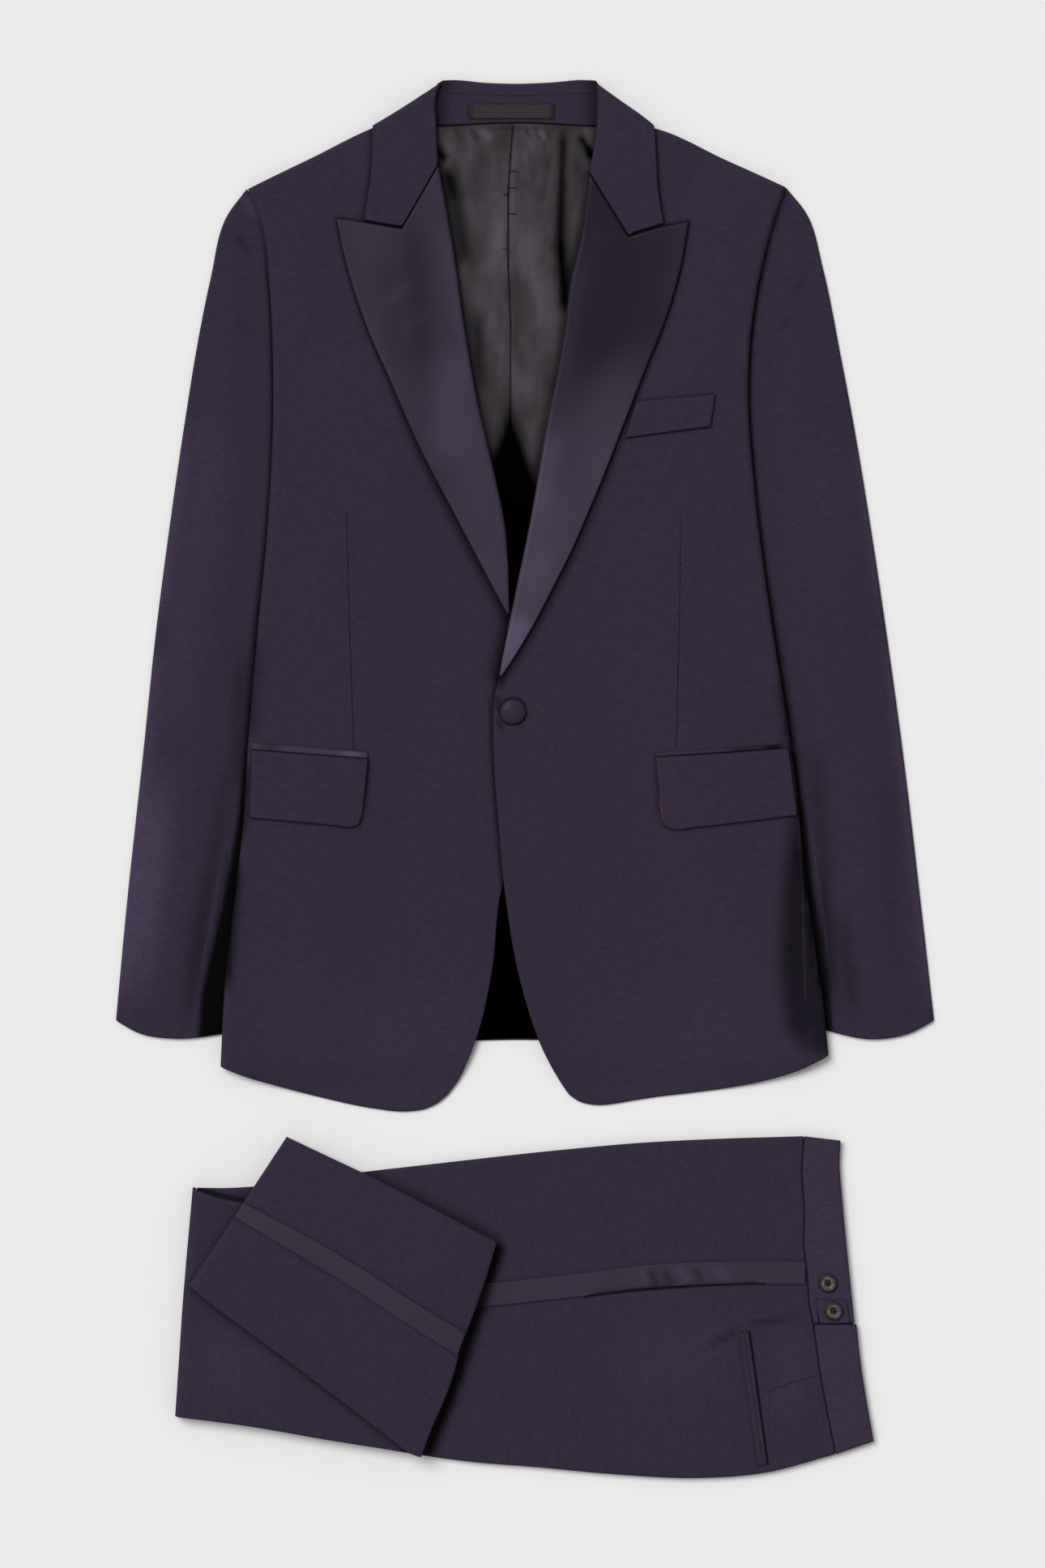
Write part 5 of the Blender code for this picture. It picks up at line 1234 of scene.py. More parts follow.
def wool(name="midnight_wool", marks=(), tint=1.0):
    """Midnight wool: twill ribs, slubs along the weft, painted shade along its turned edge, and painted shade
    and highlights from the shade kept at its points.
    """
    if name in bpy.data.materials:
        return bpy.data.materials[name]
    mat, w, shader = start_material(name, 0.88, 0.07)
    finish = bpy.context.scene.tuxedo_finish
    values = {"Place": on_grain(w), "Rib": finish.weave, "Slubs": 0.72, "Cloudiness": 0.08}
    weave = w.node("ShaderNodeGroup", values, node_tree=twill_group())
    # Painted shade along the turned edge: the colour darkens to 0.62 of itself at the border, over 1.6 mm.
    turned = w.eased(kept_at_points(w, "edge"), 0.0, 0.0016, 0.62, 1.0)
    tone = w.product(weave.outputs["Tone"], turned, kept_at_points(w, "shade"))
    w.put(shader["Base Color"], marked(w, w.toned([c * tint for c in finish.wool], tone), marks))
    w.put(shader["Normal"], w.relief(weave.outputs["Height"], 0.35, 0.00025))
    return mat


def satin(name="lapel_satin", marks=(), tint=1.0, clouds=0.22):
    """Satin facing: smooth floats, a soft sheen that is real in its gloss and painted in its cloudy colour,
    painted shade along its turned edge, and painted shade and highlights from the shade kept at its points.
    """
    if name in bpy.data.materials:
        return bpy.data.materials[name]
    mat, w, shader = start_material(name, specular=0.10)
    shader["Specular Tint"].default_value = (0.86, 0.74, 1.0, 1.0)
    weave = w.node("ShaderNodeGroup", {"Place": on_grain(w), "Clouds": clouds}, node_tree=satin_group())
    # Painted shade along the turned edge: the colour darkens to 0.60 of itself at the border, over 1.4 mm.
    turned = w.eased(kept_at_points(w, "edge"), 0.0, 0.0014, 0.60, 1.0)
    tone = w.product(weave.outputs["Tone"], turned, kept_at_points(w, "shade"))
    colour = [c * tint for c in bpy.context.scene.tuxedo_finish.satin]
    w.put(shader["Base Color"], marked(w, w.toned(colour, tone), marks))
    w.put(shader["Roughness"], w.varied(weave.outputs["Height"], 0.10, 0.40))
    w.put(shader["Normal"], w.relief(weave.outputs["Height"], 0.25, 0.00012))
    return mat


def lining_material():
    """Smoke-grey lining: fine floats, soft ripples and creases with their painted light and shade, painted
    sheen clouds, and painted shade and highlights from the shade kept at its points.
    """
    if "silk_lining" in bpy.data.materials:
        return bpy.data.materials["silk_lining"]
    mat, w, shader = start_material("silk_lining")
    cloth = on_grain(w)
    shade = kept_at_points(w, "shade")
    weave = w.node("ShaderNodeGroup", {"Place": cloth, "Clouds": 0.30}, node_tree=satin_group())
    ripple = w.streaks(cloth, (44, 15, 1), 2.0, 0.4)
    creased = w.streaks(cloth, (95, 50, 1))
    # Painted light and shade of the ripples and creases: the colour runs from 0.66 to 1.22 of itself with them.
    pale = w.eased(w.math("ADD", w.product(ripple, 0.7), w.product(creased, 0.3)),
                   0.34, 0.66, 0.66, 1.22)
    colour = w.toned(bpy.context.scene.tuxedo_finish.lining, w.product(weave.outputs["Tone"], pale, shade))
    w.put(shader["Base Color"], marked(w, colour, LINING_PLEAT_SHADE))
    w.put(shader["Roughness"], w.math("MULTIPLY_ADD", creased, 0.16, 0.30))
    # The painted shade also lowers the specular level, so the gloss goes where the colour is painted dark.
    w.put(shader["Specular IOR Level"], w.product(shade, 0.02))
    rise = w.math("ADD", w.product(ripple, 1.0), w.product(creased, 0.35))
    w.put(shader["Normal"], w.relief(weave.outputs["Height"], 0.25, 0.00012, Normal=w.relief(rise, 0.6, 0.004)))
    return mat


def label_material():
    """A plain woven label: fine ribs across it, darker towards its two ends."""
    if "woven_label" in bpy.data.materials:
        return bpy.data.materials["woven_label"]
    mat, w, shader = start_material("woven_label", 0.62, 0.10)
    cloth = on_grain(w)
    ribs = w.ribs(w.node("ShaderNodeSeparateXYZ", {0: cloth}).outputs[1], 2 * math.pi / 0.0006)
    grain = w.streaks(cloth, (900, 2600, 1), 2.0, 0.6)
    across = w.node("ShaderNodeSeparateXYZ", {0: w.node("ShaderNodeTexCoord").outputs["Object"]}).outputs[0]
    end_a = w.eased(across, local(-45, 0)[0], local(-38, 0)[0], 0.50, 1.0)
    end_b = w.eased(across, local(16.5, 0)[0], local(23.5, 0)[0], 1.0, 0.50)
    tone = w.product(w.math("MULTIPLY_ADD", grain, 0.35, 0.82), w.product(end_a, end_b))
    w.put(shader["Base Color"], w.toned(bpy.context.scene.tuxedo_finish.label, tone))
    w.put(shader["Normal"], w.relief(w.math("ADD", ribs, grain), 0.3, 0.00012))
    return mat


def horn_material():
    """Dark polished horn with paler streaks through it, and painted highlight and painted shade by radius from
    the shade kept at its points.
    """
    if "dark_horn" in bpy.data.materials:
        return bpy.data.materials["dark_horn"]
    mat, w, shader = start_material("dark_horn", specular=0.15)
    place = w.node("ShaderNodeTexCoord").outputs["Object"]
    streak = w.streaks(place, (260, 900, 260), 4.0, 0.6)
    clouds = w.noise(place, 160.0, 3.0)
    pale = w.eased(w.math("ADD", w.product(streak, 0.6), w.product(clouds, 0.4)),
                   0.36, 0.66, 0.25, 1.0)
    dark = (*bpy.context.scene.tuxedo_finish.horn, 1.0)
    w.put(shader["Base Color"], w.mix(w.product(pale, kept_at_points(w, "shade")), dark, PALE_HORN_AND_HIGHLIGHT))
    w.put(shader["Roughness"], w.math("MULTIPLY_ADD", streak, 0.2, 0.22))
    w.put(shader["Normal"], w.relief(streak, 0.12, 0.0002))
    return mat


def thread_material(name, colour):
    """Twisted sewing thread."""
    if name in bpy.data.materials:
        return bpy.data.materials[name]
    mat, w, shader = start_material(name, 0.6)
    twist = w.noise(w.node("ShaderNodeTexCoord").outputs["Object"], 2600.0)
    w.put(shader["Base Color"], w.toned(colour, w.math("MULTIPLY_ADD", twist, 0.5, 0.75)))
    w.put(shader["Normal"], w.relief(twist, 0.3, 0.0001))
    return mat


# ---------------- lines drawn on the cloth: seams, rust-red edges, and painted shade, shadows and highlights
DART_RIGHT = [Mark(-141.8, 212, -139.4, 120, 0.9, 0.62, DARK), Mark(-139.4, 120, -136, 22, 0.9, 0.7, DARK)]
DART_LEFT = [Mark(124, 206.5, 122.6, 120, 0.9, 0.62, DARK), Mark(122.6, 120, 120.5, 24, 0.9, 0.7, DARK)]
RUST = (0.150, 0.026, 0.020)
DEEP_RUST = (0.050, 0.008, 0.010)
FLAP_EDGE_RIGHT = [Mark(-128.6, -20, -130.4, -33, 0.8, 0.7, DEEP_RUST)]
FLAP_EDGE_LEFT = [Mark(107.4, -18, 109.6, -33, 0.9, 0.8, RUST)]
# Painted shade: black lines in the fold of the lining's middle pleat and in the short creases beside it.
LINING_PLEAT_SHADE = [
    Mark(-9.5, 519, -11.4, 496, 1.5, 0.85, BLACK), Mark(-11.4, 496, -13.3, 466, 1.5, 0.9, BLACK),
    Mark(-13.3, 466, -13.3, 409, 1.5, 0.9, BLACK), Mark(-13.3, 409, -11.4, 361, 1.4, 0.9, BLACK),
    Mark(-11.4, 361, -11.6, 285, 1.3, 0.85, BLACK), Mark(-11.6, 483.6, -6.6, 482.8, 0.9, 0.85, BLACK),
    Mark(-12.2, 470.2, -7, 469.8, 0.9, 0.85, BLACK), Mark(-12.6, 449.8, -7, 449.2, 1, 0.85, BLACK),
    Mark(-17, 464.8, -13.4, 464.2, 0.9, 0.8, BLACK), Mark(-17, 421.8, -13.4, 421.2, 0.9, 0.8, BLACK)]
# Painted highlights: paler lines along the ridges of the side pleats and the sleeve folds.
FOLD_HIGHLIGHT = (0.050, 0.034, 0.055)
SIDE_PLEATS = [
    Mark(217.6, -34, 220.9, -92, 1.7, 0.26, FOLD_HIGHLIGHT), Mark(220.9, -92, 223, -176, 1.7, 0.26, FOLD_HIGHLIGHT),
    Mark(225, -58, 232, -156, 1.7, 0.24, FOLD_HIGHLIGHT)]
BUTTON_SHADOW = [Mark(-9.2, 53.4, -9.2, 53.2, 13, 0.75, DARK, 10.2)]
RIGHT_SLEEVE_MARKS = [Mark(-238, -50, -257.5, -150, 1.7, 0.25, FOLD_HIGHLIGHT)]
LEFT_SLEEVE_MARKS = [
    Mark(228, -40, 240, -126, 1.7, 0.26, FOLD_HIGHLIGHT), Mark(240, -126, 248, -180, 1.7, 0.22, FOLD_HIGHLIGHT)]
# Painted shade: the dark slot of the back pocket and the dark mouth of the side pocket.
POCKET_SLOT = [
    Mark(179.3, -440.5, 186.5, -492, 1.3, 0.9, DARK), Mark(186.5, -492, 193.8, -546, 1.3, 0.9, DARK)]
POCKET_MOUTH = [
    Mark(47, -412.5, 84, -407.9, 2, 0.95, DARK), Mark(84, -407.9, 124, -404.8, 2.3, 0.95, DARK),
    Mark(124, -404.8, 190.5, -401.4, 1.8, 0.95, DARK)]
# Painted shadow in the wedge where the leg turned over at the knee lies on the leg.
WEDGE_SHADOW = [Mark(-264, -325.5, -223, -336, 1.6, 0.85, DARK)]
JET_LINE = [Mark(174, -440, 190, -549, 0.7, 0.45, DARK), Mark(178.2, -440, 193.2, -547, 0.9, 0.9, DARK)]
TROUSER_DART = [Mark(191, -489, 212, -481, 0.8, 0.6, DARK), Mark(212, -481, 233, -475.5, 0.8, 0.6, DARK)]
TAB_SHADOW = [
    Mark(232.6, -414.6, 234.2, -434, 1.5, 0.85, DARK), Mark(235, -434.2, 259.6, -433.8, 1.3, 0.85, DARK)]
STAND_LINE = [Mark(-62, 545.6, -4.5, 543.4, 0.7, 0.5, DARK), Mark(-4.5, 543.4, 54, 545.6, 0.7, 0.5, DARK)]


# ---------------- buttons
def circle(radius, sides, x=0.0, y=0.0):
    """Spots round a circle."""
    return [(x + radius * math.cos(2 * math.pi * k / sides), y + radius * math.sin(2 * math.pi * k / sides))
            for k in range(sides)]


def wall(bm, rings):
    """Faces between rings of the same count, from the inner ring outwards."""
    for inner, outer in zip(rings, rings[1:]):
        for k in range(len(inner)):
            bm.faces.new((inner[k - 1], outer[k - 1], outer[k], inner[k]))


def finished(bm, name):
    mesh = bpy.data.meshes.new(name)
    bm.to_mesh(mesh)
    bm.free()
    return mesh


def turned_button(name, mat, spot, seat, profile, sides=72):
    """A turned button: rows of radius and height, from the middle of its face to its back."""
    bm = bmesh.new()
    centre = np.array([spot.x, spot.y, seat]) + SHIFT
    face = bm.verts.new(Vector(centre * MM) + Vector((0, 0, profile[0][1] * MM)))
    rings = [[bm.verts.new(((centre[0] + x) * MM, (centre[1] + y) * MM, (centre[2] + height) * MM))
              for x, y in circle(radius, sides)] for radius, height in profile[1:-1]]
    back = bm.verts.new(Vector(centre * MM) + Vector((0, 0, profile[-1][1] * MM)))
    for k in range(sides):
        bm.faces.new((face, rings[0][k - 1], rings[0][k]))
        bm.faces.new((back, rings[-1][k], rings[-1][k - 1]))
    wall(bm, rings)
    mesh = finished(bm, name)
    grain = mesh.uv_layers.new(name="grain")
    for loop in mesh.loops:
        grain.data[loop.index].uv = mesh.vertices[loop.vertex_index].co[:2]
    put_value(mesh, "edge", [INNER_EDGE] * len(mesh.vertices))
    put_value(mesh, "shade", [1.0] * len(mesh.vertices))
    return placed(name, mesh, mat)


def holed_face(radius, hole, spread_by, sides=64, hole_sides=18):
    """A flat disc with four holes, as points and triangles in its own plane."""
    middles = circle(spread_by, 8)[1::2]
    spots, loops = circle(radius, sides), [list(range(sides))]
    for cx, cy in middles:
        loops.append(list(range(len(spots), len(spots) + hole_sides)))
        spots += circle(hole, hole_sides, cx, cy)
    edges = [(loop[k - 1], loop[k]) for loop in loops for k in range(len(loop))]
    points, _, triangles = geometry.delaunay_2d_cdt([Vector(s) for s in spots], edges, [], 0, 1e-6)[:3]
    faces = []
    for f in triangles:
        mid = sum((points[k] for k in f), Vector((0, 0))) / len(f)
        if all((mid - Vector(middle)).length >= hole * 0.98 for middle in middles):
            faces.append(list(f))
    return points, faces, loops


HORN_DISH = 3.9          # radius of the dished face
THREAD_HOLES = 1.75      # from the middle of the button to its holes
HORN_RIM = (             # radius and height, from the dish to the back
    (4.4, 1.62), (4.9, 2.05), (5.5, 2.62), (6.2, 2.82), (6.9, 2.55), (7.4, 1.95), (7.5, 1.3), (7.2, 0.6),
    (6.4, 0.1), (5.4, 0.0))
HORN_PAINTED_LIGHT = (           # radii, and how much of the paler horn colour shows there: a painted highlight ring and painted shade
    (1.8, 2.6, 3.2, 4.6, 5.4, 6.4, 7.5), (0.02, 0.3, 1.0, 0.9, 0.35, 0.05, 0.02))


def horn_button(name, node, mat, spot, seat):
    """A four-hole trouser button: raised rim, dished face and holes through it."""
    bm = bmesh.new()
    centre = np.array([spot.x, spot.y, seat]) + SHIFT
    sides = 64

    def vert(x, y, z):
        return bm.verts.new(((centre[0] + x) * MM, (centre[1] + y) * MM, (centre[2] + z) * MM))

    points, faces, loops = holed_face(HORN_DISH, 0.85, THREAD_HOLES, sides)
    face = [vert(p.x, p.y, 1.55) for p in points]
    back = [vert(p.x, p.y, 0.0) for p in points]
    for f in faces:
        a, b, c = [points[k] for k in f[:3]]
        if (b - a).cross(c - a) < 0:
            f.reverse()
        bm.faces.new([face[k] for k in f])
        bm.faces.new([back[k] for k in reversed(f)])
    for loop in loops[1:]:
        for a, b in zip([loop[-1]] + loop, loop):
            bm.faces.new((face[a], face[b], back[b], back[a]))
    rings = [[vert(x, y, height) for x, y in circle(radius, sides)] for radius, height in HORN_RIM]
    wall(bm, [face[:sides], *rings, back[:sides]])
    mesh = finished(bm, name)
    radii = [math.dist(v.co[:2], centre[:2] * MM) / MM for v in mesh.vertices]
    # Painted highlight on a ring of the dish, painted shade in the middle and on the rim, by radius.
    put_value(mesh, "shade", np.interp(radii, *HORN_PAINTED_LIGHT))
    obj = placed(name, mesh, mat)
    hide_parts(node)


# ---------------- stitches
def stitch_tree():
    """Geometry nodes that lay thread stitches along a line."""
    if "row of stitches" in bpy.data.node_groups:
        return bpy.data.node_groups["row of stitches"]
    tree = bpy.data.node_groups.new("row of stitches", "GeometryNodeTree")
    face = tree.interface
    face.new_socket(name="Line", in_out="INPUT", socket_type="NodeSocketGeometry")
    for label, default in (("Pitch", 0.0026), ("Length", 0.0019), ("Thickness", 0.0004), ("Turn", 0.0),
                           ("Uneven", 0.12)):
        face.new_socket(name=label, in_out="INPUT", socket_type="NodeSocketFloat").default_value = default
    face.new_socket(name="Thread", in_out="INPUT", socket_type="NodeSocketMaterial")
    face.new_socket(name="Stitches", in_out="OUTPUT", socket_type="NodeSocketGeometry")
    w = Wiring(tree)
    get, give = w.node("NodeGroupInput").outputs, w.node("NodeGroupOutput").inputs
    curve = w.node("GeometryNodeMeshToCurve", {0: get["Line"]}).outputs[0]
    spaced = w.node("GeometryNodeResampleCurve", {"Curve": curve, "Length": get["Pitch"]}, mode="LENGTH")
    one = w.node("GeometryNodeMeshUVSphere", {"Segments": 6, "Rings": 5, "Radius": 0.5})
    size = w.node("ShaderNodeCombineXYZ", {0: get["Length"], 1: get["Thickness"], 2: get["Thickness"]})
    tangent = w.node("GeometryNodeInputTangent").outputs[0]
    turn = w.node("ShaderNodeVectorRotate", {"Vector": tangent, "Angle": get["Turn"]}, rotation_type="Z_AXIS")
    low, high = [
        w.node("ShaderNodeCombineXYZ", {0: w.math(way, 1.0, get["Uneven"]), 1: side, 2: side}).outputs[0]
        for way, side in (("SUBTRACT", 0.95), ("ADD", 1.05))]
    chance = w.node("FunctionNodeRandomValue", {0: low, 1: high, "Seed": 11}, data_type="FLOAT_VECTOR")
    scale = w.vector("MULTIPLY", size.outputs[0], chance.outputs[0])
    aim = w.node("FunctionNodeAlignRotationToVector", {"Vector": turn.outputs[0]}, axis="X").outputs[0]
    laid = w.node("GeometryNodeInstanceOnPoints", {
        "Points": spaced.outputs[0], "Instance": one.outputs["Mesh"], "Rotation": aim, "Scale": scale})
    real = w.node("GeometryNodeRealizeInstances", {0: laid.outputs[0]}).outputs[0]
    smoothed = w.node("GeometryNodeSetShadeSmooth", {0: real}).outputs[0]
    coloured = w.node("GeometryNodeSetMaterial", {"Geometry": smoothed, "Material": get["Thread"]})
    w.put(give[0], coloured.outputs[0])
    return tree


Row = namedtuple("Row", "points pitch length thickness turn")


def stitched(name, rows, mat):
    """Stitches along several rows of points, made one plain mesh."""
    bm = bmesh.new()
    for row in rows:
        line = bpy.data.meshes.new(name + " line")
        line.from_pydata([tuple((np.array(p) + SHIFT) * MM) for p in row.points],
                         [(k, k + 1) for k in range(len(row.points) - 1)], [])
        obj = bpy.data.objects.new(name + " line", line)
        bpy.context.collection.objects.link(obj)
        nodes = obj.modifiers.new("stitches", "NODES")
        nodes.node_group = stitch_tree()
        sockets = {i.name: i.identifier for i in nodes.node_group.interface.items_tree if i.in_out == "INPUT"}
        for key, value in (("Pitch", row.pitch * MM), ("Length", row.length * MM), ("Thread", mat),
                           ("Thickness", row.thickness * MM), ("Turn", math.radians(row.turn))):
            nodes[sockets[key]] = value
        part = bpy.data.meshes.new_from_object(obj.evaluated_get(bpy.context.evaluated_depsgraph_get()))
        bpy.data.objects.remove(obj, do_unlink=True)
        bm.from_mesh(part)
        bpy.data.meshes.remove(part)
    mesh = finished(bm, name + " lines")
    mesh.materials.clear()
    placed(name, mesh, mat)


def on_top(height, spots, above=0.0, step=2.0):
    """Points about a step apart along straight lines between plan spots, laid on a surface."""
    line = np.vstack([np.linspace(a, b, max(2, int(math.dist(a, b) / step)) + 1)[:-1]
                      for a, b in zip(spots, spots[1:])] + [[spots[-1]]])
    return np.column_stack([line, height(line[:, 0], line[:, 1]) + above]).tolist()


# ---------------- painted shade, shadows and highlights on the pieces
def strokes(*rows):
    """Lighter and deeper strokes over the cloth, as a factor on its colour: painted highlights and painted
    shade.
    """
    return lambda x, y: np.clip(1 + creases(rows, x, y), 0.02, 2.4)


def beside_piece(patch, reach, strength):
    """Painted shadow in the narrow gap beside a piece that lies on the cloth."""
    outline = patch.outline()

    def shade(x, y):
        size = reach(x, y) if callable(reach) else reach
        depth = strength(x, y) if callable(strength) else strength
        return 1 - depth * np.exp(-(np.maximum(outside(outline, x, y), 0) / size)**2)
    return shade


def in_area(spots, reach, strength):
    """Painted shade inside an outline, easing off across it."""
    outline = np.array(spots)
    return lambda x, y: 1 - strength * smooth(0.5 - outside(outline, x, y) / reach)


def downward(low, high, at_low, at_high):
    """A number that changes gently from one height of the pattern to another, for painted shade and for the
    reach and depth of painted shadows.
    """
    return lambda x, y: at_low + (at_high - at_low) * smooth((y - low) / (high - low))


def together(*shades):
    return lambda x, y: np.prod([shade(x, y) for shade in shades], axis=0)


FLAP_RIGHT_PATCH = Patch(run(FLAP_TOP_RIGHT), run(FLAP_FOOT_RIGHT), right=run(FLAP_FRONT_RIGHT))
FLAP_LEFT_PATCH = Patch(run(FLAP_TOP_LEFT), run(FLAP_FOOT_LEFT), left=run(FLAP_FRONT_LEFT))


def deep_opening(x, y):
    """The lining sinks into shade where the two fronts close over it."""
    wedge = smooth((0.36 * (300.0 - y) - np.abs(x + 12.0)) / 14.0 + 0.5)
    return (1 - 0.985 * wedge) * smooth((y - 200.0) / 36.0)


# Painted shade, shadows and highlights, as factors on the colour of each piece: shadows beside the pieces that
# lie on it, shade in folds, gaps, under the sleeves and in the lining's opening, and light on fold ridges and
# the satin.
RIGHT_FRONT_SHADE = together(
    beside_piece(LAPEL_RIGHT, downward(170, 420, 6, 1.8), 0.78), beside_piece(LEAF_RIGHT, 2.4, 0.65),
    beside_piece(FLAP_RIGHT_PATCH, 1.6, 0.35), beside_piece(FRONT_LEFT, 2.8, 0.8),
    beside_piece(LAPEL_LEFT, downward(40, 90, 2.4, 8), 0.85),
    strokes(
        (-230, -196, 10, -236, 0.12, 60, 60), (-124.4, 14, -128.8, -25, -0.7, 1.6, 3),
        (-128.8, -25, -131.6, -36, -0.7, 1.6, 3), (-217, 130, -220, 20, -0.5, 8, 30),
        (-220, 20, -228, -60, -0.6, 6, 20), (-228, -60, -239, -176, -0.8, 5.6, 20)))
LEFT_FRONT_SHADE = together(
    beside_piece(LAPEL_LEFT, downward(170, 420, 5.4, 1.8), 0.78), beside_piece(LEAF_LEFT, 2.4, 0.65),
    beside_piece(FLAP_LEFT_PATCH, 1.6, 0.4), beside_piece(four_sided(WELT), 1.1, 0.45),
    in_area(((212, -20), (204, -100), (202, -152), (208, -200), (230, -222), (244, -216), (236, -138),
        (228, -67), (222, -20)), 18, 0.7),
    strokes(
        (230, -196, 30, -236, 0.1, 60, 60), (213, -40, 218, -196, -0.28, 6, 40),
        (217.5, -50, 226.5, -103, -0.7, 4, 12), (226.5, -103, 236.4, -172, -0.7, 4, 12),
        (203, 96, 214, -6, -0.5, 6, 30), (104.4, 14, 107.2, -30, -0.7, 1.4, 3),
        (-17, 86, -21, 68, -0.6, 2.4, 6), (-21, 68, -21.5, 50, -0.6, 2.4, 6),
        (-21.5, 50, -18, 36, -0.6, 2.4, 6), (225.6, -196, 231.4, -228, 0.45, 3, 8),
        (150, 60, 214, 30, -0.08, 30, 40)))
RIGHT_SLEEVE_SHADE = together(
    beside_piece(FRONT_RIGHT, downward(60, 240, 5, 2.6), downward(380, 470, 0.95, 0.12)),
    in_area(((-219, 60), (-220.6, 42), (-224.2, 7), (-227.6, -25), (-233.6, -58), (-242, -101),
        (-250.6, -138), (-257.4, -169), (-261.4, -214), (-230, -214), (-226, -100), (-214, 0), (-208, 60)), 6,
        0.975),
    strokes(
        (-288, 30, -314, -196, 0.62, 16, 80), (-248, 320, -262, 120, 0.17, 26, 70),
        (-268, 290, -293, 112, 0.36, 6, 40), (-293, 112, -323, -188, 0.42, 7, 30),
        (-262, 180, -284, 20, 0.14, 20, 70), (-224, 120, -234, -20, -0.34, 6, 50),
        (-232, 30, -256, -130, -0.26, 8, 50), (-250, -50, -272, -230, -0.46, 8, 90),
        (-262, -201, -240, -201, -0.3, 3, 4), (-222, 466, -214, 445, 0.5, 4, 5),
        (-232, 434, -217, 417, -0.3, 3.4, 6), (-236, 363, -212, 352, -0.2, 3, 8)))
LEFT_SLEEVE_SHADE = together(
    beside_piece(FRONT_LEFT, downward(60, 240, 5, 2.6), downward(380, 470, 0.94, 0.12)),
    in_area(((216, 20), (220, -10), (224.3, -36), (229.4, -84), (237.9, -131), (242, -165), (246.8, -212),
        (226, -212), (222, -100), (206, 20)), 4, 0.8),
    strokes(
        (292, -20, 314, -190, 0.1, 10, 60), (236, 300, 252, 120, 0.1, 26, 70),
        (262, 280, 287, 116, 0.3, 3.6, 40), (287, 116, 324, -186, 0.36, 3.6, 30),
        (286, 20, 298, -190, -0.12, 10, 60), (236, -60, 246, -196, -0.55, 6, 40),
        (250, -90, 264, -206, -0.34, 8, 40), (228, 40, 242, -100, -0.3, 9, 40),
        (227, 404, 207, 379, -0.26, 3, 8), (221, 378, 198, 353, -0.2, 3.4, 8)))
# On the satin lapels these factors are the painted sheen: lighter along the roll and lower down, darker higher
# up.
RIGHT_LAPEL_SHADE = together(
    beside_piece(LEAF_RIGHT, 1.6, 0.6),
    strokes(
        (-92, 470, -78, 290, -0.44, 14, 60), (-116, 440, -102, 300, -0.26, 12, 50),
        (-118, 372, -86, 398, 0.2, 4, 12), (-104, 352, -70, 376, 0.14, 4, 12),
        (-66, 452, -38, 290, 0.24, 7, 40), (-60, 352, -64, 240, 0.46, 16, 34),
        (-34, 190, -16, 130, 0.24, 12, 20), (-58, 320, -18, 150, 0.22, 22, 60)))
LEFT_LAPEL_SHADE = together(
    beside_piece(LEAF_LEFT, 1.6, 0.6), downward(240, 350, 1.18, 0.44),
    strokes(
        (86, 470, 56, 290, -0.42, 24, 60), (52, 438, 62, 424, 0.3, 2.4, 5), (48, 430, 28, 300, 0.42, 6, 40),
        (28, 290, 8, 200, 0.4, 9, 30), (28, 250, -6, 120, 0.36, 18, 50), (20, 200, -10, 90, 0.25, 16, 40),
        (-2, 136, -18, 74, 0.95, 13, 18)))
LINING_SHADE = together(
    beside_piece(LAPEL_RIGHT, 5, 0.6), beside_piece(LAPEL_LEFT, 5, 0.6),
    beside_piece(LEAF_RIGHT, 4, 0.5), beside_piece(LEAF_LEFT, 4, 0.5), deep_opening,
    strokes(
        (-73, 504, -62, 491, -0.95, 4.4, 3), (-62, 500, -46, 400, -0.22, 10, 20),
        (43, 513, 55, 493, -0.95, 3.4, 5), (50, 504, 57, 488, -0.6, 5, 6),
        (-65, 492, -54, 458, -0.7, 6.5, 14), (-57.5, 472, -45, 404, -0.52, 7.5, 14),
        (-42, 384, -31, 300, -0.6, 6.5, 30), (31, 520, 29, 470, -0.86, 3.4, 14),
        (29.6, 484, 28, 420, -0.92, 4.6, 14), (27.8, 434, 33, 366, -0.97, 6, 14),
        (4, 506, 6.4, 462, -0.22, 2.6, 12), (21, 500, 12, 452, -0.28, 2.6, 14),
        (40, 500, 44, 470, -0.25, 4, 14), (-34, 500, -28, 430, 0.3, 9, 24), (-24, 456, -22, 392, 0.5, 8, 18),
        (4, 440, 8, 340, 0.26, 8, 30), (-70, 519, 58, 519, -0.4, 2.4, 4), (-36, 518, -26, 508, 0.7, 3, 4),
        (-44, 518, -36, 506, -0.5, 2.6, 4), (-58, 519, -50, 508, -0.4, 2.6, 5),
        (-1, 519, 7, 507, -0.45, 1.7, 4), (6.5, 519, 13, 508, -0.4, 1.7, 4), (11, 518, 17, 508, 0.8, 2.4, 4),
        (17, 517, 20, 506, -0.4, 1.8, 4)))
RIGHT_JET_SHADE = strokes(
    (-217.5, 26, -186, 23.6, -0.55, 5, 16), (-200, 25, -150, 21, -0.15, 5, 20),
    (-152, 20.6, -124, 18.2, 0.6, 4, 14))
LEFT_JET_SHADE = strokes((186, 23.6, 212, 27.5, -0.95, 5, 12), (156, 21.5, 200, 25, -0.5, 5, 14))
STAND_SHADE = together(
    beside_piece(LEAF_RIGHT, 10.0, 0.6), beside_piece(LEAF_LEFT, 10.0, 0.6),
    beside_piece(four_sided(LABEL), 1.2, 0.4))
HEM_SHADOW = [
    (-19, -368, -39.3, -432.5, -0.85, 5, 6), (-38.1, -426.5, -53.4, -476.5, -0.85, 5, 6),
    (-51.6, -471, -78.5, -541, -0.85, 5, 6)]
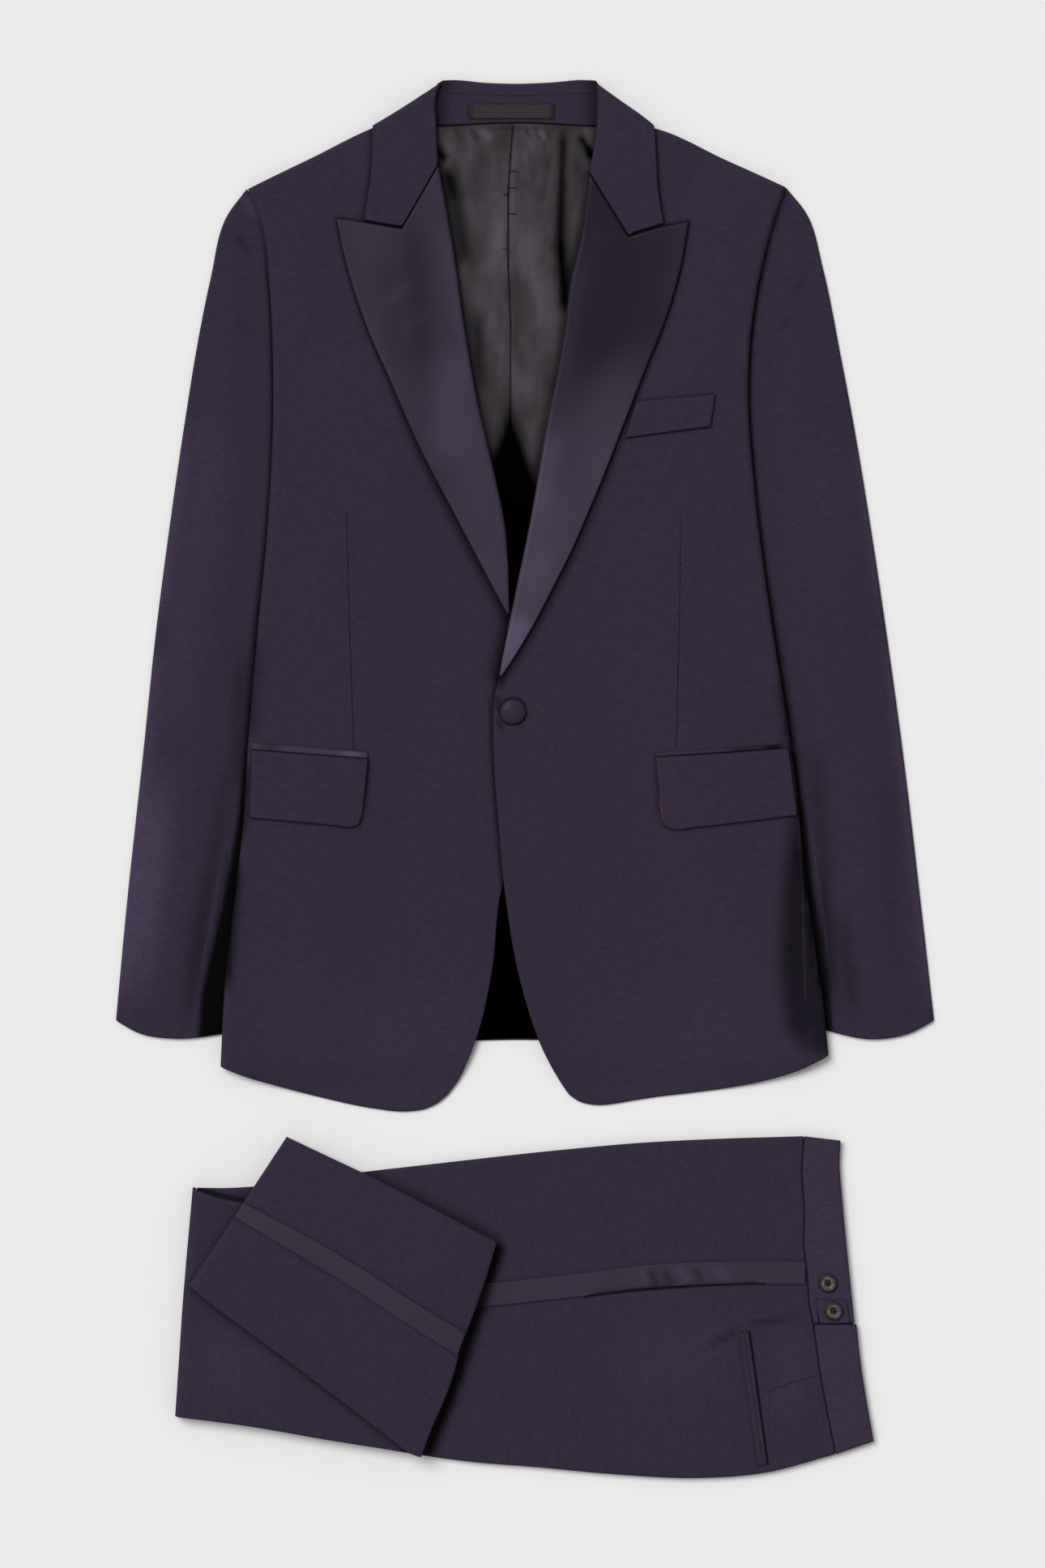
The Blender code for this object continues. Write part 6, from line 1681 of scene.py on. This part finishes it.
LEG_SHADE = together(
    beside_piece(END_CORE, 5, 0.45), beside_piece(SIDE_STRIPE, 1.1, 0.25),
    beside_piece(TURN, 4, 0.75),
    strokes(
        *HEM_SHADOW, (140, -456, 176, -435, -0.45, 2.6, 14), (172, -436, 222, -427, -0.4, 2.4, 14),
        (202, -520, 218, -430, 0.16, 16, 24), (60, -474, 176, -452, 0.15, 30, 40)))
TURN_SHADE = together(
    beside_piece(END_CORE, 4, 0.45),
    strokes((-236, -420, -232, -512, 0.17, 36, 40)))
END_SHADE = beside_piece(END_STRIPE, 1.1, 0.25)
STRIPE_SHADE = strokes(
    *HEM_SHADOW, (93, -388, 97, -404, 0.26, 3, 4), (99, -390, 105, -405, -0.45, 3, 4),
    (110, -390, 119, -406, -0.4, 3.6, 4), (121, -388, 132, -402, 0.34, 4, 4),
    (134, -388, 142, -402, -0.34, 3, 4), (150, -387, 164, -402, 0.28, 5, 4),
    (50, -411, 120, -404, -0.35, 3, 10), (120, -404, 188, -401, -0.25, 2, 10))


# ---------------- the pieces
class TUXEDO_OT_back(bpy.types.Operator):
    """Lays the two halves of the back, and the lining over them"""
    bl_idname = "tuxedo.back"
    bl_label = "Back and lining"

    def execute(self, context):
        for side, patch, mark in (("right", BACK_RIGHT, len(BACK_SHOULDER_RIGHT)),
                                  ("left", BACK_LEFT, len(NECK_LEFT) - 1)):
            cut_and_lay("back_" + side, patch, back_top, CLOTH, wool(), cells("hidden_cell"),
                        marks=(share_at(patch.top, mark),),
                        rests_on=("floor", "top_sleeve_" + side, "collar_fall"))
        cut_and_lay("back_lining", LINING_PATCH, gathered_lining, LINING, lining_material(),
                    cells("trim_cell", 1.0, 1.5), "lining", shade=LINING_SHADE,
                    rests_on=("back_right", "back_left"))
        return {"FINISHED"}


class TUXEDO_OT_fronts(bpy.types.Operator):
    """Lays the right front, and the left front over it, with their rolled side and shoulder seams"""
    bl_idname = "tuxedo.fronts"
    bl_label = "Fronts"

    def execute(self, context):
        fold = Roll(5.0, body_foot)
        cell = cells("panel_cell", 0.85, 0.85)
        cut_and_lay("front_right", FRONT_RIGHT, front_right_top, FRONT,
                    wool("wool_right_front", DART_RIGHT), cell, left=fold, top=fold,
                    shade=RIGHT_FRONT_SHADE, rests_on=("back_right", "back_lining"))
        marks = DART_LEFT + SIDE_PLEATS + BUTTON_SHADOW
        cut_and_lay("front_left", FRONT_LEFT, front_left_top, FRONT, wool("wool_left_front", marks), cell,
                    right=fold, top=fold, shade=LEFT_FRONT_SHADE,
                    rests_on=("back_left", "back_lining", "front_right"))
        return {"FINISHED"}


class TUXEDO_OT_sleeves(bpy.types.Operator):
    """Lays the under and top sleeves beside and under the body"""
    bl_idname = "tuxedo.sleeves"
    bl_label = "Sleeves"

    def execute(self, context):
        fold = Roll(3.0, None)
        pairs = (("right", SLEEVE_RIGHT, UNDER_SLEEVE_RIGHT, -7.0, RIGHT_SLEEVE_SHADE, RIGHT_SLEEVE_MARKS),
                 ("left", SLEEVE_LEFT, UNDER_SLEEVE_LEFT, 7.0, LEFT_SLEEVE_SHADE, LEFT_SLEEVE_MARKS))
        for side, patch, under, grain, shade, marks in pairs:
            cut_and_lay("top_sleeve_" + side, patch, sleeve_top(patch.outline()), CLOTH,
                        wool("wool_sleeve_" + side, marks), cells("panel_cell"), left=fold, right=fold,
                        grain=grain, shade=shade, rests_on=("under_sleeve_" + side,))
            cut_and_lay("under_sleeve_" + side, under, level(UNDER_SLEEVE), UNDER_SLEEVE, wool(),
                        cells("hidden_cell"), grain=grain, rests_on=("floor",))
        return {"FINISHED"}


class TUXEDO_OT_collar(bpy.types.Operator):
    """Lays the collar's fall, stand and two leaves, and the bare label on the stand"""
    bl_idname = "tuxedo.collar"
    bl_label = "Collar and label"

    def execute(self, context):
        cell = cells("trim_cell")
        shoulder, neck = Roll(4.5, REST), Roll(3.4, leaf_foot)
        cut_and_lay("collar_fall", COLLAR_FALL, level(COLLAR), COLLAR, wool(), cells("hidden_cell"),
                    rests_on=("floor",))
        cut_and_lay("collar_stand", STAND_PATCH, stand_top, STAND, wool("wool_stand", STAND_LINE), cell,
                    top=Roll(3.4, REST), shade=STAND_SHADE, rests_on=("back_lining", "collar_fall"))
        for side, patch, front, mark, inner in (("right", LEAF_RIGHT, front_right_top, 0.33, {"right": neck}),
                                                ("left", LEAF_LEFT, front_left_top, 0.66, {"left": neck})):
            cut_and_lay("collar_leaf_" + side, patch, raised(front, LIE + COLLAR), COLLAR, wool(), cell,
                        top=shoulder, marks=(mark,), rests_on=("front_" + side, "collar_stand"), **inner)
        cut_and_lay("neck_label", four_sided(LABEL), raised(stand_top, REST + LABEL_CLOTH), LABEL_CLOTH,
                    label_material(), cells("trim_cell", 0.8, 0.8), "label", rests_on=("collar_stand",))
        return {"FINISHED"}


class TUXEDO_OT_lapels(bpy.types.Operator):
    """Lays the two satin peak lapels, rolled over at the opening"""
    bl_idname = "tuxedo.lapels"
    bl_label = "Lapels"

    def execute(self, context):
        sides = (
            ("right", LAPEL_RIGHT, front_right_top, PEAK_RIGHT, -20.0, 176.0, RIGHT_LAPEL_SHADE,
             {"right": Roll(3.4, roll_foot)}),
            ("left", LAPEL_LEFT, front_left_top, GORGE_LEFT, 20.0, 114.0, LEFT_LAPEL_SHADE,
             {"left": Roll(3.4, lap_foot)}))
        for side, patch, front, before, grain, up_to, shade, roll in sides:
            cut_and_lay("lapel_" + side, patch, raised(front, LIE + SATIN), SATIN, satin(), cells("trim_cell"),
                        "satin", marks=(share_at(patch.top, len(run(before)) - 1),), grain=grain,
                        floor=on_front(front, up_to), shade=shade, rests_on=("front_" + side,), **roll)
        return {"FINISHED"}


class TUXEDO_OT_pockets(bpy.types.Operator):
    """Lays the flaps, the satin jets above them and the breast welt"""
    bl_idname = "tuxedo.pockets"
    bl_label = "Pockets"

    def execute(self, context):
        fronts = {"right": front_right_top, "left": front_left_top}
        for side, patch, marks in (("right", FLAP_RIGHT_PATCH, FLAP_EDGE_RIGHT),
                                   ("left", FLAP_LEFT_PATCH, FLAP_EDGE_LEFT)):
            cut_and_lay("flap_" + side, patch, raised(fronts[side], LIE + FLAP), FLAP,
                        wool(f"wool_{side}_flap", marks), cells("trim_cell"), rests_on=("front_" + side,))
        # The right jet is painted lighter (1.35) and the left one darker (0.85): painted light and shade on one
        # satin.
        for side, corners, tint, shade in (("right", JET_RIGHT, 1.35, RIGHT_JET_SHADE),
                                           ("left", JET_LEFT, 0.85, LEFT_JET_SHADE)):
            cut_and_lay("jet_" + side, four_sided(corners), raised(fronts[side], LIE + TRIM), TRIM,
                        satin(f"satin_{side}_jet", tint=tint), cells("trim_cell", 1.0, 0.4), "satin",
                        shade=shade, rests_on=("front_" + side,))
        cut_and_lay("breast_welt", four_sided(WELT), raised(front_left_top, LIE + FLAP), FLAP, wool(),
                    cells("trim_cell"), grain=3.0, rests_on=("front_left",))
        return {"FINISHED"}


class TUXEDO_OT_trouser_leg(bpy.types.Operator):
    """Lays the upper leg's front and back, its satin side stripe and the jets of the back pocket"""
    bl_idname = "tuxedo.trouser_leg"
    bl_label = "Trouser leg"

    def execute(self, context):
        crease = Roll(2.4, 3.9)
        cell = cells("panel_cell")
        cut_and_lay("trouser_front", LEG_FRONT, leg_top, CLOTH, wool("wool_trouser_front", WEDGE_SHADOW), cell,
                    top=crease, grain=90.0, shade=LEG_SHADE, rests_on=("leg_layers",))
        marks = TROUSER_DART + POCKET_SLOT + POCKET_MOUTH
        cut_and_lay("trouser_back", LEG_BACK, leg_top, CLOTH, wool("wool_trouser_back", marks), cell,
                    bottom=crease, grain=90.0, shade=LEG_SHADE, rests_on=("leg_layers",))
        cut_and_lay("side_stripe", SIDE_STRIPE, rippled_stripe, TRIM, satin("satin_stripe", POCKET_MOUTH, 1.05),
                    cells("trim_cell"), "satin", shade=STRIPE_SHADE, rests_on=("trouser_front", "trouser_back"))
        cut_and_lay("back_pocket_jet", four_sided(BACK_JET), raised(leg_top, REST + TRIM), TRIM,
                    wool("wool_pocket_jet", JET_LINE), cells("trim_cell", 0.6), grain=90.0,
                    rests_on=("trouser_back",))
        return {"FINISHED"}


class TUXEDO_OT_waistband(bpy.types.Operator):
    """Lays the two parts of the waistband and the side adjuster's tab"""
    bl_idname = "tuxedo.waistband"
    bl_label = "Waistband"

    def execute(self, context):
        waist = Roll(2.6, 3.9)
        cell = cells("trim_cell", 1.2, 1.2)
        band = wool("wool_waistband", tint=1.22)
        waist_top = raised(leg_top, BAND_RISE)
        cut_and_lay("waistband_front", WAIST_FRONT, waist_top, CLOTH + BAND_RISE,
                    wool("wool_waistband_front", TAB_SHADOW, 1.22), cell,
                    top=waist, right=waist, rests_on=("leg_layers",))
        cut_and_lay("waistband_back", WAIST_BACK, waist_top, CLOTH + BAND_RISE, band, cell,
                    bottom=waist, right=waist, grain=8.0, rests_on=("leg_layers",))
        cut_and_lay("adjuster_tab", four_sided(TAB), raised(waist_top, REST + TRIM), TRIM, band,
                    cells("trim_cell"), rests_on=("waistband_front",))
        return {"FINISHED"}


class TUXEDO_OT_turned_legs(bpy.types.Operator):
    """Folds the hidden legs, and lays the cloth turned over at the knee and turned back above it"""
    bl_idname = "tuxedo.turned_legs"
    bl_label = "Turned legs"

    def execute(self, context):
        cell = cells("hidden_cell")[0]
        panel = cells("panel_cell")
        rest = LEG_TOP + REST
        middle_and_low = ((0.34, 0.64, 0.6), (0.0, 0.32, 0.7))
        layers("leg_layers", LEGS_CORE, level(0.0), level(LEG_LAYERS),
               layer_rims((0.68, 1.0, 3.6), *middle_and_low), cell, wool(), 90.0)
        layers("turned_leg_layers", TURN_CORE, level(rest), level(rest + TURN_LAYERS),
               layer_rims((0.68, 1.0, 3.2), *middle_and_low), cell, wool(), 90.0)
        rims = layer_rims((0.68, 1.0, 3.4), (0.42, 0.64, 1.2), (0.2, 0.4, 0.9), (0.0, 0.18, 1.1))
        layers("leg_end_layers", END_CORE, under_end, end_core_top, rims, cell, wool(), 60.0)
        crease = Roll(2.4, TURN_TOP - 3.8)
        cut_and_lay("turned_leg", TURN, level(TURN_TOP), CLOTH, wool(), panel, left=Roll(7.0, 0.5), top=crease,
                    bottom=crease, grain=90.0, held="folded", shade=TURN_SHADE, rests_on=("turned_leg_layers",))
        crease, fold = Roll(2.4, end_skirt), Roll(4.5, raised(under_end, 1.0))
        for side, patch, rolled in (("front", END_FRONT, {"top": crease}),
                                    ("back", END_BACK, {"bottom": crease})):
            cut_and_lay("leg_end_" + side, patch, end_top, CLOTH, wool(), panel, left=fold, grain=60.0,
                        held="folded", shade=END_SHADE, rests_on=("leg_end_layers",), **rolled)
        cut_and_lay("leg_end_stripe", END_STRIPE, raised(end_top, REST + TRIM), TRIM, satin("satin_stripe"),
                    cells("trim_cell"), "satin", rests_on=("leg_end_front", "leg_end_back"))
        return {"FINISHED"}


FRONT_BUTTON_PROFILE = (
    (0.0, 4.25), (1.6, 4.22), (3.4, 4.1), (5.2, 3.88), (6.8, 3.5), (8.1, 3.0), (9.1, 2.4), (9.75, 1.8),
    (10.0, 1.3), (9.8, 0.8), (9.2, 0.45), (7.5, 0.15), (4.0, 0.0), (0.0, 0.0))
HORN_BUTTONS = (
    ("button_waistband", "waistband_button", WAIST_BUTTON, LEG_TOP + BAND_RISE + REST),
    ("button_tab", "tab_button", TAB_BUTTON, LEG_TOP + BAND_RISE + 2 * REST + TRIM))


class TUXEDO_OT_buttons(bpy.types.Operator):
    """Sets the covered front button and the two horn buttons of the waistband"""
    bl_idname = "tuxedo.buttons"
    bl_label = "Buttons"

    def execute(self, context):
        seat = front_left_top(np.array([FRONT_BUTTON.x]), np.array([FRONT_BUTTON.y]))[0] + REST
        front = turned_button("button_front", satin("satin_button", tint=0.8, clouds=0.1), FRONT_BUTTON, seat,
                              FRONT_BUTTON_PROFILE)
        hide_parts("front_button")
        surface_area(front.data) / 2
        for name, node, spot, seat in HORN_BUTTONS:
            horn_button(name, node, horn_material(), spot, seat)
        return {"FINISHED"}


class TUXEDO_OT_stitching(bpy.types.Operator):
    """Sews the buttonhole, bar tacks, button threads and rows of stitches"""
    bl_idname = "tuxedo.stitching"
    bl_label = "Stitching"

    def execute(self, context):
        sizes = context.scene.tuxedo_stitches
        silk = thread_material("buttonhole silk", tuple(context.scene.tuxedo_finish.thread))
        dark = thread_material("dark thread", (0.022, 0.017, 0.028))
        y = FRONT_BUTTON.y + 1.6
        hole = [on_top(front_left_top, [(1.0, y + d), (12.5, y + d)], 0.10) for d in (-0.95, 0.95)]
        eye = [(12.5, y - 0.95), (14.1, y - 1.3), (15.2, y), (14.1, y + 1.3), (12.5, y + 0.95)]
        hole.append(on_top(front_left_top, eye, 0.10, 0.5))
        stitched("buttonhole", [Row(p, 0.55, 1.5, 0.5, 90.0) for p in hole], silk)
        tacks = [Row(on_top(leg_top, ends, 1.5), 0.5, 1.2, 0.4, 90.0)
                 for ends in ([(45.2, -411.6), (48.2, -411.1)], [(186.0, -400.8), (191.5, -400.2)])]
        stitched("pocket_tacks", tacks, thread_material("tack silk", (0.10, 0.055, 0.065)))
        stand = beside(run(STAND_ROLL), -9.0)
        row = on_top(stand_top, [tuple(p) for p in stand[2:-2]], 0.05, 3.0)
        size = (sizes.pitch / MM, sizes.length / MM, sizes.thickness / MM)
        stitched("stand_stitches", [Row(row, *size, 0.0)], dark)
        threads = []
        for *_, spot, seat in HORN_BUTTONS:
            holes = circle(THREAD_HOLES, 8, *spot)[1::2]
            threads += [Row([(*holes[k], seat + 1.75), (*holes[k + 1], seat + 1.75)], 0.45, 0.8, 0.7, 0.0)
                        for k in (0, 2)]
        stitched("button_threads", threads, dark)
        return {"FINISHED"}


# ---------------- the stage
class TUXEDO_OT_stage(bpy.types.Operator):
    """Sets the pale floor, the soft studio light and the camera straight above"""
    bl_idname = "tuxedo.stage"
    bl_label = "Stage"

    def execute(self, context):
        stage = context.scene.tuxedo_stage
        mesh = bpy.data.meshes.new("floor")
        mesh.from_pydata([(-4, -4, 0), (4, -4, 0), (4, 4, 0), (-4, 4, 0)], [], [(0, 1, 2, 3)])
        mat, w, shader = start_material("floor", 0.9, 0.1)
        speck = w.noise(w.node("ShaderNodeTexCoord").outputs["Object"], 40.0)
        w.put(shader["Base Color"], w.toned(stage.floor, w.math("MULTIPLY_ADD", speck, 0.01, 0.995)))
        mesh.materials.append(mat)
        floor = bpy.data.objects.new("floor", mesh)

        world = bpy.data.worlds.new("studio")
        world.use_nodes = True
        world.node_tree.nodes["Background"].inputs["Color"].default_value = (1, 1, 1, 1)
        world.node_tree.nodes["Background"].inputs["Strength"].default_value = stage.sky
        context.scene.world = world
        context.scene.view_settings.view_transform = "Standard"

        data = bpy.data.lights.new("key", "SUN")
        data.energy, data.angle = stage.key, stage.softness
        light = bpy.data.objects.new("key", data)
        light.rotation_euler = Vector((0.50, -0.48, -1.0)).to_track_quat("-Z", "Y").to_euler()

        data = bpy.data.cameras.new("camera")
        data.lens, data.sensor_width = stage.lens, SENSOR
        data.clip_start, data.clip_end = 0.1, 50.0
        camera = bpy.data.objects.new("camera", data)
        camera.location = (-0.0019, -0.0037, 0.008 + stage.framed * stage.lens / SENSOR)
        for obj in (floor, light, camera):
            context.collection.objects.link(obj)
        context.scene.camera = camera
        return {"FINISHED"}


PIECES = (TUXEDO_OT_back, TUXEDO_OT_sleeves, TUXEDO_OT_fronts, TUXEDO_OT_collar, TUXEDO_OT_lapels,
          TUXEDO_OT_pockets, TUXEDO_OT_trouser_leg, TUXEDO_OT_waistband, TUXEDO_OT_turned_legs,
          TUXEDO_OT_buttons, TUXEDO_OT_stitching, TUXEDO_OT_stage)


class TUXEDO_PT_panel(bpy.types.Panel):
    """The sizes, colours and pieces of the tuxedo"""
    bl_idname = "TUXEDO_PT_panel"
    bl_label = "Tuxedo"
    bl_space_type = "VIEW_3D"
    bl_region_type = "UI"
    bl_category = "Tuxedo"

    def draw(self, context):
        for name, kind in SETTINGS.items():
            box = self.layout.box()
            for key in kind.__annotations__:
                box.prop(getattr(context.scene, name), key)
        for piece in PIECES:
            self.layout.operator(piece.bl_idname)


def register():
    for kind in (*SETTINGS.values(), *PIECES, TUXEDO_PT_panel):
        bpy.utils.register_class(kind)
    for name, kind in SETTINGS.items():
        setattr(bpy.types.Scene, name, bpy.props.PointerProperty(type=kind))


def unregister():
    for name in SETTINGS:
        delattr(bpy.types.Scene, name)
    for kind in reversed((*SETTINGS.values(), *PIECES, TUXEDO_PT_panel)):
        bpy.utils.unregister_class(kind)


def main():
    register()
    for piece in PIECES:
        getattr(bpy.ops.tuxedo, piece.bl_idname.split(".")[1])()


if __name__ == "__main__":
    main()
